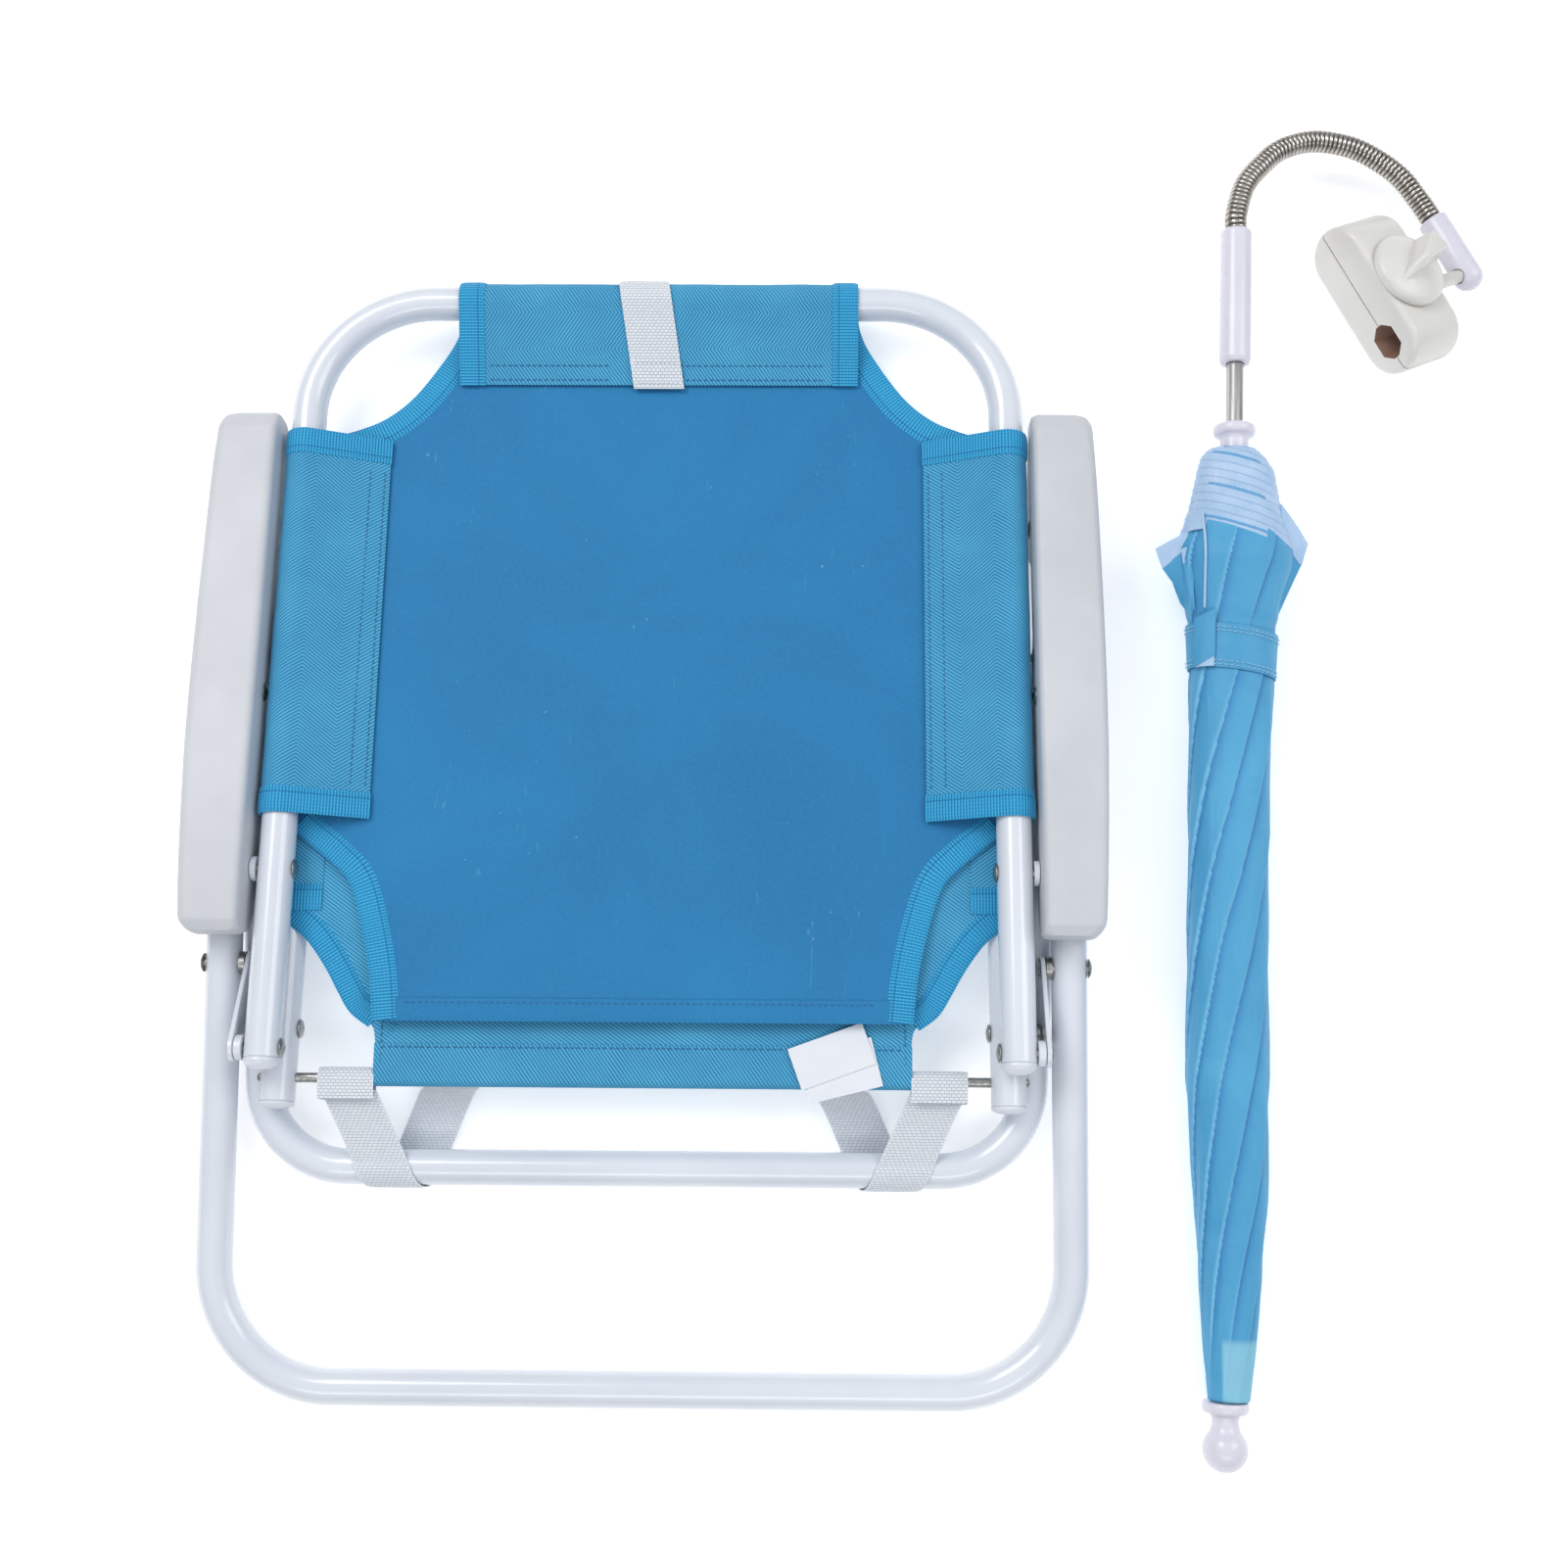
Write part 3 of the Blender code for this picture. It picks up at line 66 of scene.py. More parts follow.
FRONT_X_TOP, FRONT_X_BAR = 188.0 * MM, 171.3 * MM
BACK_LEN, BACK_TAIL, SEAT_TAIL = 278.0 * MM, 83.7 * MM, 32.0 * MM
PLATE_X0, PLATE_X1 = 176.9 * MM, 178.9 * MM
ARM_X0, ARM_X1, ARM_WALL = 176.0 * MM, 203.6 * MM, 2.2 * MM
PANEL_Z = 7.85 * MM
UMB_X0, UMB_DX = 266.9 * MM, 0.036
UMB_Z0, UMB_DZ = 20.2 * MM, 0.034
HOSE_R = 5.0 * MM
CLAMP_C = Vector((348.3, 235.1, 21.4)) * MM
CLAMP_TILT = math.radians(25.0)
CLAMP_ENDS, CLAMP_R, CLAMP_HALF_W = (-38.0 * MM, 40.0 * MM), 15.5 * MM, 17.0 * MM


def axis_angle(a, b):
    return math.atan2(b[1] - a[1], b[0] - a[0])


def frame_of(pivot, slope):
    return Matrix.Translation((0.0, pivot[0], pivot[1])) @ Matrix.Rotation(slope, 4, "X")


REAR = frame_of(REAR_BAR, axis_angle(REAR_BAR, P_REAR_LEG))
ARMS = frame_of(P_REAR_LEG, math.radians(-2.8))
BACK = frame_of(P_BACK, axis_angle(P_PLATE_BACK, P_BACK))
PLATES = frame_of(P_PLATE_BACK, 0.0)
FRONT = frame_of(P_FRONT_LEG, axis_angle(FRONT_BAR, P_FRONT_LEG))
SEAT = frame_of(P_SEAT_LEG, axis_angle(P_PLATE_SEAT, SEAT_FRONT))
WORLD = Matrix.Identity(4)


def local(frame_m, point):
    v = frame_m.inverted() @ Vector((0.0, point[0], point[1]))
    return v.y, v.z


# ---------------------------------------------------------------- materials
def rgb(r, g, b):
    """A colour as a picture shows it, 0 to 255, in linear light."""
    out = []
    for c in (r, g, b):
        c /= 255.0
        out.append(c / 12.92 if c <= 0.04045 else ((c + 0.055) / 1.055) ** 2.4)
    return (*out, 1.0)


class Mat:
    def __init__(self, name, **sockets):
        self.m = bpy.data.materials.new(name)
        self.m.use_nodes = True
        self.t = self.m.node_tree
        self.s = self.t.nodes["Principled BSDF"]
        for k, v in sockets.items():
            self.s.inputs[k.replace("_", " ")].default_value = v

    def n(self, kind, inputs=(), **props):
        node = self.t.nodes.new("ShaderNode" + kind)
        for k, v in props.items():
            setattr(node, k, v)
        for k, v in dict(inputs).items():
            if isinstance(v, bpy.types.NodeSocket):
                self.t.links.new(v, node.inputs[k])
            else:
                node.inputs[k].default_value = v
        return node

    def math(self, op, a, b=0.0, c=0.0, clamp=False):
        return self.n("Math", {0: a, 1: b, 2: c}, operation=op, use_clamp=clamp).outputs[0]

    def mix(self, fac, a, b, blend="MIX"):
        node = self.n("Mix", {0: fac}, data_type="RGBA", blend_type=blend)
        for i, v in ((6, a), (7, b)):
            if isinstance(v, bpy.types.NodeSocket):
                self.t.links.new(v, node.inputs[i])
            else:
                node.inputs[i].default_value = v
        return node.outputs[2]

    def span(self, value, a, b, c=0.0, d=1.0):
        return self.n("MapRange", {0: value, 1: a, 2: b, 3: c, 4: d}, clamp=True).outputs[0]

    def coords(self, kind="Object"):
        if kind == "cloth":
            return self.n("Attribute", attribute_name="cloth").outputs["Vector"]
        return self.n("TexCoord").outputs[kind]

    def attr(self, name):
        return self.n("Attribute", attribute_name=name).outputs["Fac"]

    def noise(self, at, scale, detail=3.0, rough=0.5, distortion=0.0):
        return self.n("TexNoise", {"Vector": at, "Scale": scale, "Detail": detail, "Roughness": rough,
                                   "Distortion": distortion}).outputs[0]

    def split(self, at):
        return self.n("SeparateXYZ", {0: at}).outputs

    def wave(self, value, period, phase=0.0):
        """A sine of the value, from 0 to 1."""
        turn = self.math("MULTIPLY_ADD", value, 2 * math.pi / period, phase)
        return self.math("MULTIPLY_ADD", self.math("SINE", turn), 0.5, 0.5)

    def bump(self, height, strength, distance, normal=None):
        node = self.n("Bump", {"Height": height, "Strength": strength, "Distance": distance})
        if normal is not None:
            self.t.links.new(normal, node.inputs["Normal"])
        return node.outputs[0]

    def set(self, name, socket):
        self.t.links.new(socket, self.s.inputs[name])
        return self


def plastic(name, tone, dark, rough=(0.42, 0.55), grain=900.0, depth=0.00006, coat=0.0, sub=0.0):
    m = Mat(name, Coat_Weight=coat, Coat_Roughness=0.12, IOR=1.48, Subsurface_Weight=sub, Subsurface_Scale=0.003)
    at = m.coords()
    cloud = m.noise(at, 14.0, 4.0, 0.6)
    fine = m.noise(at, grain, 2.0)
    m.set("Base Color", m.mix(m.span(cloud, 0.35, 0.72), dark, tone))
    m.set("Roughness", m.span(m.noise(at, 45.0, 3.0), 0.3, 0.7, rough[0], rough[1]))
    m.set("Normal", m.bump(fine, 0.35, depth))
    return m.m


def enamel():
    """Glossy white stove enamel on steel tube, with a faint orange peel and small scuffs."""
    m = Mat("enamel_white", Coat_Weight=0.55, Coat_Roughness=0.06, IOR=1.5, Specular_IOR_Level=0.55)
    at = m.coords()
    cloud = m.noise(at, 9.0, 4.0, 0.6)
    tone = m.mix(m.span(cloud, 0.3, 0.7), rgb(211, 216, 225), rgb(223, 227, 234))
    marks = m.noise(m.n("Mapping", {0: at, 3: (1.0, 0.35, 1.0)}).outputs[0], 210.0, 5.0, 0.72, 1.5)
    scuff = m.span(marks, 0.70, 0.76)
    tone = m.mix(m.math("MULTIPLY", scuff, 0.35), tone, rgb(168, 172, 178))
    m.set("Base Color", tone)
    m.set("Roughness", m.math("ADD", m.span(m.noise(at, 60.0, 3.0), 0.3, 0.7, 0.17, 0.26), m.math("MULTIPLY", scuff, 0.2)))
    m.set("Normal", m.bump(m.noise(at, 260.0, 2.0), 0.12, 0.0001))
    return m.m


def metal(name, tone, dark, rough=(0.22, 0.42), brushed=(1.0, 1.0, 1.0), scale=300.0):
    m = Mat(name, Metallic=1.0)
    at = m.n("Mapping", {0: m.coords(), 3: brushed}).outputs[0]
    grain = m.noise(at, scale, 4.0, 0.65)
    m.set("Base Color", m.mix(m.span(grain, 0.35, 0.7), dark, tone))
    m.set("Roughness", m.span(m.noise(at, scale * 0.4, 3.0), 0.3, 0.7, rough[0], rough[1]))
    m.set("Normal", m.bump(grain, 0.2, 0.00004))
    return m.m


def spring_steel():
    """Bright round strip, its colour darkened down in the grooves between its turns as painted shade."""
    m = Mat("spring_steel", Metallic=1.0)
    at = m.coords()
    tone = m.mix(m.span(m.noise(at, 160.0, 3.0), 0.35, 0.7), rgb(176, 170, 164), rgb(204, 199, 193))
    # the groove mask darkens the colour in the grooves: painted shade
    m.set("Base Color", m.mix(m.attr("groove"), tone, rgb(58, 52, 48)))
    m.set("Roughness", m.math("MULTIPLY_ADD", m.attr("groove"), 0.3, 0.17))
    return m.m


def oxford(name, fold=None):
    """Blue sleeve and seat cloth: diagonal ribs, which turn in chevron columns fold wide."""
    m = Mat(name, Sheen_Weight=0.25, Sheen_Roughness=0.5, Specular_IOR_Level=0.25)
    m.s.inputs["Sheen Tint"].default_value = rgb(150, 205, 235)
    at = m.coords("cloth")
    u, v, _ = m.split(at)
    lean = m.math("PINGPONG", u, fold) if fold else u
    line = m.math("ADD", v, m.math("MULTIPLY", lean, 0.72))
    rib = m.wave(line, 0.0017)
    thread = m.wave(m.math("SUBTRACT", u, m.math("MULTIPLY", v, 0.25)), 0.00062)
    grain = m.noise(at, 1500.0, 2.0, 0.7)
    cloud = m.noise(at, 22.0, 4.0, 0.6)
    base = m.mix(m.span(cloud, 0.3, 0.72), rgb(58, 148, 192), rgb(80, 172, 210))
    # the twill's diagonal ribs drawn in colour: troughs darker as painted shade, tops with their threads lighter as
    # painted highlight
    dark = m.mix(m.span(rib, 0.42, 0.05, 0.0, 0.85), base, rgb(26, 96, 146))
    lit = m.mix(m.math("MULTIPLY", m.span(rib, 0.55, 0.95), m.math("MULTIPLY_ADD", thread, 0.30, 0.06)), dark, rgb(136, 206, 232))
    lit = m.mix(m.span(grain, 0.62, 0.8, 0.0, 0.28), lit, rgb(146, 210, 234))
    m.set("Base Color", lit)
    m.set("Roughness", m.span(cloud, 0.3, 0.7, 0.72, 0.86))
    height = m.math("ADD", m.math("MULTIPLY", rib, 0.75), m.math("MULTIPLY", thread, 0.35))
    m.set("Normal", m.bump(height, 0.55, 0.00018))
    return m.m


def plain_cloth():
    """The smooth darker blue face of the back panel, with faint chalky scuffs."""
    m = Mat("panel_blue", Sheen_Weight=0.12, Sheen_Roughness=0.6, Specular_IOR_Level=0.3)
    m.s.inputs["Sheen Tint"].default_value = rgb(120, 185, 225)
    at = m.coords("cloth")
    u, v, _ = m.split(at)
    weave = m.math("ADD", m.math("MULTIPLY", m.wave(u, 0.00085), 0.5), m.math("MULTIPLY", m.wave(v, 0.0007), 0.5))
    cloud = m.noise(at, 7.0, 5.0, 0.6, 0.6)
    base = m.mix(m.span(cloud, 0.3, 0.7), rgb(28, 112, 166), rgb(40, 127, 180))
    fine = m.noise(at, 480.0, 3.0, 0.7)
    base = m.mix(m.span(fine, 0.45, 0.75, 0.0, 0.14), base, rgb(76, 154, 200))
    # chalk marks: thin broken strokes in a few patches
    strokes = m.noise(m.n("Mapping", {0: at, 2: (0.0, 0.0, 0.6), 3: (1.0, 0.16, 1.0)}).outputs[0], 120.0, 6.0, 0.75, 2.6)
    patch = m.noise(at, 16.0, 3.0, 0.6)
    chalk = m.math("MULTIPLY", m.span(strokes, 0.625, 0.70), m.span(patch, 0.50, 0.64))
    specks = m.math("MULTIPLY", m.span(m.noise(at, 260.0, 2.0, 0.5), 0.735, 0.77), m.span(patch, 0.42, 0.55))
    base = m.mix(m.math("MULTIPLY", chalk, 0.30), base, rgb(158, 205, 228))
    base = m.mix(m.math("MULTIPLY", specks, 0.22), base, rgb(188, 220, 235))
    m.set("Base Color", base)
    m.set("Roughness", m.span(cloud, 0.3, 0.7, 0.62, 0.78))
    soft = m.bump(m.noise(at, 30.0, 4.0, 0.55, 0.8), 0.35, 0.0016)
    m.set("Normal", m.bump(m.math("ADD", weave, m.math("MULTIPLY", fine, 0.5)), 0.22, 0.00008, soft))
    return m.m


def binding():
    """Bright cyan bias tape with ribs across it, their tops painted light as painted highlight and the gaps between
    them painted dark as painted shade.
    """
    m = Mat("binding_cyan", Sheen_Weight=0.3, Sheen_Roughness=0.4, Specular_IOR_Level=0.3)
    m.s.inputs["Sheen Tint"].default_value = rgb(150, 225, 245)
    at = m.coords("cloth")
    u, v, _ = m.split(at)
    weft = m.wave(m.math("ADD", u, m.math("MULTIPLY", m.wave(v, 0.003), 0.0004)), 0.0016)
    rib = m.math("MULTIPLY", m.wave(v, 0.0014), m.math("MULTIPLY_ADD", weft, 0.40, 0.60))
    seam = m.math("SUBTRACT", 1.0, m.span(m.math("ABSOLUTE", m.math("SUBTRACT", u, 0.0092)), 0.0, 0.0006))
    grain = m.noise(at, 1300.0, 2.0, 0.7)
    # rib tops painted light (painted highlight), gaps between ribs painted dark (painted shade)
    base = m.mix(rib, rgb(12, 102, 162), rgb(72, 192, 232))
    base = m.mix(m.span(m.noise(at, 30.0, 3.0), 0.3, 0.7, 0.0, 0.35), base, rgb(40, 160, 214))
    base = m.mix(m.span(grain, 0.55, 0.8, 0.0, 0.4), base, rgb(98, 208, 240))
    base = m.mix(m.math("MULTIPLY", seam, 0.55), base, rgb(10, 92, 150))
    m.set("Base Color", base)
    m.set("Roughness", m.span(grain, 0.3, 0.7, 0.6, 0.75))
    height = m.math("SUBTRACT", rib, m.math("MULTIPLY", seam, 0.8))
    m.set("Normal", m.bump(height, 0.8, 0.0003))
    return m.m


def webbing():
    """White polyester webbing: short staggered grains."""
    m = Mat("webbing_white", Sheen_Weight=0.2, Specular_IOR_Level=0.35)
    at = m.coords("cloth")
    u, v, _ = m.split(at)
    cell = m.n("TexBrick", {"Vector": at, "Color1": (1, 1, 1, 1), "Color2": (0.82, 0.82, 0.82, 1), "Mortar": (0, 0, 0, 1),
                            "Scale": 1.0, "Mortar Size": 0.00022, "Mortar Smooth": 0.9, "Brick Width": 0.0021,
                            "Row Height": 0.0014}, offset=0.5)
    grain = m.n("RGBToBW", {0: cell.outputs["Color"]}).outputs[0]
    cloud = m.noise(at, 40.0, 3.0)
    edge = m.span(m.math("ABSOLUTE", u), 0.0112, 0.0122)
    base = m.mix(grain, rgb(176, 184, 194), rgb(233, 237, 242))
    base = m.mix(m.span(cloud, 0.3, 0.7, 0.0, 0.3), base, rgb(205, 212, 222))
    m.set("Base Color", m.mix(m.math("MULTIPLY", edge, 0.4), base, rgb(236, 239, 243)))
    m.set("Roughness", m.span(cloud, 0.3, 0.7, 0.55, 0.7))
    m.set("Normal", m.bump(grain, 0.75, 0.00028))
    return m.m


def satin():
    m = Mat("satin_white", Sheen_Weight=0.3, Anisotropic=0.4, Specular_IOR_Level=0.5)
    at = m.coords("cloth")
    u, v, _ = m.split(at)
    rib = m.wave(u, 0.0005)
    cloud = m.noise(at, 60.0, 3.0)
    m.set("Base Color", m.mix(m.math("MULTIPLY", m.math("ADD", rib, cloud), 0.5), rgb(212, 216, 224), rgb(240, 242, 247)))
    m.set("Roughness", m.span(cloud, 0.3, 0.7, 0.34, 0.48))
    m.set("Normal", m.bump(rib, 0.2, 0.00005))
    return m.m


def canopy_cloth(name="canopy_sky"):
    """Thin umbrella nylon: sky blue, with a painted highlight along its fold edges and painted shade beside them, with
    a pale wound hem.
    """
    m = Mat(name, Sheen_Weight=0.25, Sheen_Roughness=0.35, Specular_IOR_Level=0.4)
    m.s.inputs["Sheen Tint"].default_value = rgb(190, 225, 245)
    at = m.coords("cloth")
    u, v, _ = m.split(at)
    weave = m.math("MULTIPLY", m.wave(u, 0.0006), m.wave(v, 0.0006))
    cloud = m.noise(at, 18.0, 5.0, 0.6, 0.7)
    base = m.mix(m.span(cloud, 0.3, 0.7), rgb(62, 148, 196), rgb(82, 167, 210))
    base = m.mix(m.math("MULTIPLY", weave, 0.15), base, rgb(150, 214, 240))
    # painted shade beside each fold edge, then a painted highlight along the edge itself
    base = m.mix(m.math("MULTIPLY", m.attr("shade"), 0.75), base, rgb(34, 112, 176))
    base = m.mix(m.math("MULTIPLY", m.attr("edge"), 0.75), base, rgb(134, 200, 232))
    hem = m.mix(m.span(m.noise(at, 90.0, 3.0), 0.3, 0.7), rgb(160, 192, 224), rgb(184, 206, 234))
    # line paints a thin shadow under the edge of each wound layer of the hem
    hem = m.mix(m.math("MULTIPLY", m.attr("line"), 0.75), hem, rgb(112, 146, 190))
    hem = m.mix(m.math("MULTIPLY", m.attr("sliver"), 0.85), hem, rgb(70, 152, 202))
    base = m.mix(m.span(m.attr("hem"), 0.35, 0.65), base, hem)
    base = m.mix(m.math("MULTIPLY", m.attr("pale"), 0.55), base, rgb(160, 216, 226))
    m.set("Base Color", base)
    m.set("Roughness", m.span(cloud, 0.3, 0.7, 0.42, 0.6))
    soft = m.bump(m.noise(at, 110.0, 4.0, 0.6, 1.0), 0.30, 0.0010)
    m.set("Normal", m.bump(weave, 0.15, 0.00006, soft))
    return m.m


def thread(name, tone, dark):
    m = Mat(name, Sheen_Weight=0.2)
    twist = m.noise(m.coords(), 2500.0, 2.0)
    m.set("Base Color", m.mix(twist, dark, tone))
    m.set("Roughness", m.span(twist, 0.3, 0.7, 0.5, 0.7))
    return m.m


M_TUBE = enamel()
M_ARM = plastic("armrest_plastic", rgb(208, 210, 215), rgb(196, 198, 203), (0.46, 0.6), 1100.0, 0.00005)
M_CAP = plastic("cap_plastic", rgb(226, 229, 236), rgb(214, 218, 227), (0.25, 0.36), 700.0, 0.00003, 0.3)
M_FITTING = plastic("umbrella_plastic", rgb(226, 224, 234), rgb(215, 213, 225), (0.24, 0.34), 500.0, 0.00003, 0.35)
M_CLAMP = plastic("clamp_plastic", rgb(226, 224, 219), rgb(215, 212, 206), (0.3, 0.42), 380.0, 0.00008, 0.25)
M_BORE = plastic("clamp_bore_plastic", rgb(176, 142, 124), rgb(146, 114, 98), (0.5, 0.6), 380.0, 0.00008)
M_ZINC = metal("zinc_plate", rgb(196, 196, 192), rgb(138, 138, 134), (0.25, 0.45), scale=420.0)
M_SHAFT = metal("shaft_steel", rgb(206, 204, 202), rgb(160, 158, 156), (0.34, 0.44), (1.0, 0.04, 1.0), 500.0)
M_SPRING = spring_steel()
M_OXFORD = oxford("oxford_blue", 0.017)
M_OXFORD_SEAT = oxford("oxford_seat_blue")
M_PANEL = plain_cloth()
M_BIND = binding()
M_WEB = webbing()
M_SATIN = satin()
M_CANOPY = canopy_cloth()
M_THREAD = thread("thread_blue", rgb(44, 126, 176), rgb(20, 84, 136))
M_THREAD_PALE = thread("thread_pale", rgb(186, 222, 240), rgb(120, 180, 214))
M_TACK = thread("thread_cyan", rgb(60, 206, 222), rgb(24, 150, 180))
M_THREAD_WHITE = thread("thread_white", rgb(236, 238, 242), rgb(176, 182, 192))

SLOT_OF = {
    M_TUBE: "white_painted_steel", M_ARM: "white_armrest_plastic", M_CAP: "white_plastic_fittings",
    M_FITTING: "white_plastic_fittings", M_CLAMP: "warm_white_clamp_plastic", M_ZINC: "zinc_plated_steel",
    M_SHAFT: "polished_steel_shaft", M_SPRING: "spiral_steel_hose", M_PANEL: "blue_back_fabric",
    M_WEB: "white_webbing", M_SATIN: "white_satin_label", M_CANOPY: "sky_blue_canopy_fabric",
}


# ---------------------------------------------------------------- mesh helpers
def rnd(*p, s=1.0, seed=0.0):
    """Smooth noise from -1 to 1 at a point, the same in each run."""
    return noise.noise(Vector((p[0] * s + seed, (p[1] if len(p) > 1 else 0.0) * s + 3.7 * seed, (p[2] if len(p) > 2 else 0.0) * s)))


def piece(name, verts, faces, mat, body, place=WORLD, nodes=(), slot=None, attrs=None, angle=40.0, blend=None, mats=None, face_mats=None):
    me = bpy.data.meshes.new(name)
    v = np.asarray(verts, float).reshape(-1, 3)
    m = np.array(place)
    v = v @ m[:3, :3].T + m[:3, 3]
    me.from_pydata(v.tolist(), [], [tuple(int(i) for i in f) for f in faces])
    if place.determinant() < 0:
        me.flip_normals()
    for key, value in (attrs or {}).items():
        value = np.asarray(value, np.float32)
        if value.ndim == 2:
            if value.shape[1] == 2:
                value = np.hstack([value, np.zeros((len(value), 1), np.float32)])
            me.attributes.new(key, "FLOAT_VECTOR", "POINT").data.foreach_set("vector", value.ravel())
        else:
            me.attributes.new(key, "FLOAT", "POINT").data.foreach_set("value", value)
    for m_ in (mats or [mat]):
        me.materials.append(m_)
    if face_mats is not None:
        me.polygons.foreach_set("material_index", np.asarray(face_mats, np.int32))
    me.validate()
    me.update()
    me.shade_smooth()
    if angle is not None:
        me.set_sharp_from_angle(angle=math.radians(angle))
    ob = bpy.data.objects.new(name, me)
    bpy.context.scene.collection.objects.link(ob)
    return settle(ob, mat, body, nodes, slot, blend)


def settle(ob, mat, body, nodes=(), slot=None, blend=None):
    if blend is None:
        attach(ob, body)
    else:
        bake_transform(ob)
    if nodes:
        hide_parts(*nodes)
    slot = slot or SLOT_OF.get(mat)
    return ob


def grid_faces(rows, cols, start=0, wrap=False, flip=False):
    """Quads of a grid of rows by cols points; wrap joins the last column to the first."""
    out = []
    for i in range(rows - 1):
        for j in range(cols if wrap else cols - 1):
            k = (j + 1) % cols
            a, b, c, d = start + i * cols + j, start + i * cols + k, start + (i + 1) * cols + k, start + (i + 1) * cols + j
            out.append((a, d, c, b) if flip else (a, b, c, d))
    return out


def arc_uv(P):
    """u across and v along a grid, measured on its middle lines, in metres."""
    r, c = P.shape[:2]
    mid = P[r // 2]
    u = np.concatenate([[0.0], np.cumsum(np.linalg.norm(np.diff(mid, axis=0), axis=1))])
    mid = P[:, c // 2]
    v = np.concatenate([[0.0], np.cumsum(np.linalg.norm(np.diff(mid, axis=0), axis=1))])
    return np.stack(np.broadcast_arrays(u[None, :], v[:, None]), -1)


def shell(P, half, uv=None, lift=None):
    """A closed sheet of half thickness half about a grid of points."""
    P = np.asarray(P, float)
    r, c = P.shape[:2]
    n = np.cross(np.gradient(P, axis=1), np.gradient(P, axis=0))
    n /= np.maximum(np.linalg.norm(n, axis=2, keepdims=True), 1e-12)
    if lift is not None:
        P = P + n * np.asarray(lift)[..., None]
    half = np.broadcast_to(np.asarray(half, float), (r, c))[..., None]
    v = np.concatenate([(P + n * half).reshape(-1, 3), (P - n * half).reshape(-1, 3)])
    faces = grid_faces(r, c) + grid_faces(r, c, r * c, flip=True)
    rim = [i for i in range(c)] + [i * c + c - 1 for i in range(1, r)] + [(r - 1) * c + i for i in range(c - 2, -1, -1)] + [i * c for i in range(r - 2, 0, -1)]
    for a, b in zip(rim, rim[1:] + rim[:1]):
        faces.append((b, a, a + r * c, b + r * c))
    uv = arc_uv(P) if uv is None else np.asarray(uv, float)
    uv = uv.reshape(-1, uv.shape[-1])
    return v, faces, {"cloth": np.concatenate([uv, uv])}, n


def smooth_line(points, step, closed=False):
    """A Catmull-Rom curve through points, resampled at even steps."""
    p = [np.asarray(q, float) for q in points]
    ext = [p[-1]] + p + [p[0], p[1]] if closed else [2 * p[0] - p[1]] + p + [2 * p[-1] - p[-2]]
    fine = []
    for i in range(1, len(ext) - 2):
        a, b, c, d = ext[i - 1:i + 3]
        for k in range(14):
            t = k / 14
            fine.append(0.5 * (2 * b + (c - a) * t + (2 * a - 5 * b + 4 * c - d) * t * t + (3 * b - a - 3 * c + d) * t ** 3))
    if not closed:
        fine.append(p[-1])
    else:
        fine.append(fine[0])
    fine = np.array(fine)
    run = np.concatenate([[0.0], np.cumsum(np.linalg.norm(np.diff(fine, axis=0), axis=1))])
    n = max(2, int(round(run[-1] / step)) + 1)
    at = np.linspace(0, run[-1], n)
    out = np.stack([np.interp(at, run, fine[:, k]) for k in range(fine.shape[1])], 1)
    return out[:-1] if closed else out


def even_line(points, step):
    """Straight lines through points, resampled at even steps."""
    p = np.asarray(points, float)
    run = np.concatenate([[0.0], np.cumsum(np.linalg.norm(np.diff(p, axis=0), axis=1))])
    at = np.linspace(0, run[-1], max(2, int(round(run[-1] / step)) + 1))
    return np.stack([np.interp(at, run, p[:, k]) for k in range(p.shape[1])], 1)


def fillet(points, radii, steps=24):
    out = [Vector(points[0])]
    for i in range(1, len(points) - 1):
        p0, p1, p2 = (Vector(points[j]) for j in (i - 1, i, i + 1))
        a, b = (p0 - p1).normalized(), (p2 - p1).normalized()
        half = a.angle(b) / 2
        reach = radii[i - 1] / math.tan(half)
        centre = p1 + (a + b).normalized() * (radii[i - 1] / math.sin(half))
        start, end = p1 + a * reach - centre, p1 + b * reach - centre
        turn = start.angle(end)
        for k in range(steps + 1):
            t = k / steps
            v = (start * math.sin((1 - t) * turn) + end * math.sin(t * turn)) / math.sin(turn)
            out.append(centre + v)
    out.append(Vector(points[-1]))
    return out


def transported(path):
    """Unit directions and two cross axes along a path, turned as little as possible."""
    P = np.asarray([tuple(p) for p in path], float)
    t = np.gradient(P, axis=0)
    t[0], t[-1] = P[1] - P[0], P[-1] - P[-2]
    t /= np.linalg.norm(t, axis=1, keepdims=True)
    a = np.cross(t[0], (0, 0, 1.0))
    if np.linalg.norm(a) < 0.1:
        a = np.cross(t[0], (1.0, 0, 0))
    a /= np.linalg.norm(a)
    A = [a]
    for k in range(1, len(P)):
        a = A[-1] - t[k] * np.dot(A[-1], t[k])
        A.append(a / np.linalg.norm(a))
    A = np.array(A)
    return P, t, A, np.cross(t, A)


def sweep(path, radii, segs=36):
    """A round bar along a path with a radius at each point, its ends closed."""
    P, t, A, B = transported(path)
    radii = np.broadcast_to(np.asarray(radii, float), len(P))
    ang = np.linspace(0, 2 * math.pi, segs, endpoint=False)
    v = (P[:, None] + radii[:, None, None] * (A[:, None] * np.cos(ang)[None, :, None] + B[:, None] * np.sin(ang)[None, :, None])).reshape(-1, 3)
    faces = grid_faces(len(P), segs, wrap=True)
    faces.append(tuple(range(segs))[::-1])
    faces.append(tuple(range((len(P) - 1) * segs, len(P) * segs)))
    run = np.concatenate([[0.0], np.cumsum(np.linalg.norm(np.diff(P, axis=0), axis=1))])
    uv = np.stack(np.broadcast_arrays(ang[None, :] * float(radii.max()), run[:, None]), -1).reshape(-1, 2)
    return v, faces, {"cloth": uv}


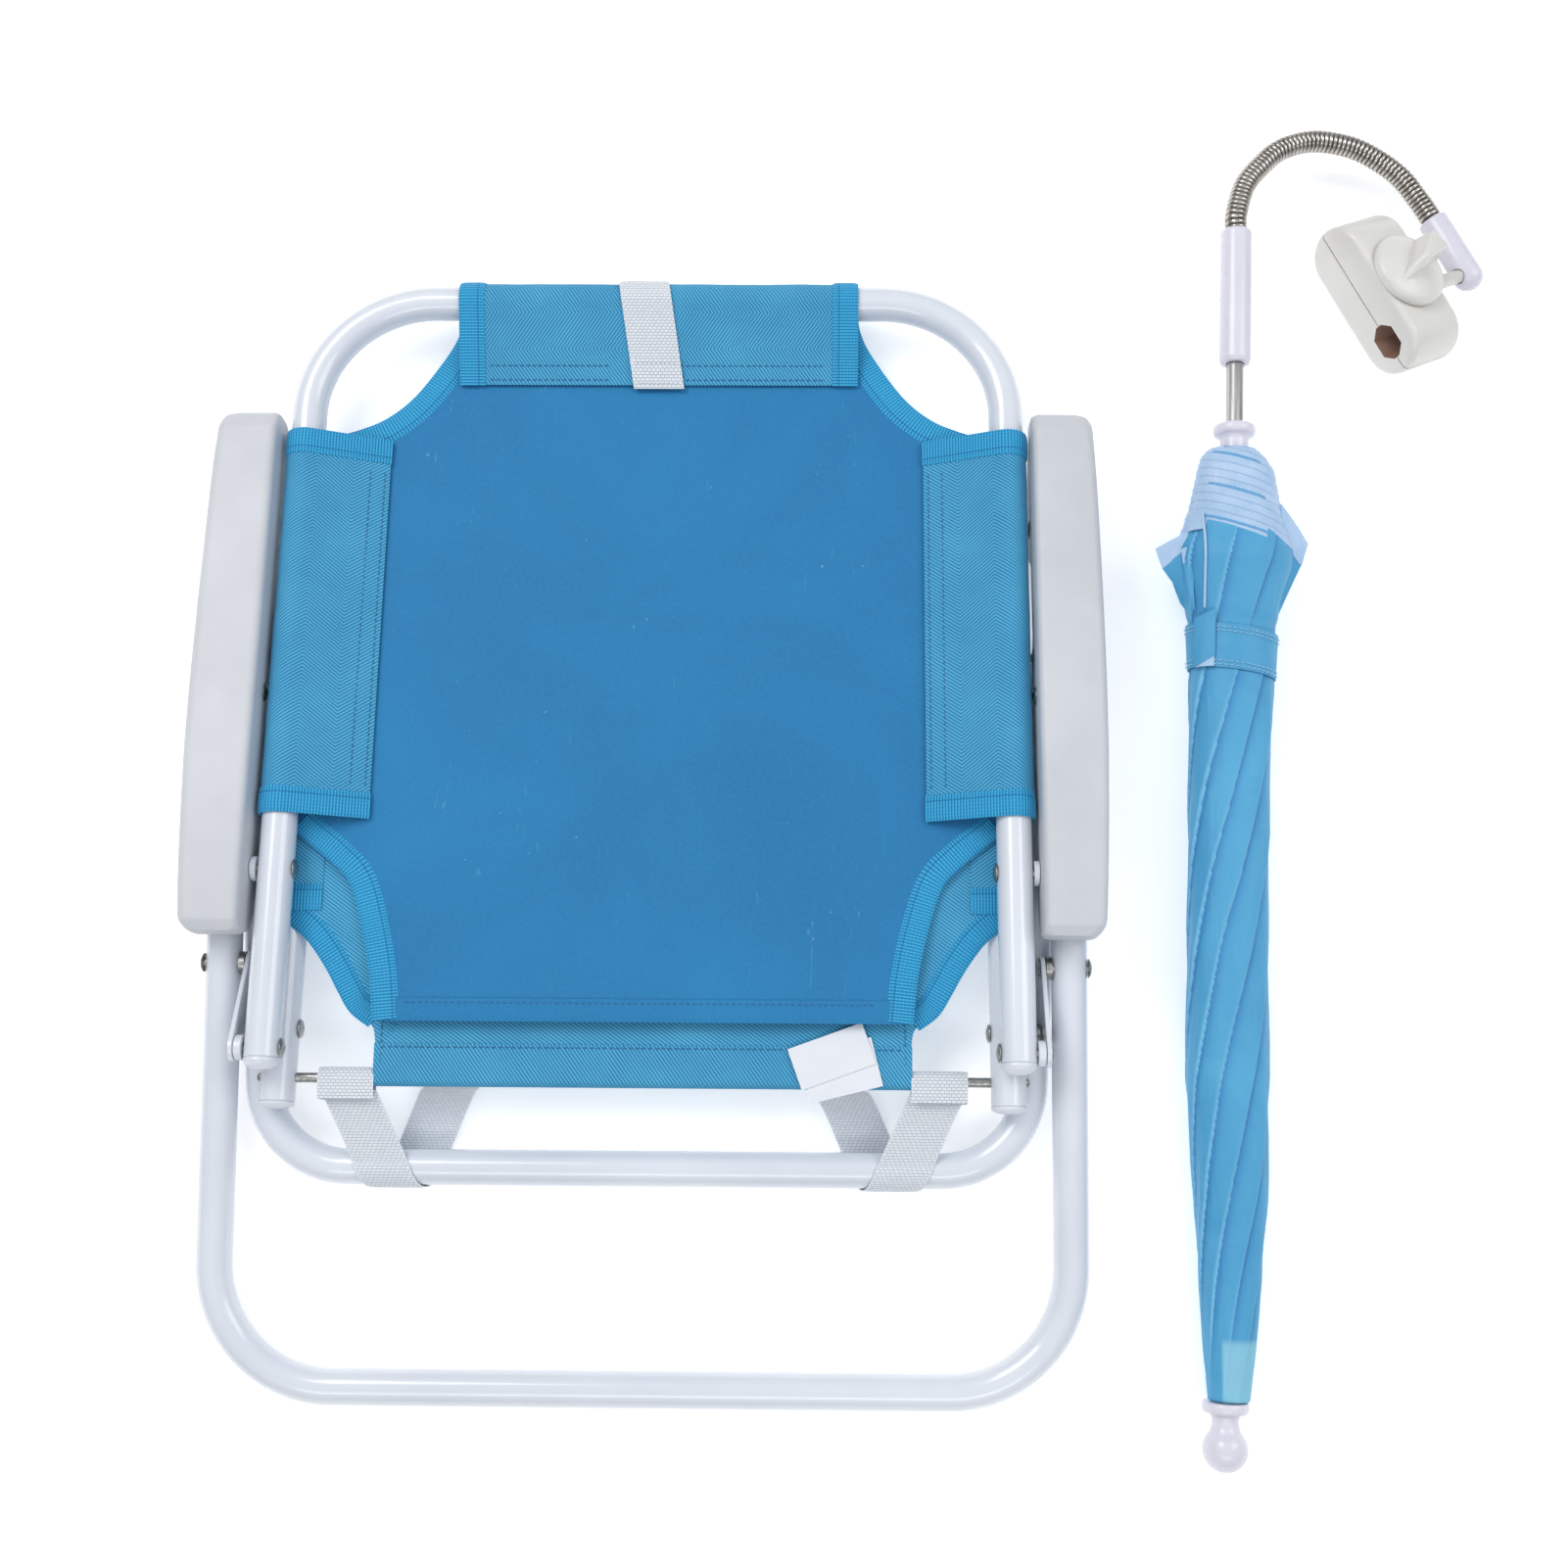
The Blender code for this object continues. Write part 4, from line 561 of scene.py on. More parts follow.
def open_tube(path, radius, wall=1.0 * MM, depth=12 * MM, segs=36):
    """A steel tube whose ends are open: the bore is modelled for a short way."""
    P = [Vector(p) for p in path]
    start, end = (P[0] - P[1]).normalized(), (P[-1] - P[-2]).normalized()
    chain = [P[0] - start * depth, P[0] - start * 0.4 * MM, P[0]] + [P[0] - start * 0.35 * MM]
    rads = [radius - wall, radius - wall, radius - 0.6 * wall, radius]
    # built as one sweep, with rings set inside each end ring for the bore
    out_v, out_f = [], []

    def add(v, f):
        k = sum(len(x) for x in out_v)
        out_v.append(v)
        out_f.extend([tuple(i + k for i in g) for g in f])

    v, f, a = sweep(P, radius, segs)
    body = f[:-2]
    add(v, body)
    n = len(P)
    for tip, d, ring in ((P[0], start, 0), (P[-1], end, n - 1)):
        base = v[ring * segs:(ring + 1) * segs]
        centre = np.array(tip)
        d = np.array(d)
        inner = [centre + (base - centre) * k + d * z for k, z in
                 (((radius - 0.3 * wall) / radius, 0.25 * MM), ((radius - 0.75 * wall) / radius, 0.2 * MM),
                  ((radius - wall) / radius, -0.3 * MM), ((radius - wall) / radius, -depth))]
        k0 = sum(len(x) for x in out_v)
        out_v.extend(inner)
        rings = [list(range(ring * segs, (ring + 1) * segs))] + [list(range(k0 + q * segs, k0 + (q + 1) * segs)) for q in range(4)]
        for r0, r1 in zip(rings, rings[1:]):
            for j in range(segs):
                q = (r0[j], r1[j], r1[(j + 1) % segs], r0[(j + 1) % segs])
                out_f.append(q if ring == 0 else q[::-1])
        out_f.append(tuple(rings[-1]) if ring == 0 else tuple(rings[-1])[::-1])
    verts = np.concatenate(out_v)
    return verts, out_f


def basis(direction, up=None):
    z = Vector(direction).normalized()
    x = Vector(up) if up is not None else (Vector((1, 0, 0)) if abs(z.x) < 0.9 else Vector((0, 1, 0)))
    x = (x - z * x.dot(z)).normalized()
    return Matrix((x, z.cross(x), z)).transposed().to_4x4()


def rounded(profile, radius, steps=4):
    """Rounds the corners of an open line of (a, b) points."""
    p = [np.asarray(q, float) for q in profile]
    out = [p[0]]
    for a, b, c in zip(p, p[1:], p[2:]):
        u, w = a - b, c - b
        lu, lw = np.linalg.norm(u), np.linalg.norm(w)
        if lu < 1e-9 or lw < 1e-9:
            continue
        r = min(radius, 0.45 * lu, 0.45 * lw)
        s, e = b + u / lu * r, b + w / lw * r
        for k in range(steps + 1):
            t = k / steps
            out.append((1 - t) ** 2 * s + 2 * t * (1 - t) * b + t * t * e)
    out.append(p[-1])
    return out


def lathe(profile, start, direction, sides=40, up=None, flatten=1.0, corner=0.0, loop=False):
    """A turned shape; profile is (radius, distance) from the far end to the near one."""
    prof = rounded(profile, corner) if corner else profile
    prof = np.asarray(prof, float)
    m = Matrix.Translation(start) @ basis(direction, up)
    ang = np.linspace(0, 2 * math.pi, sides, endpoint=False)
    v = np.stack([prof[:, :1] * np.cos(ang)[None], flatten * prof[:, :1] * np.sin(ang)[None], np.broadcast_to(prof[:, 1:], (len(prof), sides))], -1).reshape(-1, 3)
    mm = np.array(m)
    v = v @ mm[:3, :3].T + mm[:3, 3]
    f = grid_faces(len(prof), sides, wrap=True, flip=False)
    f = [q[::-1] for q in f]
    if loop:
        k = (len(prof) - 1) * sides
        f += [(j, (j + 1) % sides, k + (j + 1) % sides, k + j)[::-1] for j in range(sides)]
        f = [q for q in f]
    return v, f


def weld(ob, dist=0.00001):
    bm = bmesh.new()
    bm.from_mesh(ob.data)
    bmesh.ops.remove_doubles(bm, verts=bm.verts, dist=dist)
    bmesh.ops.dissolve_degenerate(bm, edges=bm.edges, dist=dist * 0.5)
    bmesh.ops.recalc_face_normals(bm, faces=bm.faces)
    if bm.calc_volume(signed=True) < 0:
        bmesh.ops.reverse_faces(bm, faces=bm.faces)
    bm.to_mesh(ob.data)
    bm.free()
    return ob


def turned(name, profile, start, direction, mat, body, nodes=(), sides=40, up=None, flatten=1.0, corner=0.0, place=WORLD, slot=None, angle=38.0, loop=False):
    v, f = lathe(profile, start, direction, sides, up, flatten, corner, loop)
    ob = piece(name, v, f, mat, body, place, nodes, slot, angle=None)
    weld(ob)
    ob.data.shade_smooth()
    ob.data.set_sharp_from_angle(angle=math.radians(angle))
    return ob


def tool(bm):
    me = bpy.data.meshes.new("tool")
    bmesh.ops.recalc_face_normals(bm, faces=bm.faces)
    if bm.calc_volume(signed=True) < 0:
        bmesh.ops.reverse_faces(bm, faces=bm.faces)
    bm.to_mesh(me)
    bm.free()
    ob = bpy.data.objects.new("tool", me)
    bpy.context.scene.collection.objects.link(ob)
    return ob


def boolean(ob, bm, operation="DIFFERENCE"):
    """One exact Boolean on a mesh whose object sits at the origin."""
    t = tool(bm)
    mod = ob.modifiers.new("b", "BOOLEAN")
    mod.operation, mod.solver, mod.object = operation, "EXACT", t
    bpy.context.view_layer.update()
    dg = bpy.context.evaluated_depsgraph_get()
    new = bpy.data.meshes.new_from_object(ob.evaluated_get(dg), depsgraph=dg)
    ob.modifiers.clear()
    old, me = ob.data, t.data
    ob.data = new
    bpy.data.meshes.remove(old)
    bpy.data.objects.remove(t, do_unlink=True)
    bpy.data.meshes.remove(me)
    return ob


def prism(outline, place, d0, d1):
    bm = bmesh.new()
    low = [bm.verts.new(place(a, b, d0)) for a, b in outline]
    top = [bm.verts.new(place(a, b, d1)) for a, b in outline]
    n = len(outline)
    bm.faces.new(low)
    bm.faces.new(top[::-1])
    for i in range(n):
        bm.faces.new((low[i], low[(i + 1) % n], top[(i + 1) % n], top[i]))
    return bm


def bar(start, direction, length, radius, sides=24, up=None):
    bm = bmesh.new()
    bmesh.ops.create_cone(bm, cap_ends=True, segments=sides, radius1=radius, radius2=radius, depth=length)
    bm.transform(Matrix.Translation(start) @ basis(direction, up) @ Matrix.Translation((0, 0, length / 2)))
    return bm


def rounded_prism(outline, place, d0, d1, r, steps=5):
    """An outline swept from d0 to d1 with both rims rounded by r."""
    P = np.asarray(outline, float)
    n = len(P)
    t = np.roll(P, -1, 0) - np.roll(P, 1, 0)
    t /= np.linalg.norm(t, axis=1, keepdims=True)
    area = 0.5 * np.sum(P[:, 0] * np.roll(P[:, 1], -1) - np.roll(P[:, 0], -1) * P[:, 1])
    inward = np.stack([-t[:, 1], t[:, 0]], 1) * (1 if area > 0 else -1)
    rings = []
    for k in range(steps + 1):
        a = math.pi / 2 * k / steps
        rings.append((d0 + r * (1 - math.cos(a)), r * (1 - math.sin(a))))
    for k in range(steps + 1):
        a = math.pi / 2 * (1 - k / steps)
        rings.append((d1 - r * (1 - math.cos(a)), r * (1 - math.sin(a))))
    bm = bmesh.new()
    rows = [[bm.verts.new(place(*(P[i] + inward[i] * inset), d)) for i in range(n)] for d, inset in rings]
    bm.faces.new(rows[0])
    bm.faces.new(rows[-1][::-1])
    for r0, r1 in zip(rows, rows[1:]):
        for i in range(n):
            bm.faces.new((r0[i], r0[(i + 1) % n], r1[(i + 1) % n], r1[i]))
    return bm


def from_bmesh(name, bm):
    me = bpy.data.meshes.new(name)
    bmesh.ops.recalc_face_normals(bm, faces=bm.faces)
    if bm.calc_volume(signed=True) < 0:
        bmesh.ops.reverse_faces(bm, faces=bm.faces)
    bm.to_mesh(me)
    bm.free()
    ob = bpy.data.objects.new(name, me)
    bpy.context.scene.collection.objects.link(ob)
    return ob


def done(ob, mat, body, place=WORLD, nodes=(), slot=None, angle=35.0, extra=()):
    ob.data.transform(place)
    if place.determinant() < 0:
        ob.data.flip_normals()
    ob.data.materials.clear()
    for m_ in (mat, *extra):
        ob.data.materials.append(m_)
    ob.data.shade_smooth()
    ob.data.set_sharp_from_angle(angle=math.radians(angle))
    return settle(ob, mat, body, nodes, slot)


def stitches(name, lines, mat, body, place=WORLD, pitch=2.9 * MM, length=2.1 * MM, r=0.26 * MM, rise=0.22 * MM, slot=None):
    """Rows of short threads along lines of points, each a little arch."""
    vs, fs = [], []
    for line in lines:
        line = np.asarray(line, float)
        run = np.concatenate([[0.0], np.cumsum(np.linalg.norm(np.diff(line[:, :3], axis=0), axis=1))])
        up = line[:, 3:6] if line.shape[1] > 3 else np.broadcast_to((0.0, 0.0, 1.0), (len(line), 3))
        s = 0.5 * pitch
        while s + length < run[-1]:
            at = np.array([s, s + 0.25 * length, s + 0.5 * length, s + 0.75 * length, s + length])
            p = np.stack([np.interp(at, run, line[:, k]) for k in range(3)], 1)
            n = np.stack([np.interp(at, run, up[:, k]) for k in range(3)], 1)
            p = p + n * (rise * np.array([-0.6, 0.7, 1.0, 0.7, -0.6]))[:, None]
            d = p[-1] - p[0]
            d /= np.linalg.norm(d)
            side = np.cross(d, n[2])
            side /= np.linalg.norm(side)
            k0 = len(vs)
            for q, rr in zip(p, (0.5, 1.0, 1.05, 1.0, 0.5)):
                for c, h in ((1, 0), (0.5, 0.8), (-0.5, 0.8), (-1, 0), (-0.5, -0.8), (0.5, -0.8)):
                    vs.append(q + side * c * r * rr + n[2] * h * r * rr)
            fs += grid_faces(5, 6, k0, wrap=True)
            fs += [tuple(range(k0, k0 + 6))[::-1], tuple(range(k0 + 24, k0 + 30))]
            s += pitch
    return piece(name, np.array(vs), fs, mat, body, place, slot=slot, angle=70)


def cad(node, mat, smooth=30.0, bevel=0.0):
    """Gives a CAD node its real material and, where it helps, a soft edge."""
    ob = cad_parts[node]
    ob.data.materials.clear()
    ob.data.materials.append(mat)
    w = ob.modifiers.new("weld", "WELD")
    w.merge_threshold = 0.00001
    if bevel:
        b = ob.modifiers.new("edge", "BEVEL")
        b.width, b.segments, b.limit_method, b.angle_limit = bevel, 2, "ANGLE", math.radians(40)
        b.harden_normals = False
    ob.data.shade_smooth()
    ob.data.set_sharp_from_angle(angle=math.radians(smooth))
    return ob


# ---------------------------------------------------------------- tube frames
seat_plate, seat_front = local(SEAT, P_PLATE_SEAT), local(SEAT, SEAT_FRONT)
seat_z = seat_plate[1]
seat_tail_y = seat_plate[0] - SEAT_TAIL
rod_y = seat_plate[0] + (ROD_Y - P_PLATE_SEAT[0])
rear_p2, rear_p4 = local(REAR, P_REAR_LEG), local(REAR, P_PLATE_LEG)
front_bar, front_p8 = local(FRONT, FRONT_BAR), local(FRONT, P_SEAT_LEG)
back_plate = local(BACK, P_PLATE_BACK)


def front_x(y):
    return FRONT_X_TOP + (FRONT_X_BAR - FRONT_X_TOP) * y / front_bar[0]


def u_frame(name, corners, radii, place, body, node):
    path = fillet(corners, radii, 28)
    v, f = open_tube(path, TUBE_R)
    ob = piece(name, v, f, M_TUBE, body, place, (node,), angle=None)
    weld(ob)
    ob.data.shade_smooth()
    ob.data.set_sharp_from_angle(angle=math.radians(50))
    return ob


u_frame("back_tube", [(-BACK_X, -BACK_TAIL, 0), (-BACK_X, BACK_LEN, 0), (BACK_X, BACK_LEN, 0), (BACK_X, -BACK_TAIL, 0)],
        (58 * MM, 58 * MM), BACK, "backrest", "back_frame")
u_frame("seat_tube", [(-SEAT_X, seat_tail_y, seat_z), (-SEAT_X, seat_front[0], seat_z), (SEAT_X, seat_front[0], seat_z), (SEAT_X, seat_tail_y, seat_z)],
        (38 * MM, 38 * MM), SEAT, "seat", "seat_frame")
rear_end = rear_p2[0] + 9 * MM
u_frame("rear_leg_tube", [(-REAR_X, rear_end, 0), (-REAR_X, 0, 0), (REAR_X, 0, 0), (REAR_X, rear_end, 0)],
        (54 * MM, 54 * MM), REAR, "rear_legs", "rear_leg_frame")
fe = 9 * MM
u_frame("front_leg_tube", [(-front_x(fe), fe, 0), (-front_x(front_bar[0]), front_bar[0], 0), (front_x(front_bar[0]), front_bar[0], 0), (front_x(fe), fe, 0)],
        (40 * MM, 40 * MM), FRONT, "front_legs", "front_leg_frame")

SIDES = (("left", -1.0), ("right", 1.0))
for side, s in SIDES:
    prof = [(0.0, 1.1 * MM), (6.3 * MM, 1.1 * MM), (6.3 * MM, -0.3 * MM), (7.7 * MM, -0.3 * MM), (8.0 * MM, -0.7 * MM), (8.0 * MM, -2.0 * MM), (7.55 * MM, -2.35 * MM)]
    prof += [(7.55 * MM * math.cos(a), -2.35 * MM - 3.2 * MM * math.sin(a)) for a in np.linspace(0.15, 1.5, 10)]
    prof += [(0.0, -5.56 * MM)]
    turned("back_cap_" + side, prof, (s * BACK_X, -BACK_TAIL, 0), (0, 1, 0), M_CAP, "backrest", ("back_frame_cap_" + side,), 40, place=BACK)
    prof = [(0.0, 3.0 * MM), (6.3 * MM, 3.0 * MM), (6.3 * MM, -0.3 * MM), (7.7 * MM, -0.3 * MM), (8.0 * MM, -0.6 * MM)]
    prof += [(8.0 * MM * math.cos(a), -1.1 * MM - 2.4 * MM * math.sin(a)) for a in np.linspace(0.0, 1.45, 8)]
    prof += [(0.0, -3.48 * MM)]
    turned("seat_cap_" + side, prof, (s * SEAT_X, seat_tail_y, seat_z), (0, 1, 0), M_CAP, "seat", ("seat_frame_cap_" + side,), 40, place=SEAT)

half_rod = SEAT_X + TUBE_R + 1.2 * MM
v, f, a = sweep([(-half_rod, rod_y, seat_z), (-half_rod + 0.5 * MM, rod_y, seat_z), (-half_rod + 1.2 * MM, rod_y, seat_z)]
                + [(x, rod_y, seat_z) for x in np.linspace(-half_rod + 3 * MM, half_rod - 3 * MM, 30)]
                + [(half_rod - 1.2 * MM, rod_y, seat_z), (half_rod - 0.5 * MM, rod_y, seat_z), (half_rod, rod_y, seat_z)],
                np.array([0.6, 0.85, 1.0] + [1.0] * 30 + [1.0, 0.85, 0.6]) * ROD_R, 24)
piece("cross_rod", v, f, M_ZINC, "seat", SEAT, ("seat_cross_rod",), attrs=a)


# ---------------------------------------------------------------- rivets, bushings, plates
def dome(r, h, z, steps=8):
    return [(r * math.sin(math.pi / 2 * k / steps), z + h * math.cos(math.pi / 2 * k / steps)) for k in range(steps + 1)]


def rivet(name, at, body, place, sgn, x0, x1, head0, head1, head_h, collar=None):
    head_r, shank = 4.3 * MM, 2.0 * MM
    prof = []
    if head1:
        # a pressed head has a shallow dimple in its middle
        prof += [(0.0, x1 + head_h * 0.72), (1.1 * MM, x1 + head_h * 0.74), (1.7 * MM, x1 + head_h * 0.98)]
        prof += dome(head_r, head_h, x1)[4:] + [(shank, x1)]
    else:
        prof += [(0.0, x1), (shank, x1)]
    if collar:
        c0, c1, cr = collar
        if c1 < x1:
            prof += [(shank, c1), (cr, c1)]
        else:
            prof = [(0.0, c1), (cr, c1)]
        prof += [(cr, c0), (shank, c0)]
    prof += [(shank, x0)]
    if head0:
        low = [(0.0, x1 + head_h * 0.72), (1.1 * MM, x1 + head_h * 0.74), (1.7 * MM, x1 + head_h * 0.98)]
        low = [(r, x0 - (z - x1)) for r, z in low] + [(r, 2 * x0 - z) for r, z in dome(head_r, head_h, x0)[4:]]
        prof += low[::-1]
    else:
        prof += [(0.0, x0)]
    return turned(name, prof, (0.0, at[0], at[1]), (sgn, 0, 0), M_ZINC, body, (name.replace("_steel", ""),), 32, place=place)


def bush(name, at, body, place, sgn, x0, x1, r_out=5.6 * MM, r_in=2.5 * MM):
    e = 0.35 * MM
    prof = [(r_in, x1), (r_out - e, x1), (r_out, x1 - e), (r_out, x0 + e), (r_out - e, x0), (r_in, x0)]
    return turned(name, prof, (0.0, at[0], at[1]), (sgn, 0, 0), M_CAP, body, (name.replace("_white", ""),), 36, place=place, loop=True)


arm_p3, arm_p1 = local(ARMS, P_BACK), local(ARMS, P_FRONT_LEG)
GAP = 0.3 * MM
for side, s in SIDES:
    inner_x, outer_x = ARM_X0 - GAP, ARM_X0 + 25.9 * MM
    rivet("rear_leg_rivet_" + side + "_steel", (0.0, 0.0), "armrests", ARMS, s, inner_x, outer_x, True, False, 1.1 * MM)
    rivet("front_leg_rivet_" + side + "_steel", arm_p1, "armrests", ARMS, s, inner_x, outer_x, True, False, 1.1 * MM)
    rivet("back_pivot_rivet_" + side + "_steel", (0.0, 0.0), "backrest", BACK, s, BACK_X - TUBE_R - GAP, ARM_X0 + ARM_WALL + GAP, True, True, 1.4 * MM)
    bush("back_pivot_bushing_" + side + "_white", (0.0, 0.0), "backrest", BACK, s, BACK_X + TUBE_R + GAP, ARM_X0 - GAP)
    c1, c2 = local(PLATES, P_PLATE_LEG), local(PLATES, P_PLATE_SEAT)
    rivet("plate_back_rivet_" + side + "_steel", back_plate, "backrest", BACK, s, BACK_X - TUBE_R - GAP, PLATE_X1 + GAP, True, True, 1.3 * MM)
    bush("plate_back_bushing_" + side + "_white", back_plate, "backrest", BACK, s, BACK_X + TUBE_R + GAP, PLATE_X0 - GAP)
    rivet("plate_leg_rivet_" + side + "_steel", rear_p4, "rear_legs", REAR, s, PLATE_X1 + 0.5 * MM, REAR_X + TUBE_R + GAP, False, True, 1.4 * MM,
          (PLATE_X1 + 0.5 * MM, REAR_X - TUBE_R - GAP, 5.2 * MM))
    rivet("plate_leg_rivet_head_" + side + "_steel", c1, "hinge_plates", PLATES, s, PLATE_X0 - GAP, PLATE_X1 + 0.1 * MM, True, False, 1.3 * MM)
    rivet("plate_seat_rivet_" + side + "_steel", seat_plate, "seat", SEAT, s, SEAT_X - TUBE_R - GAP, PLATE_X0 - 0.5 * MM, True, False, 1.3 * MM,
          (SEAT_X + TUBE_R + GAP, PLATE_X0 - 0.5 * MM, 4.8 * MM))
    rivet("plate_seat_rivet_head_" + side + "_steel", c2, "hinge_plates", PLATES, s, PLATE_X0 - 0.1 * MM, PLATE_X1 + GAP, False, True, 1.3 * MM)
    x_leg = front_x(front_p8[0])
    rivet("seat_leg_rivet_" + side + "_steel", (0.0, 0.0), "seat", SEAT, s, SEAT_X - TUBE_R - GAP, x_leg + TUBE_R + 0.7 * MM, True, True, 1.3 * MM,
          (SEAT_X + TUBE_R + GAP, x_leg - TUBE_R - 0.6 * MM, 4.6 * MM))
    # hinge plate: three round ends joined by their tangents, edges broken
    centres = [(local(PLATES, P_PLATE_BACK), 6.2), (c1, 5.2), (c2, 5.2)]
    bm = bmesh.new()
    for (y, z), r in centres:
        for k in range(48):
            q = 2 * math.pi * k / 48
            bm.verts.new((0.0, y + r * MM * math.cos(q), z + r * MM * math.sin(q)))
    bmesh.ops.convex_hull(bm, input=bm.verts)
    hull = sorted(((w.co.y, w.co.z) for w in bm.verts if w.link_faces), key=lambda p: math.atan2(p[1] + 12 * MM, p[0] - 15 * MM))
    bm.free()
    plate = from_bmesh("hinge_plate_steel_" + side, rounded_prism(hull, lambda p, q, d: Vector((s * d, p, q)), PLATE_X0, PLATE_X1, 0.35 * MM, 3))
    for (y, z), r in centres:
        boolean(plate, bar((s * (PLATE_X0 - 0.003), y, z), (s, 0, 0), 0.008, 2.35 * MM))
    done(plate, M_TUBE, "hinge_plates", PLATES, ("hinge_plate_" + side,))


# ---------------------------------------------------------------- armrests
ARM_TOP = [(-112, 9.0), (-111.5, 13.5), (-107, 16.6), (-90, 17.6), (-60, 17.9), (-30, 17.6), (0, 16.6),
           (30, 15.4), (60, 14.6), (90, 14.4), (112, 14.2), (126, 13.0), (133, 9.5), (136, 4.0)]
ARM_LOW = [(-112, 4.0), (-109, -4.0), (-100, -9.0), (-60, -8.5), (0, -8.5), (30, -8.0), (66, -9.0), (70, -16.0), (75, -22.5),
           (85, -24.5), (97, -23.5), (108, -19.0), (122, -13.0), (132, -8.0), (135.5, -2.0), (136, 1.0)]


def arm_bulge(y):
    t = (y + 112) / 248
    return 3.0 * math.sin(math.pi * min(max(t, 0), 1)) ** 0.8 - 2.0 * max(0.0, 0.35 - t)


def arm_section(y, n=9):
    """Section of the armrest at y, in millimetres: (x from its inner side, z)."""
    top = np.interp(y, [p[0] for p in ARM_TOP], [p[1] for p in ARM_TOP])
    low = np.interp(y, [p[0] for p in ARM_LOW], [p[1] for p in ARM_LOW])
    end = min(y + 112.0, 136.0 - y)
    rc = 8.5
    out_in = rc - math.sqrt(max(0.0, rc * rc - max(0.0, rc - end) ** 2)) if end < rc else 0.0
    ri = 3.0
    in_in = ri - math.sqrt(max(0.0, ri * ri - max(0.0, ri - end) ** 2)) if end < ri else 0.0
    x0, x1 = in_in, 27.6 + arm_bulge(y) - out_in * 0.8
    h = top - low
    ro, rn, rl = min(5.2, 0.45 * h), min(3.6, 0.4 * h), min(1.2, 0.2 * h)
    pts = []
    for cx, cz, r, a0 in ((x0 + rl, low + rl, rl, 180), (x1 - rl, low + rl, rl, 270), (x1 - ro, top - ro, ro, 0), (x0 + rn, top - rn, rn, 90)):
        for k in range(n + 1):
            a = math.radians(a0 + 90 * k / n)
            pts.append((cx + r * math.cos(a), cz + r * math.sin(a)))
    return pts


arm_inner = [(-109.3, -30), (-109.3, 8.0), (-105, 13.8), (-90, 15.0), (-60, 15.4), (-30, 15.1), (0, 14.2),
             (30, 13.0), (60, 12.1), (90, 11.9), (112, 11.7), (124, 10.0), (130.5, 7.0), (133, 3.0), (132.6, -2.5), (129, -30)]
for side, s in SIDES:
    ys = np.unique(np.concatenate([-112 + 12 * (np.linspace(0, 1, 22) ** 1.8), np.linspace(-100, 124, 130), 136 - 12 * (np.linspace(0, 1, 22) ** 1.8)]))
    rings = [[(s * (ARM_X0 + x * MM), y * MM, z * MM) for x, z in arm_section(y)] for y in ys]
    n = len(rings[0])
    v = np.array(rings).reshape(-1, 3)
    f = grid_faces(len(ys), n, wrap=True) + [tuple(range(n))[::-1], tuple(range((len(ys) - 1) * n, len(ys) * n))]
    me = bpy.data.meshes.new("armrest")
    me.from_pydata(v.tolist(), [], f)
    arm = bpy.data.objects.new("armrest_moulding_" + side, me)
    bpy.context.scene.collection.objects.link(arm)
    weld(arm)
    w = ARM_WALL
    boolean(arm, prism([(y * MM, z * MM) for y, z in smooth_line(arm_inner, 4.0)], lambda p, q, d: Vector((d, p, q)), s * (ARM_X0 + w), s * (ARM_X1 - w)))
    for y, z, reach in ((0.0, 0.0, 26.2), (arm_p1[0], arm_p1[1], 26.2)):
        boolean(arm, bar((s * (ARM_X0 - 0.004), y, z), (s, 0, 0), reach * MM + 0.004, 2.35 * MM))
    boolean(arm, bar((s * (ARM_X0 - 0.004), arm_p3[0], arm_p3[1]), (s, 0, 0), 0.010, 2.35 * MM))
    done(arm, M_ARM, "armrests", ARMS, ("armrest_" + side,), angle=32)


# ---------------------------------------------------------------- cloth of the back
def sleeve_path(centre, inner, r, side_z=1.0, edge=-5.9, step=1.6, tail=16.0):
    """Middle line (a, z) of a cloth sleeve in millimetres: up from its sewn edge,
    over the tube, down its outside and back under the panel."""
    sgn = 1.0 if centre > inner else -1.0
    p = np.array([abs(centre - inner), -edge])
    d = math.hypot(*p)
    face = math.pi + math.atan2(p[1], p[0])
    start = face - math.acos(r / d)
    pts = [(-p[0], edge)]
    arc = np.linspace(start, -math.pi / 2, 34)
    pts += [(r * math.cos(q), r * math.sin(q)) for q in arc]
    pts += [(-tail * 0.4, -r + 0.15), (-tail, -r + 0.5)]
    out = even_line(pts, step)
    return np.stack([centre + sgn * out[:, 0], side_z * out[:, 1]], 1) * MM


def cloth_strip(name, path, along, place2, half, mat, body, place, nodes=(), slot=None, ripple=0.0, seed=0.0, hold=None, u_from=None):
    """A sheet whose section is path (a, z) and that runs along a list of positions."""
    P = np.array([[place2(p[0], p[1], d) for p in path] for d in along])
    lift = np.zeros(P.shape[:2])
    if ripple:
        run = np.concatenate([[0.0], np.cumsum(np.linalg.norm(np.diff(path, axis=0), axis=1))])
        for i, d in enumerate(along):
            for j in range(len(path)):
                w = min(1.0, run[j] / 0.010)
                lift[i, j] = w * ripple * (0.6 * rnd(d, run[j] * 0.6, s=38.0, seed=seed) + 0.4 * rnd(d, run[j], s=110.0, seed=seed + 5))
    v, f, at, n = shell(P, half, lift=lift)
    return piece(name, v, f, mat, body, place, nodes, slot, at)


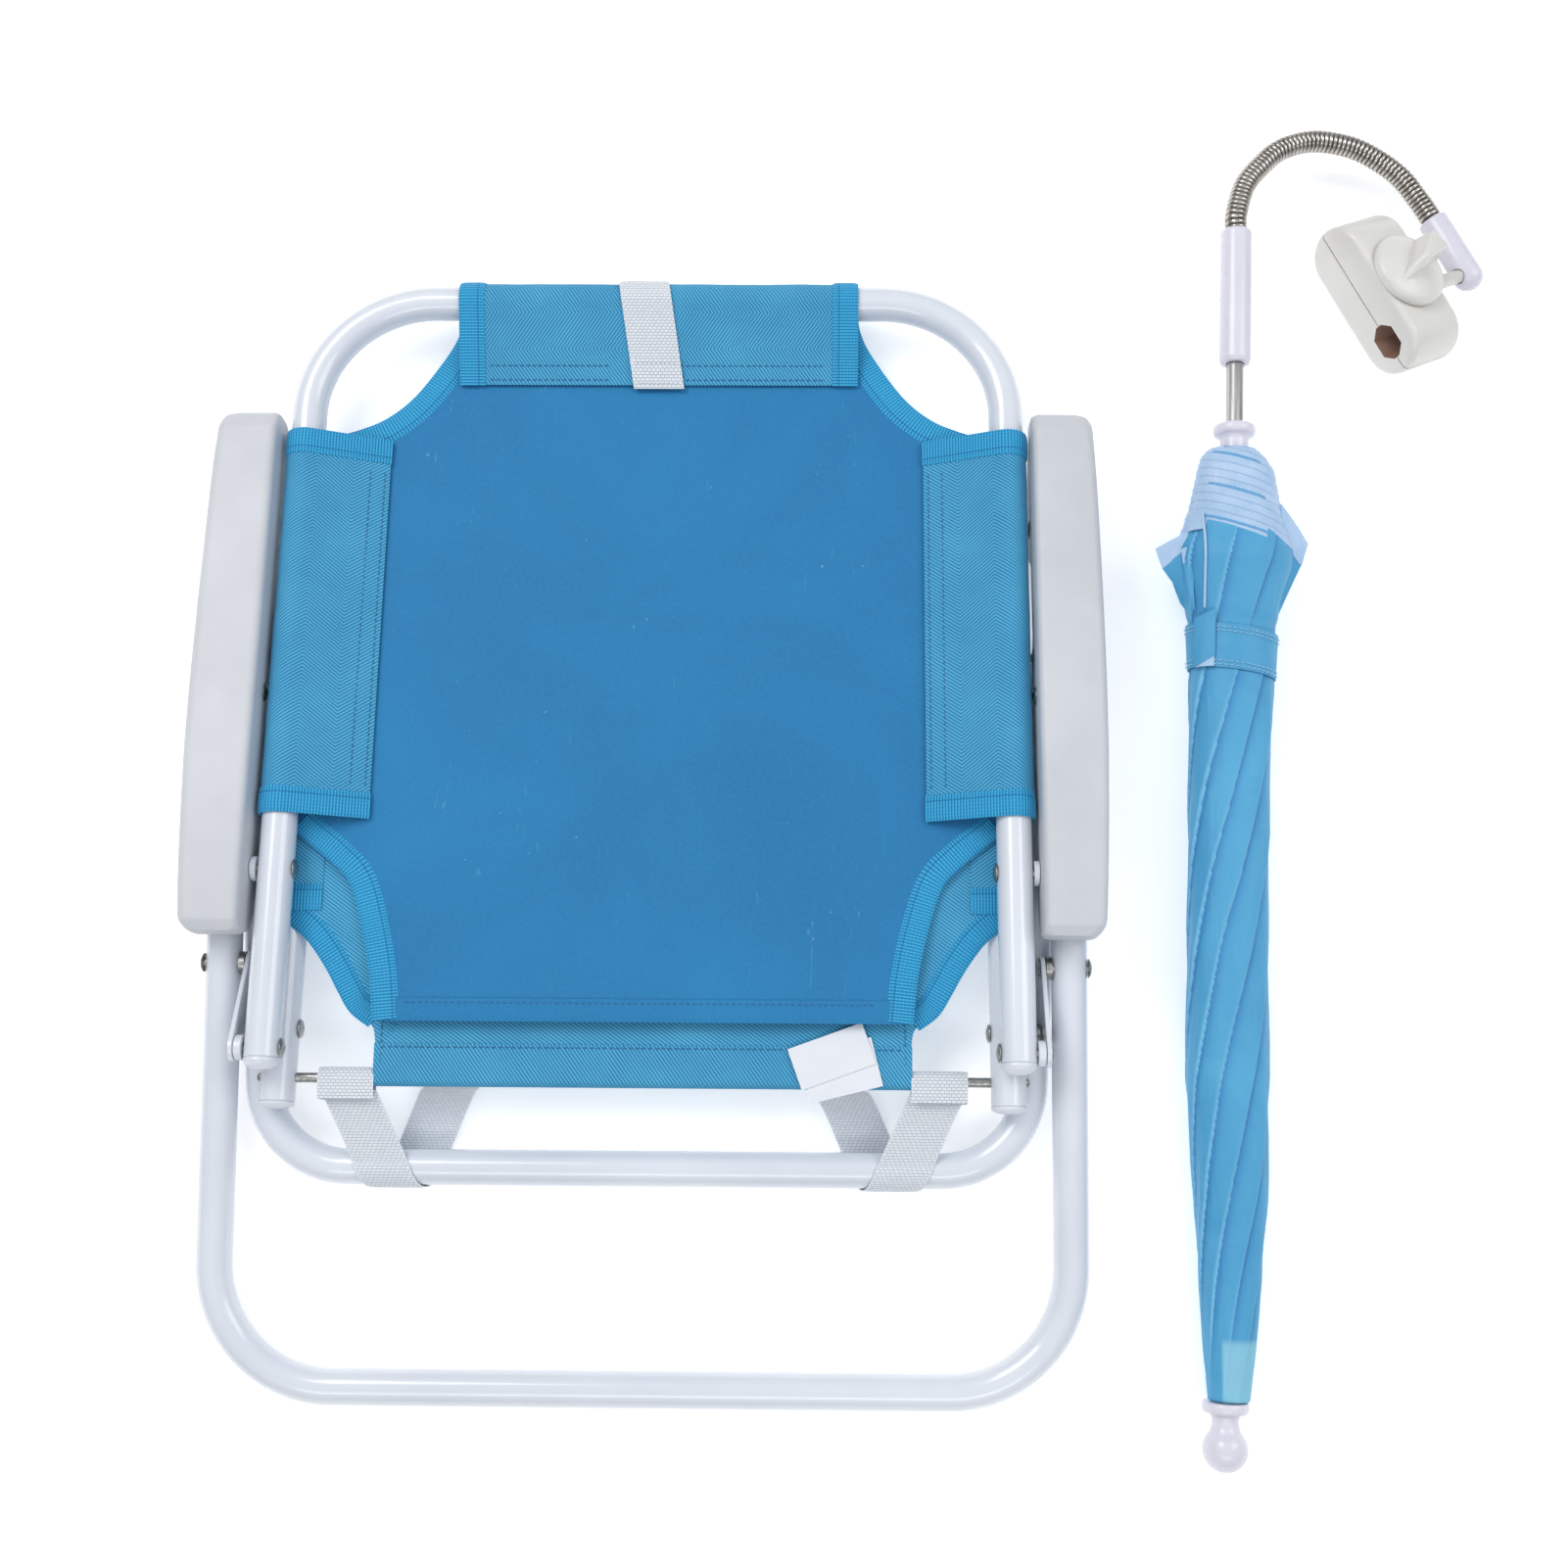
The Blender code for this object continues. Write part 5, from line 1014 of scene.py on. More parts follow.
# edge of the back panel: half width against y
edge = smooth_line([(119.5, -65.5), (121.6, -45), (126, -25.5), (132.6, -6.5), (143, 5.0), (154, 14.0), (161, 19.5), (165, 26)], 2.2)
edge = np.concatenate([edge, [(165.0, y) for y in np.arange(29, 204, 3.0)],
                       smooth_line([(165, 204), (161, 208.5), (154, 212), (143, 215.4), (131.5, 220), (120, 229), (110.5, 240), (101.5, 254), (97, 266), (95, 279)], 2.2)])
cols = np.linspace(-1, 1, 97)
P = np.zeros((len(edge), len(cols), 3))
for i, (w, y) in enumerate(edge):
    for j, c in enumerate(cols):
        x = w * c
        quiet = min(1.0, max(0.0, (124 - abs(x)) / 30)) * min(1.0, max(0.0, (232 - y) / 30)) * min(1.0, max(0.0, (y + 62) / 20))
        z = 0.55 * rnd(x, y, s=1 / 55, seed=2) + 0.25 * rnd(x, y, s=1 / 21, seed=7)
        # shallow pulls running in from the corners of the sleeves
        for cx, cy, ang in ((-118, 212, -0.8), (118, 214, -2.3), (-116, 28, 0.7), (116, 30, 2.4)):
            dx, dy = x - cx, y - cy
            t = dx * math.cos(ang) + dy * math.sin(ang)
            o = -dx * math.sin(ang) + dy * math.cos(ang)
            if t > 0:
                z += 0.7 * math.exp(-t / 60) * math.cos(o / 7.5 + 0.01 * t) * math.exp(-(o / 30) ** 2) * min(1, t / 14)
        P[i, j] = (x, y, -7.85 + (z - 0.3) * quiet)
v, f, at, n = shell(P * MM, 0.55 * MM, uv=P[..., :2] * MM)
back_panel = piece("back_panel_cloth", v, f, M_PANEL, "backrest", BACK, ("back_fabric",), "blue_back_fabric", at)

across = lambda a, z, d: (a, d, z)
along_x = lambda a, z, d: (d, a, z)
sleeves, trims = [], []
for side, s in SIDES:
    path = sleeve_path(s * 165.0, s * 126.5, 8.95)
    ys = np.arange(26.5, 207.6, 2.0) * MM
    sleeves.append(cloth_strip("back_sleeve_" + side, path, ys, across, 0.38 * MM, M_OXFORD, "backrest", BACK, slot="blue_back_fabric", ripple=0.35 * MM, seed=3 + s))
    for end, y0, y1 in (("low", 24.4, 36.4), ("high", 197.0, 209.2)):
        path2 = sleeve_path(s * 165.0, s * (126.2), 9.15, edge=-5.7, step=0.9)
        ww = np.linspace(y0, y1, 12)
        Pb = np.array([[(p[0], y * MM, p[1]) for y in ww] for p in path2])
        hv = 0.95 * MM * (1 - np.abs(np.linspace(-1, 1, 12)) ** 6 * 0.55)
        run = np.concatenate([[0.0], np.cumsum(np.linalg.norm(np.diff(path2, axis=0), axis=1))])
        uvb = np.stack(np.broadcast_arrays(((ww - y0) * MM)[None, :] if end == "low" else ((y1 - ww) * MM)[None, :], run[:, None]), -1)
        v, f, at, n = shell(Pb, np.broadcast_to(hv[None], Pb.shape[:2]), uv=uvb)
        trims.append(piece("back_sleeve_binding_%s_%s" % (end, side), v, f, M_BIND, "backrest", BACK, slot="blue_back_fabric", attrs=at))


def tape(name, line, width, half, mat, body, place, inward=1.0, slot=None, z_of=None, wave=0.0, cols=11, u_flip=False):
    """A folded tape along the edge line (x, y, z) of a flat cloth, laid inside it."""
    L = np.asarray(line, float)
    t = np.gradient(L[:, :2], axis=0)
    t /= np.linalg.norm(t, axis=1, keepdims=True)
    nrm = np.stack([-t[:, 1], t[:, 0]], 1) * inward
    c = np.linspace(-0.6 * MM, width, cols)
    P = np.zeros((len(L), cols, 3))
    for j, q in enumerate(c):
        P[:, j, :2] = L[:, :2] + nrm * q
        P[:, j, 2] = L[:, 2]
    if z_of is not None:
        P[..., 2] += np.vectorize(z_of)(P[..., 1])
    run = np.concatenate([[0.0], np.cumsum(np.linalg.norm(np.diff(L, axis=0), axis=1))])
    if wave:
        P[..., 2] += wave * np.sin(run / 0.019)[:, None] * np.linspace(1, 0.2, cols)[None]
    uv = np.stack(np.broadcast_arrays((c + 0.6 * MM)[None, :] * (0.0116 / (width + 0.0006)), run[:, None]), -1)
    rr = np.linspace(-1, 1, cols)
    h = half * np.sqrt(np.maximum(0.08, 1 - np.abs(rr) ** 5))
    v, f, at, n = shell(P, np.broadcast_to(h[None], P.shape[:2]), uv=uv)
    return piece(name, v, f, mat, body, place, slot=slot, attrs=at)


for side, s in SIDES:
    up = smooth_line([(91.5, 283), (94.8, 272), (99.5, 258.5), (111, 240), (120.5, 228.5), (131.6, 220), (144, 214.6), (159, 209)], 1.1)
    trims.append(tape("back_binding_upper_" + side, [(s * x * MM, y * MM, -7.75 * MM) for x, y in up], 11.6 * MM, 1.25 * MM, M_BIND, "backrest", BACK, -s, "blue_back_fabric", wave=0.25 * MM))
    lo = smooth_line([(119.2, -66.5), (121.5, -46), (126, -25.5), (132.6, -5.6), (142, 4.8), (154, 14.5), (160, 19.6)], 1.1)
    trims.append(tape("back_binding_lower_" + side, [(s * x * MM, y * MM, -7.75 * MM) for x, y in lo], 11.6 * MM, 1.25 * MM, M_BIND, "backrest", BACK, s, "blue_back_fabric", wave=0.3 * MM))

# top sleeve over the top bar
path = sleeve_path(278.0, 238.5, 8.95)
xs = np.arange(-93.5, 93.6, 2.2) * MM
top_sleeve = cloth_strip("back_top_sleeve", path, xs, along_x, 0.38 * MM, M_OXFORD, "backrest", BACK, slot="blue_back_fabric", ripple=0.35 * MM, seed=11)
sleeves.append(top_sleeve)
for side, s in SIDES:
    path2 = sleeve_path(278.0, 238.2, 9.2, edge=-5.7, step=0.9)
    ww = np.linspace(83.2, 95.4, 12)
    Pb = np.array([[(s * x * MM, p[0], p[1]) for x in ww] for p in path2])
    run = np.concatenate([[0.0], np.cumsum(np.linalg.norm(np.diff(path2, axis=0), axis=1))])
    uvb = np.stack(np.broadcast_arrays(((95.4 - ww) * MM)[None, :], run[:, None]), -1)
    hv = 0.95 * MM * (1 - np.abs(np.linspace(-1, 1, 12)) ** 6 * 0.55)
    v, f, at, n = shell(Pb, np.broadcast_to(hv[None], Pb.shape[:2]), uv=uvb)
    trims.append(piece("back_top_binding_" + side, v, f, M_BIND, "backrest", BACK, slot="blue_back_fabric", attrs=at))

# hem of the lower edge: a turned strip and its folded rim
hx = np.linspace(-119, 119, 80)
Ph = np.array([[(x * MM, y * MM, (-7.65 + 0.12 * rnd(x, y, s=1 / 9, seed=4)) * MM) for x in hx] for y in np.linspace(-66.6, -56.5, 8)])
v, f, at, n = shell(Ph, np.broadcast_to((0.95 * MM * np.sqrt(np.maximum(0.1, 1 - np.abs(np.linspace(-1, 0.6, 8)) ** 5)))[:, None], Ph.shape[:2]), uv=Ph[..., :2])
trims.append(piece("back_hem", v, f, M_PANEL, "backrest", BACK, slot="blue_back_fabric", attrs=at))

rows = []
for s in (-1, 1):
    for x in (128.6, 134.9):
        zz = -4.55 if x < 130 else -2.1
        rows.append([(s * x * MM, y * MM, zz * MM, -s * 0.15, 0, 0.99) for y in np.arange(38, 196, 2.0)])
for y in (240.6, 246.8):
    zz = -4.55 if y < 243 else -2.1
    for x0, x1 in ((-82.5, -20.5), (8.5, 82.5)):
        rows.append([(x * MM, y * MM, zz * MM, 0, -0.15, 0.99) for x in np.arange(x0, x1, 2.0)])
rows.append([(x * MM, -58.4 * MM, -6.72 * MM, 0, 0, 1) for x in np.arange(-107, 107, 2.0)])
trims.append(stitches("back_stitching", rows, M_THREAD, "backrest", BACK, slot="blue_back_fabric"))


# ---------------------------------------------------------------- webbing bands
def band(name, line, centres, width, half, mat, body, place, nodes=(), blend=None, axis="yz", slot=None, step=1.2):
    """A flat band whose middle runs along line (y, z) while its centre moves in x."""
    L = np.column_stack([np.asarray(line, float), np.asarray(centres, float)])
    L = smooth_line(L, step * MM)
    t = np.gradient(L[:, :2], axis=0)
    across_n = 13
    c = np.linspace(-width / 2, width / 2, across_n)
    P = np.zeros((len(L), across_n, 3))
    for j, q in enumerate(c):
        P[:, j] = np.stack([L[:, 2] + q, L[:, 0], L[:, 1]], 1)
    run = np.concatenate([[0.0], np.cumsum(np.linalg.norm(np.diff(L, axis=0), axis=1))])
    uv = np.stack(np.broadcast_arrays(c[None, :], run[:, None]), -1)
    h = half * np.sqrt(np.maximum(0.15, 1 - np.abs(np.linspace(-1, 1, across_n)) ** 8))
    v, f, at, n = shell(P, np.broadcast_to(h[None], P.shape[:2]), uv=uv)
    return piece(name, v, f, mat, body, place, nodes, slot, at, blend=blend)


def tab_x(y):
    return (-7.15 + (286 - y) * 0.15) * MM


tab_mid = 10.35
tab = [(236.4, -5.2), (240, -4.1), (247, -1.3), (255, 2.0), (262, 4.7), (268, 7.0)]
tab += [(278 + tab_mid * math.cos(math.radians(q)), tab_mid * math.sin(math.radians(q))) for q in (108, 92, 70, 48, 26, 4, -18, -40, -62, -84)]
tab += [(262, -10.3), (246, -10.2), (236, -10.2)]
tab_m = [(y * MM, z * MM) for y, z in tab]
tab_piece = band("back_tab", tab_m, [tab_x(y) for y, z in tab], 24.0 * MM, 0.5 * MM, M_WEB, "backrest", BACK, ("back_webbing_tab",))
# the tab's folded end and its sewn box
Pt = np.array([[((tab_x(y) / MM) + x, y, np.interp(y, [236, 240, 247, 250], [-4.6, -3.2, -0.4, 0.85])) for x in np.linspace(-12, 12, 13)] for y in np.linspace(236.0, 249.5, 10)]) * MM
v, f, at, n = shell(Pt, 0.45 * MM, uv=Pt[..., :2])
trims.append(piece("back_tab_fold", v, f, M_WEB, "backrest", BACK, slot="white_webbing", attrs=at))
box = []
for y in (238.2, 247.2):
    zz = np.interp(y, [236, 240, 247, 250], [-4.6, -3.2, -0.4, 0.85]) + 0.55
    box.append([(tab_x(y) + x * MM, y * MM, zz * MM, 0, -0.2, 0.98) for x in np.arange(-10.5, 11, 1.5)])
trims.append(stitches("back_tab_stitching", box, M_THREAD_WHITE, "backrest", BACK, pitch=2.2 * MM, length=1.7 * MM, r=0.2 * MM, slot="white_webbing"))

for side, s in SIDES:
    cy, cz = FRONT_BAR[0] / MM, FRONT_BAR[1] / MM
    rr = 8.85
    rod_z = (P_PLATE_SEAT[1] + (ROD_Y - P_PLATE_SEAT[0]) * math.tan(axis_angle(P_PLATE_SEAT, SEAT_FRONT))) / MM
    line = [(-146.4, rod_z - 0.2), (-153, 24.6), (-163, 21.5)]
    line += [(cy + rr * math.cos(math.radians(q)), cz + rr * math.sin(math.radians(q))) for q in range(70, 270, 14)]
    line += [(-170, 1.4), (-160, 4.2), (-152, 8.5), (-147, 14.0)]
    # the strap's far end, sewn under the seat cloth's rear edge
    line += [(-145.0, rod_z - 5.9), (-141.5, rod_z - 4.7), (-137.5, rod_z - 4.0), (-133.0, rod_z - 0.6)]
    run = [0.0]
    for p, q in zip(line, line[1:]):
        run.append(run[-1] + math.dist(p, q))
    centres = [s * (131 - 42 * q / run[-5]) * MM for q in run]
    strap = band("strap_webbing_" + side, [(y * MM, z * MM) for y, z in line], centres, 25.0 * MM, 0.45 * MM, M_WEB, "seat", WORLD,
                 ("retaining_strap_" + side,), blend=("seat", "front_legs", (0, -0.145, 0.024), (0, -0.172, 0.016)))
    # the strap's hem where it is folded over the rod
    loop = [(-150.5, rod_z + 2.5), (-147, rod_z + 3.2), (-143.5, rod_z + 3.5), (-140.6, rod_z + 3.5), (-137.4, rod_z + 1.6), (-137.0, rod_z - 0.6),
            (-139.0, rod_z - 3.0), (-142.5, rod_z - 3.3), (-147, rod_z - 2.0), (-151, rod_z - 0.6)]
    band("strap_loop_" + side, [(y * MM, z * MM) for y, z in loop], [s * 131.6 * MM] * len(loop), 25.0 * MM, 0.42 * MM, M_WEB, "seat", WORLD, slot="white_webbing")

# ---------------------------------------------------------------- cloth of the seat
sy = lambda Y: Y - P_SEAT_LEG[0] / MM
SEAT_HALF = sy(-68)
RY, SF, SZ = rod_y / MM, seat_front[0] / MM, seat_z / MM
ramp = (7.85 - 2.3) / (SEAT_HALF - RY)


def seat_h(y):
    """Height of the seat panel at local y, in millimetres."""
    t = max(0.0, SEAT_HALF - y)
    return SZ + 7.85 - ramp * t


edge = smooth_line([(118.5, RY - 0.5), (120, sy(-121)), (124.5, sy(-117)), (131, sy(-111.5)), (136.5, sy(-103)), (141, sy(-95)), (147, sy(-86)), (153, sy(-79)), (162.3, sy(-68))], 2.2)
edge = np.concatenate([edge, [(162.3, y) for y in np.arange(sy(-65), sy(75), 3.0)],
                       smooth_line([(162.3, sy(76)), (150, sy(78)), (134, sy(84)), (121, sy(96)), (118, SF)], 2.2)])
P = np.zeros((len(edge), 81, 3))
for i, (w, y) in enumerate(edge):
    for j, c in enumerate(np.linspace(-1, 1, 81)):
        P[i, j] = (w * c, y, seat_h(y) + 0.18 * rnd(w * c, y, s=1 / 26, seed=9) * min(1, (y - RY) / 20) - 0.2)
v, f, at, n = shell(P * MM, 0.6 * MM, uv=P[..., :2] * MM)
seat_panel = piece("seat_panel_cloth", v, f, M_OXFORD_SEAT, "seat", SEAT, ("seat_fabric",), "blue_seat_fabric", at)
for side, s in SIDES:
    path = sleeve_path(s * 162.3, s * 124.0, 8.95, side_z=-1.0)
    path[:, 1] += seat_z
    cloth_strip("seat_sleeve_" + side, path, np.arange(SEAT_HALF + 1, SEAT_HALF + 143, 2.0) * MM, across, 0.38 * MM, M_OXFORD_SEAT, "seat", SEAT,
                                  slot="blue_seat_fabric", ripple=0.3 * MM, seed=21 + s)
    for end, y0, y1 in (("rear", SEAT_HALF + 0.4, SEAT_HALF + 12.4), ("front", SEAT_HALF + 131.6, SEAT_HALF + 143.6)):
        path2 = sleeve_path(s * 162.3, s * 123.7, 9.15, side_z=-1.0, edge=-5.7, step=0.9)
        path2[:, 1] += seat_z
        ww = np.linspace(y0, y1, 12)
        Pb = np.array([[(p[0], y * MM, p[1]) for y in ww] for p in path2])
        run = np.concatenate([[0.0], np.cumsum(np.linalg.norm(np.diff(path2, axis=0), axis=1))])
        uvb = np.stack(np.broadcast_arrays(((ww - y0) * MM)[None, :] if end == "rear" else ((y1 - ww) * MM)[None, :], run[:, None]), -1)
        hv = 0.9 * MM * (1 - np.abs(np.linspace(-1, 1, 12)) ** 6 * 0.55)
        v, f, at, n = shell(Pb, np.broadcast_to(hv[None], Pb.shape[:2]), uv=uvb)
        piece("seat_sleeve_binding_%s_%s" % (end, side), v, f, M_BIND, "seat", SEAT, slot="blue_seat_fabric", attrs=at)
    arc = smooth_line([(122.5, sy(-119)), (131, sy(-112.5)), (137, sy(-103)), (141.5, sy(-95)), (147.5, sy(-86)), (153.5, sy(-79)), (162, sy(-72.5))], 1.1)
    tape("seat_binding_rear_" + side, [(s * x * MM, y * MM, 0.0) for x, y in arc], 11.2 * MM, 1.2 * MM, M_BIND, "seat", SEAT, s, "blue_seat_fabric",
                           z_of=lambda y: (seat_h(y / MM) - 0.15) * MM, wave=0.2 * MM)
    arc = smooth_line([(164, sy(75.4)), (150, sy(78)), (134, sy(84)), (121, sy(96)), (117.4, SF)], 1.1)
    tape("seat_binding_front_" + side, [(s * x * MM, y * MM, 0.0) for x, y in arc], 11.2 * MM, 1.2 * MM, M_BIND, "seat", SEAT, s, "blue_seat_fabric",
                           z_of=lambda y: (SZ + 7.75) * MM, wave=0.2 * MM)
path = sleeve_path(SF, SF - 40, 8.95, side_z=-1.0)
path[:, 1] += seat_z
cloth_strip("seat_front_sleeve", path, np.arange(-117.5, 117.6, 2.4) * MM, along_x, 0.38 * MM, M_OXFORD_SEAT, "seat", SEAT, slot="blue_seat_fabric", ripple=0.3 * MM, seed=31)
# loop of the panel's rear edge round the cross rod
loop = [(RY + 12, seat_h(RY + 12) - SZ - 1.6), (RY + 6, 1.0), (RY + 2.6, -2.3)]
loop += [(RY + 3.3 * math.cos(math.radians(q)), 3.3 * math.sin(math.radians(q))) for q in range(-50, -231, -20)]
loop += [(RY - 1.5, 2.95), (RY + 3, 3.3), (RY + 10, seat_h(RY + 10) - SZ + 0.55), (RY + 15, seat_h(RY + 15) - SZ + 0.5)]
lp = smooth_line(loop, 0.9) * MM
lp[:, 1] += seat_z
cloth_strip("seat_rear_loop", lp, np.linspace(-119.6, 119.6, 100) * MM, along_x, 0.34 * MM, M_OXFORD_SEAT, "seat", SEAT, slot="blue_seat_fabric")
rows = []
for s in (-1, 1):
    for x in (116.5,):
        rows.append([(s * x * MM, y * MM, (seat_h(y) + 0.62) * MM, 0, -0.08, 1) for y in np.arange(RY + 2, RY + 36, 1.5)])
rows.append([(x * MM, (RY + 13.5) * MM, (seat_h(RY + 13.5) + 1.0) * MM, 0, -0.08, 1) for x in np.arange(-118, 118, 2.0)])
stitches("seat_stitching", rows, M_THREAD, "seat", SEAT, slot="blue_seat_fabric")
tack = [[(-(111.5 + dx) * MM, (y) * MM, (seat_h(y) + 0.75) * MM, 0, 0, 1) for dx, y in ((0, RY + 26), (0.4, RY + 20))],
        [(-(113.6 - dx) * MM, (y) * MM, (seat_h(y) + 0.75) * MM, 0, 0, 1) for dx, y in ((0, RY + 23.6), (4.4, RY + 22.6))]]
stitches("seat_tack", tack, M_TACK, "seat", SEAT, pitch=1.7 * MM, length=1.5 * MM, r=0.28 * MM, slot="blue_seat_fabric")


# blank folded label, two layers, sewn askew at the seat's rear edge
def label_layer(name, cx, cy, w, h, turn, lift, curl, nodes=()):
    P = np.zeros((14, 20, 3))
    for i, b in enumerate(np.linspace(-h / 2, h / 2, 14)):
        for j, a in enumerate(np.linspace(-w / 2, w / 2, 20)):
            x = cx + a * math.cos(turn) - b * math.sin(turn)
            y = cy + a * math.sin(turn) + b * math.cos(turn)
            base = SZ + max(2.9, seat_h(y) - SZ) if y > RY else SZ + 2.9 + (RY - y) * 0.02
            P[i, j] = (x, y, base + lift + curl * ((a / w) ** 2 * 2.0 + 0.5 * math.sin(3.1 * b / h + 1.0)))
    uv = np.stack(np.meshgrid(np.linspace(0, w, 20), np.linspace(0, h, 14)), -1) * MM
    v, f, at, n = shell(P * MM, 0.22 * MM, uv=uv)
    return piece(name, v, f, M_SATIN, "seat", SEAT, nodes, "white_satin_label", at)


label_layer("label_lower", 88.0, RY + 4.5, 33.0, 22.0, math.radians(14), 1.35, 0.35, ("blank_label",))
label_layer("label_upper", 84.0, RY + 10.5, 35.0, 19.0, math.radians(20), 2.2, 0.5)

# ---------------------------------------------------------------- umbrella
umb_dir = Vector((UMB_DX, 1.0, UMB_DZ)).normalized()


def umb(y):
    y *= MM
    return Vector((UMB_X0 + UMB_DX * y, y, UMB_Z0 + UMB_DZ * y))


def along(y):
    return (umb(y) - umb(0)).dot(umb_dir)


UMB_M = Matrix.Translation(umb(0)) @ basis(umb_dir, (1, 0, 0))


def umb_turned(name, profile, mat, nodes, sides=48, corner=0.0, angle=38.0, slot=None):
    return turned(name, [(r * MM, along(y)) for r, y in profile], umb(0), umb_dir, mat, "umbrella", nodes, sides, (1, 0, 0), corner=corner, angle=angle, slot=slot)


umb_turned("shaft_steel", [(0, 258), (3.6, 258), (4, 257), (4, -267), (3.4, -268), (0, -268)], M_SHAFT, ("umbrella_shaft",), 40)
umb_turned("runner_plastic", [(4.3, 165.4), (4.9, 165.6), (8.4, 165.6), (9.6, 164.8), (9.9, 163.2), (9.8, 162.0), (9.2, 160.8), (7.6, 159.8), (6.7, 158.4), (6.4, 150.0), (6.2, 139), (4.3, 139)],
           M_FITTING, ("umbrella_runner",), 48, 0.0007)
umb_turned("sleeve_plastic", [(4.3, 262.5), (6.4, 262.5), (7.3, 261.4), (7.4, 198), (6.6, 196), (4.3, 196)], M_FITTING, ("shaft_sleeve",), 48, 0.0006)
ball_y, ball_r = -298.0, 9.9
prof = [(0, -278.0), (9.7, -278.0), (10.2, -278.8), (10.2, -281.2), (9.4, -282.4), (6.6, -283.2), (5.8, -285.2), (5.9, -288.0)]
a0 = math.asin(6.4 / ball_r)
prof += [(ball_r * math.sin(q), ball_y + ball_r * math.cos(q)) for q in np.linspace(a0 + 0.05, math.pi, 22)]
prof[-1] = (0.0, ball_y - ball_r)
umb_turned("ferrule_plastic", prof, M_FITTING, ("umbrella_ferrule",), 48, 0.0, 45)

# the furled cloth: eight gores folded flat and wound on the shaft
half_of = lambda y: np.interp(y, [-280, -262, -249, -227, -191, -165, -140, -62, -5, 41, 69, 80, 90, 98, 104, 110, 116, 124, 130, 143, 149, 153],
                              [9.6, 11.6, 12.5, 14.2, 16.2, 17.8, 18.9, 18.4, 18.7, 19.6, 21.0, 22.8, 25.4, 27.4, 27.6, 26.2, 24.4, 22.0, 20.9, 18.6, 16.0, 12.8])
shift_of = lambda y: np.interp(y, [-278, -227, -191, -140, -62, -5, 41, 90, 116, 143, 153], [1.6, 1.4, 1.4, -0.6, -1.0, -1.1, -0.4, -0.4, 0.4, 0.6, -1.0])
CY = np.concatenate([np.arange(152.0, 100.0, -0.5), np.arange(100.0, 60.0, -0.8), np.arange(60.0, -277.0, -1.25), [-277.0]])
CN = 288
# how far the folds have turned round at each height
lean = np.interp(CY, [-277, -200, -60, 60, 152], [0.13, 0.20, 0.27, 0.27, 0.20])
turn = np.zeros(len(CY))
for i in range(1, len(CY)):
    turn[i] = turn[i - 1] + (CY[i - 1] - CY[i]) * lean[i] / max(10.0, half_of(CY[i]))
phi = np.linspace(0, 2 * math.pi, CN, endpoint=False)
V = np.zeros((len(CY), CN, 3))
att = {k: np.zeros((len(CY), CN)) for k in ("edge", "shade", "hem", "line", "sliver", "pale")}
for i, y in enumerate(CY):
    half = float(half_of(y))
    for j, p in enumerate(phi):
        g = (math.pi - p - 1.25 - turn[i] + 0.10 * rnd(p, y * 0.01, seed=1)) / (2 * math.pi) * 8
        k = math.floor(g)
        q = g - k                                # 0 at a fold edge, rising to the right
        gap = 0.045 * 18.0 / half
        saw = (1 - q) if q > gap else (q / gap)
        near = min(q, 1 - q)
        uneven = 1.0 + 0.55 * rnd(k % 8, y * 0.014, seed=8)
        tied = min(1.0, max(0.0, (73 - y) / 4)) * min(1.0, max(0.0, (y - 42) / 4))
        uneven *= 1 - 0.5 * tied
        lowfade = min(1.0, max(0.15, (y + 277) / 55))
        amp = 1.55 * uneven * lowfade if y < 96 else 1.55 * uneven * max(0.0, (118 - y) / 22) if y < 118 else 0.0
        r = half - 0.8 + amp * (saw - 0.35)
        r += (0.35 * rnd(p * 3, y * 0.02, seed=3) + 0.16 * rnd(p * 9, y * 0.08, seed=5)) * (1 - 0.6 * tied) - 0.35 * tied
        x, z = r * math.cos(p), 0.78 * r * math.sin(p)
        side = x / max(half, 1.0)
        # the wound hem near the runner
        border = np.interp(side, [-1, -0.65, -0.62, 0.41, 0.45, 1.0], [110.8, 110.6, 115.4, 106.6, 111.4, 103.0]) if z < 0 else np.interp(side, [-1, 1], [110.8, 103.0]) + 4 * math.sin(3 * p)
        att["hem"][i, j] = min(1, max(0, 0.5 + (y - border) / 0.9))
        if y > border - 1:
            ph = (y + side * half * 0.30) / 4.3 + 0.16 * rnd(p, y * 0.03, seed=6)
            w = ph - math.floor(ph)
            r += 0.55 * (w ** 0.7) - 0.2
            # line: a thin painted shadow under the lip of each wound layer of the hem
            att["line"][i, j] = max(0.0, 1 - w / 0.2)
            att["sliver"][i, j] = 1.0 if int(math.floor(ph)) % 4 == 2 and 0.05 < w < 0.36 and abs(side + 0.1) < 0.62 else 0.0
        arc = half * 2 * math.pi / 8
        d_light, d_dark = q * arc, (1 - q) * arc
        vis = min(1.0, amp / 1.2)
        # edge: painted highlight along each fold edge; shade: painted shade just beside it
        att["edge"][i, j] = math.exp(-(d_light / 0.85) ** 2) * vis
        att["shade"][i, j] = math.exp(-(d_dark / 2.4) ** 1.2) * vis
        if y < -250:
            att["pale"][i, j] = min(1.0, max(0.0, (-250 - y) / 3)) * min(1.0, max(0.0, (side + 0.45) / 0.1)) * (1 if z < 0 else 0)
        V[i, j] = (r * math.cos(p) + shift_of(y), 0.78 * r * math.sin(p), along(y) / MM)
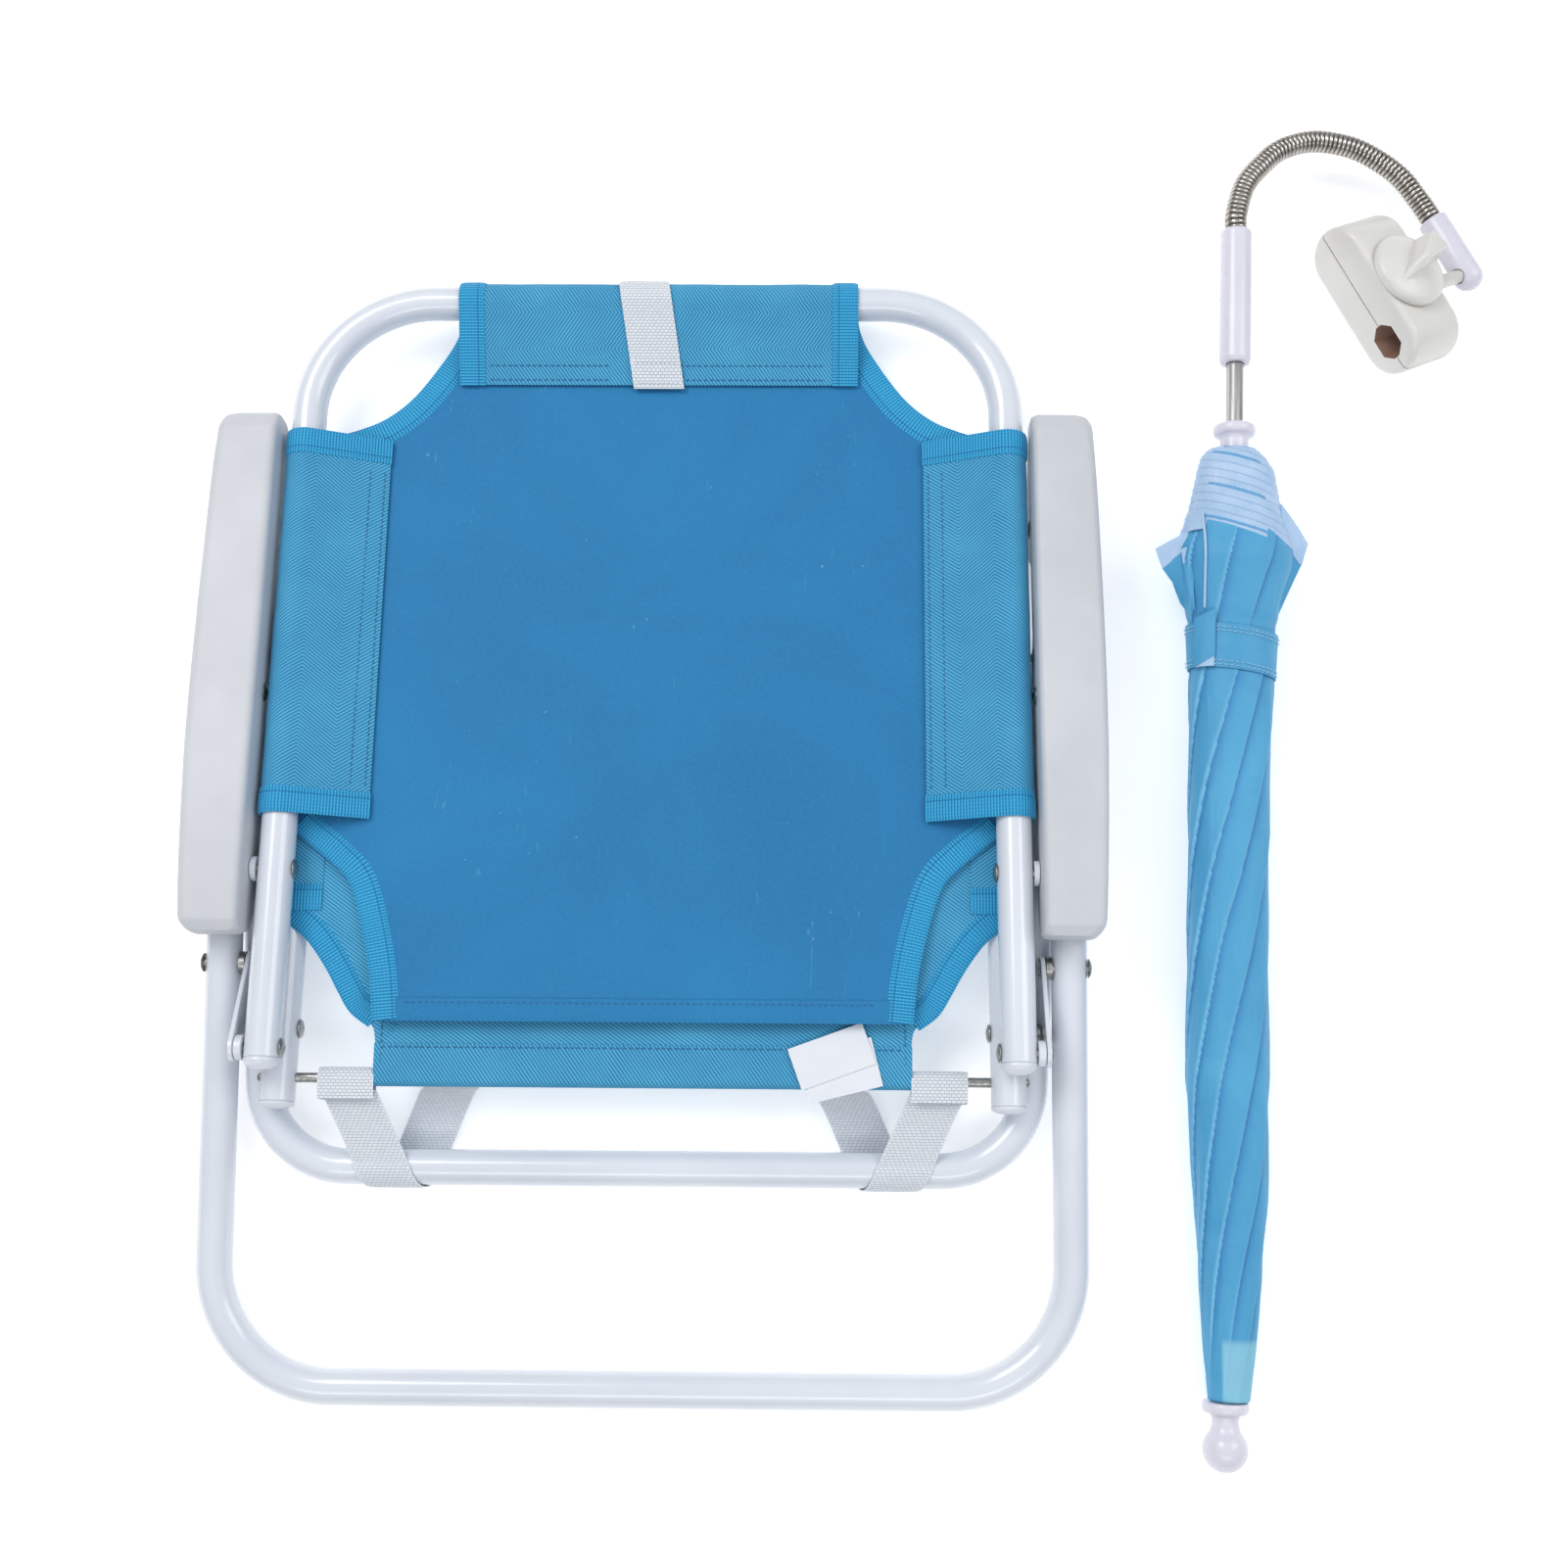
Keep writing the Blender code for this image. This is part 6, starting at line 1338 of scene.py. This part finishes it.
# the cloth closes on the runner above and on the shaft below
top_rings = [(0.90, 153.0), (0.72, 152.6), (0.585, 150.5)]
low_rings = [(0.93, -277.6), (0.62, -277.4)]
pre = [np.stack([V[0, :, 0] * k, V[0, :, 1] * k, np.full(CN, along(y) / MM)], 1) for k, y in top_rings[::-1]]
post = [np.stack([V[-1, :, 0] * k, V[-1, :, 1] * k, np.full(CN, along(y) / MM)], 1) for k, y in low_rings]
VV = np.concatenate([np.array(pre), V, np.array(post)])
npre, npost = len(pre), len(post)
padded_att = {k: np.concatenate([np.repeat(a[:1], npre, 0), a, np.repeat(a[-1:], npost, 0)]).reshape(-1) for k, a in att.items()}
yy = np.concatenate([[y for _, y in top_rings[::-1]], CY, [y for _, y in low_rings]])
uv = np.stack([np.broadcast_to(phi[None] * 0.018, (len(yy), CN)), np.broadcast_to(yy[:, None] * MM, (len(yy), CN))], -1).reshape(-1, 2)
padded_att["cloth"] = uv
faces = [q for q in grid_faces(len(yy), CN, wrap=True)]
canopy = piece("canopy_cloth", VV.reshape(-1, 3) * MM, faces, M_CANOPY, "umbrella", UMB_M, ("umbrella_canopy",), attrs=padded_att, angle=None)


def at_umb(x, y, z):
    """A point beside the umbrella's axis, in millimetres: x right, z up."""
    p = umb(y) / MM
    return (p.x + x, p.y, p.z + z)


def quad_flap(name, corners, hem, half=0.35, bulge=0.8, n=18):
    """A corner of cloth standing out of the wrap: (x, y, z) beside the axis, inner top, outer top, outer low, inner low."""
    A, B, C, D = (np.array(at_umb(*p), float) for p in corners)
    P = np.zeros((n, n, 3))
    for i in range(n):
        for j in range(n):
            s_, t_ = i / (n - 1), j / (n - 1)
            P[i, j] = (A * (1 - s_) + B * s_) * (1 - t_) + (D * (1 - s_) + C * s_) * t_
            P[i, j, 2] += bulge * math.sin(math.pi * s_) * (1 - 0.4 * t_) + 0.3 * math.sin(5 * t_ + 2 * s_)
    v, f, at, n_ = shell(P * MM, half * MM)
    at.update({k: np.zeros(len(v)) for k in ("edge", "shade", "line", "sliver", "pale")})
    at["hem"] = np.full(len(v), hem)
    return piece(name, v, f, M_CANOPY, "umbrella", slot="sky_blue_canopy_fabric", attrs=at, angle=50)


quad_flap("canopy_left_hem", [(-19.5, 113.0, 9.0), (-36.8, 105.0, 2.6), (-33.2, 95.6, 2.2), (-18.8, 106.4, 9.6)], 1.0)
quad_flap("canopy_left_corner", [(-18.6, 107.2, 9.0), (-33.4, 96.0, 1.8), (-26.0, 87.0, 1.0), (-19.4, 72.5, 6.0)], 0.0)
quad_flap("canopy_left_under", [(-18.0, 104.0, 5.0), (-29.0, 93.5, -1.5), (-24.0, 80.0, -1.0), (-19.4, 71.0, 3.0)], 0.0)
quad_flap("canopy_left_second_hem", [(-25.8, 102.9, 8.4), (-21.2, 104.4, 10.6), (-20.8, 96.6, 10.6), (-24.9, 96.2, 8.8)], 1.0, 0.3, 0.4)
quad_flap("canopy_left_second", [(-24.9, 96.8, 8.4), (-20.8, 97.2, 10.2), (-19.6, 74.0, 10.2), (-20.4, 74.0, 9.6)], 0.0, 0.3, 0.3)
quad_flap("canopy_right_hem", [(20.6, 125.6, 6.0), (34.0, 107.5, 2.6), (30.9, 96.8, 2.6), (20.2, 106.6, 9.6)], 1.0)
quad_flap("canopy_right_corner", [(19.6, 107.4, 9.0), (30.8, 97.4, 1.8), (19.6, 72.0, 1.5), (16.4, 76.0, 7.0)], 0.0, 0.35, 0.4)


# tie strap: a band round the furled cloth, with its tab
tp, tw = np.linspace(0, 2 * math.pi, 160, endpoint=False), np.linspace(66.0, 45.6, 14)
tie_fall = lambda x: 0.15 * x * 0.7
P = np.zeros((len(tw), len(tp), 3))
for i, y in enumerate(tw):
    rad = float(half_of(y)) + 0.45
    for j, p in enumerate(tp):
        r = rad + 0.16 * rnd(p * 2, y * 0.05, seed=12)
        P[i, j] = (r * math.cos(p) + shift_of(y), 0.78 * r * math.sin(p) + 0.1, along(y - tie_fall(r * math.cos(p))) / MM)
outer = P.reshape(-1, 3)
scale_in = np.concatenate([P[..., :2] * 0.965, P[..., 2:]], -1).reshape(-1, 3)
nT = len(tp)
v = np.concatenate([outer, scale_in])
f = grid_faces(len(tw), nT, wrap=True) + grid_faces(len(tw), nT, len(outer), wrap=True, flip=True)
for j in range(nT):
    k = (j + 1) % nT
    f.append((k, j, j + len(outer), k + len(outer)))
    e = (len(tw) - 1) * nT
    f.append((e + j, e + k, e + k + len(outer), e + j + len(outer)))
uv = np.stack([np.broadcast_to(tp[None] * 0.02, (len(tw), nT)), np.broadcast_to(tw[:, None] * MM, (len(tw), nT))], -1).reshape(-1, 2)
at = {k: np.zeros(len(v)) for k in ("edge", "shade", "hem", "line", "sliver", "pale")}
at["cloth"] = np.concatenate([uv, uv])
tie = piece("tie_strap_cloth", v * MM, f, M_CANOPY, "umbrella", UMB_M, ("umbrella_tie_strap",), slot="sky_blue_canopy_fabric", attrs=at)
rows = []
for y in (64.2, 62.4, 48.6, 46.8):
    rad = float(half_of(y)) + 0.85
    line = []
    for p in np.linspace(-math.pi - 0.3, -0.15, 60):
        c = UMB_M @ Vector(((rad * math.cos(p) + shift_of(y)) * MM, (0.78 * rad * math.sin(p) + 0.1) * MM, along(y - tie_fall(rad * math.cos(p)))))
        nrm = (UMB_M.to_3x3() @ Vector((math.cos(p), math.sin(p) / 0.78, 0))).normalized()
        line.append((*c, *nrm))
    rows.append(line)
stitches("tie_strap_stitching", rows, M_THREAD_PALE, "umbrella", pitch=2.6 * MM, length=1.8 * MM, r=0.22 * MM, rise=0.2 * MM, slot="sky_blue_canopy_fabric")


def umb_skin(x, y, over):
    """A point on the furled cloth's upper face at x beside the axis, raised by over."""
    half = float(half_of(y)) + over
    c = (x - shift_of(y)) / half
    c = max(-0.98, min(0.98, c))
    return UMB_M @ Vector((x * MM, -0.78 * half * math.sqrt(1 - c * c) * MM, along(y)))


def skin_patch(name, quad, over, half, mat, pale=0.0, hem=0.0, n=14, slot="sky_blue_canopy_fabric"):
    """A patch of cloth lying on the furled canopy; quad is four (x, y) corners."""
    A, B, C, D = (np.array(p, float) for p in quad)
    P = np.zeros((n, n, 3))
    for i in range(n):
        for j in range(n):
            s_, t_ = i / (n - 1), j / (n - 1)
            xy = (A * (1 - t_) + B * t_) * (1 - s_) + (D * (1 - t_) + C * t_) * s_
            P[i, j] = umb_skin(xy[0], xy[1], over + 0.25 * math.sin(5 * t_) * s_)
    v, f, at, _ = shell(P, half * MM)
    for k in ("edge", "shade", "line", "sliver"):
        at[k] = np.zeros(len(v))
    at["pale"], at["hem"] = np.full(len(v), pale), np.full(len(v), hem)
    return piece(name, v, f, mat, "umbrella", slot=slot, attrs=at)


skin_patch("tie_tab", [(-19.6, 69.4), (-11.2, 73.4), (-11.0, 51.6), (-19.4, 47.0)], 1.9, 0.3, M_CANOPY)
skin_patch("canopy_fold_line", [(-17.6, 119.0), (-16.7, 119.2), (-15.2, 74.0), (-16.0, 74.0)], 1.0, 0.25, M_CANOPY, hem=0.9)
skin_patch("canopy_left_gore_hem", [(-23.5, 118.4), (-17.2, 118.6), (-17.0, 110.6), (-23.1, 110.4)], 0.7, 0.25, M_CANOPY, hem=1.0)
skin_patch("tie_tab_fold", [(-16.1, 51.4), (-11.4, 53.2), (-11.3, 46.9), (-18.6, 46.9)], 1.5, 0.26, M_CANOPY, pale=0.3, hem=0.75)
cad("umbrella_ribs", M_SHAFT)

# ---------------------------------------------------------------- clamp frame and gooseneck
c_u = Vector((0.47, -0.88, 0.0)).normalized()
c_w = Vector((0.88, 0.47, 0.0)).normalized()
c_e = c_w * math.cos(CLAMP_TILT) - Vector((0, 0, 1)) * math.sin(CLAMP_TILT)
c_n = c_w * math.sin(CLAMP_TILT) + Vector((0, 0, 1)) * math.cos(CLAMP_TILT)


def clamp(u, e, n):
    return CLAMP_C + (c_u * u + c_e * e + c_n * n) * MM


ELBOW_E, ELBOW_N, PIVOT_U = 43.5, 10.8, 8.0
hose_knots = [umb(258.0), umb(263.0), umb(271.0), Vector((281.4, 286.5, 27.4)) * MM, Vector((289.6, 297.6, 25.6)) * MM,
              Vector((301.0, 308.0, 23.6)) * MM, Vector((317.4, 313.6, 21.3)) * MM, Vector((335.6, 312.0, 18.9)) * MM,
              Vector((349.2, 306.2, 17.0)) * MM, Vector((360.7, 298.0, 15.2)) * MM, Vector((369.3, 287.6, 13.3)) * MM,
              clamp(-24.9, ELBOW_E, ELBOW_N), clamp(-22.5, ELBOW_E, ELBOW_N)]
PITCH = 2.3 * MM
hose = smooth_line([tuple(p) for p in hose_knots], PITCH / 10)
run = np.concatenate([[0.0], np.cumsum(np.linalg.norm(np.diff(hose, axis=0), axis=1))])
bends = [np.array(p) for p in ((0.288102, 0.295945, 0.025891), (0.31806, 0.313659, 0.021211), (0.352055, 0.304515, 0.01658))]
near = [int(np.argmin(np.linalg.norm(hose - b, axis=1))) for b in bends]
cuts = [0, (near[0] + near[1]) // 2, (near[1] + near[2]) // 2, len(hose) - 1]
bodies = ("umbrella", "gooseneck_2", "gooseneck_3", "gooseneck_end")
for i in range(3):
    a0, a1 = cuts[i], cuts[i + 1]
    part = hose[a0:a1 + 1]
    ph = (run[a0:a1 + 1] / PITCH) % 1.0
    # strip-wound hose: round back, narrow groove
    rad = HOSE_R + 0.3 * MM - 0.9 * MM * np.abs(2 * ph - 1) ** 3
    v, f, at = sweep(part, rad, 28)
    # groove marks the grooves, where the colour is darkened as painted shade
    at["groove"] = np.repeat(np.abs(2 * ph - 1) ** 4, 28)
    b = near[i]
    reach = int(0.011 / (PITCH / 10))
    s0, s1 = hose[max(a0, b - reach)], hose[min(a1, b + reach)]
    nodes = ("gooseneck_1", "gooseneck_2") if i == 0 else ("gooseneck_3",) if i == 1 else ("gooseneck_4",)
    piece("hose_%d" % (i + 1), v, f, M_SPRING, None, nodes=nodes, attrs=at, angle=60, blend=(bodies[i], bodies[i + 1], tuple(s0), tuple(s1)))

# elbow tube with a round end, and its boss round the pivot
prof = [(0, 40.4)] + [(7.0 * math.sin(q), 33.4 + 7.0 * math.cos(q)) for q in np.linspace(0.12, math.pi / 2, 14)]
prof += [(7.0, 1.2), (6.7, 0.4), (6.0, 0.0), (5.6, 0.2), (5.45, 2.5), (0, 2.5)]
v, f = lathe([(r * MM, z * MM) for r, z in prof], clamp(-23.8, ELBOW_E, ELBOW_N), c_u, 48)
me = bpy.data.meshes.new("elbow")
me.from_pydata(v.tolist(), [], f)
elbow = bpy.data.objects.new("elbow_plastic", me)
bpy.context.scene.collection.objects.link(elbow)
weld(elbow)
boolean(elbow, bar(clamp(PIVOT_U, 30, ELBOW_N), c_e, 12 * MM, 3.7 * MM, 32, c_u))
done(elbow, M_FITTING, "gooseneck_end", nodes=("clamp_elbow",), angle=40)

# clamp block, parted on its seam
stadium = []
for k in range(33):
    q = math.pi / 2 - math.pi * k / 32
    stadium.append((CLAMP_ENDS[1] - CLAMP_R + CLAMP_R * math.cos(q), CLAMP_R * math.sin(q)))
for k in range(33):
    q = -math.pi / 2 - math.pi * k / 32
    stadium.append((CLAMP_ENDS[0] + CLAMP_R + CLAMP_R * math.cos(q), CLAMP_R * math.sin(q)))
place_uen = lambda a, b, d: CLAMP_C + c_u * a + c_n * b + c_e * d
BORE_U = 24.0
bore = [(8.6, -1.7), (8.6, 1.7), (4.6, 6.3), (-4.6, 6.3), (-8.6, 1.7), (-8.6, -1.7), (-4.6, -6.3), (4.6, -6.3)]
bore = [((BORE_U + p) * MM, q * MM) for p, q in bore]
for name, sgn, body, node in (("jaw_front", 1.0, "clamp_jaw", "clamp_front_jaw"), ("jaw_back", -1.0, "clamp_back", "clamp_back_jaw")):
    jaw = from_bmesh(name, rounded_prism(stadium, place_uen, -CLAMP_HALF_W, CLAMP_HALF_W, 3.2 * MM, 6))
    off = [(-0.05, -0.05 * sgn), (0.05, -0.05 * sgn), (0.05, 0.35 * MM * sgn), (-0.05, 0.35 * MM * sgn)]
    boolean(jaw, prism(off, place_uen, -0.03, 0.03))
    boolean(jaw, prism(bore, place_uen, -0.03, 0.03))
    boolean(jaw, bar(clamp(0, 0, -20), c_n, 40 * MM, 3.4 * MM, 32))
    if sgn < 0:
        boolean(jaw, prism([(5.8 * MM * math.cos(math.pi / 3 * k), 5.8 * MM * math.sin(math.pi / 3 * k)) for k in range(6)],
                           lambda a, b, d: CLAMP_C + c_u * a + c_e * b + c_n * d, -16 * MM, -9.5 * MM))
    if sgn > 0:
        v, f = lathe([(0, 29.4 * MM), (2.6 * MM, 29.4 * MM), (3.1 * MM, 29.0 * MM), (3.3 * MM, 28.4 * MM), (3.3 * MM, 0), (0, 0)], clamp(PIVOT_U, 10.0, ELBOW_N), c_e, 32)
        bm = bmesh.new()
        vs = [bm.verts.new(p) for p in v]
        for q in f:
            if len(set(q)) > 2:
                bm.faces.new([vs[i] for i in q])
        bmesh.ops.remove_doubles(bm, verts=bm.verts, dist=1e-6)
        bmesh.ops.dissolve_degenerate(bm, edges=bm.edges, dist=1e-7)
        boolean(jaw, bm, "UNION")
    done(jaw, M_CLAMP, body, nodes=(node,), angle=30, extra=(M_BORE,))
    for poly in jaw.data.polygons:
        c = poly.center - CLAMP_C
        u_, e_, n_ = c.dot(c_u) / MM - BORE_U, c.dot(c_e) / MM, c.dot(c_n) / MM
        face_n = poly.normal
        if math.hypot(u_, n_ * 1.2) < 9.2 and abs(face_n.dot(c_e)) < 0.3 and abs(e_) < 17.1 and abs(n_) > 0.4:
            poly.material_index = 1

# thumb knob: a round base with a tall wedge across it, narrow at one end
prof = [(3.3, 24.0), (6, 23.8), (11.0, 22.9), (15.0, 21.7), (17.2, 20.7), (18.2, 19.9), (18.75, 19.0), (18.9, 18.0), (18.9, 16.9), (18.6, 16.2), (18.0, 15.9), (3.3, 15.9)]
v, f = lathe([(r * MM, z * MM) for r, z in prof], CLAMP_C, c_n, 72, loop=True)
me = bpy.data.meshes.new("knob")
me.from_pydata(v.tolist(), [], f)
knob = bpy.data.objects.new("knob_plastic", me)
bpy.context.scene.collection.objects.link(knob)
weld(knob)
grip_dir = (c_e * 0.917 - c_u * 0.40).normalized()
grip_side = c_n.cross(grip_dir).normalized()
corners = [(-16.0, 1.6, 18), (15.6, 8.0, 18), (15.6, -8.0, 18), (-16.0, -1.6, 18),
           (-4.0, 1.4, 33.6), (12.6, 5.4, 33.6), (12.6, -5.4, 33.6), (-4.0, -1.4, 33.6)]
bm = bmesh.new()
vs = [bm.verts.new(CLAMP_C + (grip_dir * p + grip_side * q + c_n * r) * MM) for p, q, r in corners]
for q in ((0, 1, 2, 3), (4, 7, 6, 5), (0, 4, 5, 1), (1, 5, 6, 2), (2, 6, 7, 3), (3, 7, 4, 0)):
    bm.faces.new([vs[k] for k in q])
bmesh.ops.recalc_face_normals(bm, faces=bm.faces)
bmesh.ops.bevel(bm, geom=list(bm.edges), offset=1.25 * MM, segments=4, profile=0.5, affect="EDGES")
boolean(knob, bm, "UNION")
done(knob, M_CLAMP, "clamp_knob", nodes=("clamp_knob",), angle=45)
cad("clamp_screw", M_ZINC)
cad("clamp_nut", M_ZINC, bevel=0.0002)

# ---------------------------------------------------------------- stage
floor_m = Mat("floor_paper", Roughness=0.9, Specular_IOR_Level=0.1, Emission_Strength=0.34)
floor_m.s.inputs["Emission Color"].default_value = (1, 1, 1, 1)
floor_m.set("Base Color", floor_m.mix(floor_m.noise(floor_m.coords(), 3.0), (0.92, 0.92, 0.925, 1), (0.94, 0.94, 0.94, 1)))
me = bpy.data.meshes.new("floor")
me.from_pydata([(-6, -6, -0.0006), (6, -6, -0.0006), (6, 6, -0.0006), (-6, 6, -0.0006)], [], [(0, 1, 2, 3)])
me.materials.append(floor_m.m)
floor = bpy.data.objects.new("floor", me)
bpy.context.scene.collection.objects.link(floor)

world = bpy.context.scene.world or bpy.data.worlds.new("world")
bpy.context.scene.world = world
world.use_nodes = True
bg = world.node_tree.nodes.get("Background") or world.node_tree.nodes.new("ShaderNodeBackground")
bg.inputs[0].default_value = (0.93, 0.96, 1.0, 1.0)
sky = world.node_tree
where = sky.nodes.new("ShaderNodeTexCoord")
parts = sky.nodes.new("ShaderNodeSeparateXYZ")
fade = sky.nodes.new("ShaderNodeMapRange")
sky.links.new(where.outputs["Generated"], parts.inputs[0])
sky.links.new(parts.outputs[2], fade.inputs[0])
for k, v in ((1, 0.0), (2, 1.0), (3, 0.26), (4, 0.80)):
    fade.inputs[k].default_value = v
sky.links.new(fade.outputs[0], bg.inputs[1])


def area_light(name, at, aim, size, energy, tone=(1, 1, 1)):
    data = bpy.data.lights.new(name, "AREA")
    data.shape, data.size, data.size_y, data.energy, data.color = "RECTANGLE", size[0], size[1], energy, tone
    ob = bpy.data.objects.new(name, data)
    ob.location = at
    ob.rotation_euler = (Vector(aim) - Vector(at)).to_track_quat("-Z", "Y").to_euler()
    bpy.context.scene.collection.objects.link(ob)
    return ob


area_light("key_light", (-0.9, 0.9, 1.7), (0.0, 0.0, 0.0), (1.0, 1.0), 16.0, (1.0, 0.99, 0.97))
area_light("fill_light", (1.5, 0.5, 1.5), (0.1, 0.0, 0.0), (0.9, 1.2), 9.0, (0.96, 0.98, 1.0))
area_light("top_light", (0.0, -1.4, 1.6), (0.0, 0.0, 0.0), (1.6, 0.5), 7.0)

cam_data = bpy.data.cameras.new("camera")
cam_data.lens, cam_data.sensor_width, cam_data.sensor_fit = 42.72, 36.0, "HORIZONTAL"
cam_data.clip_start, cam_data.clip_end = 0.01, 50.0
cam = bpy.data.objects.new("camera", cam_data)
bpy.context.scene.collection.objects.link(cam)
cam.matrix_world = (Matrix.Translation(Vector((74.37, -158.46, 862.37)) * MM) @ Matrix.Rotation(0.0055512, 4, "Z")
                    @ Matrix.Rotation(0.1789352, 4, "X") @ Matrix.Rotation(0.0138452, 4, "Y"))
bpy.context.scene.camera = cam
bpy.context.scene.view_settings.view_transform = "Standard"
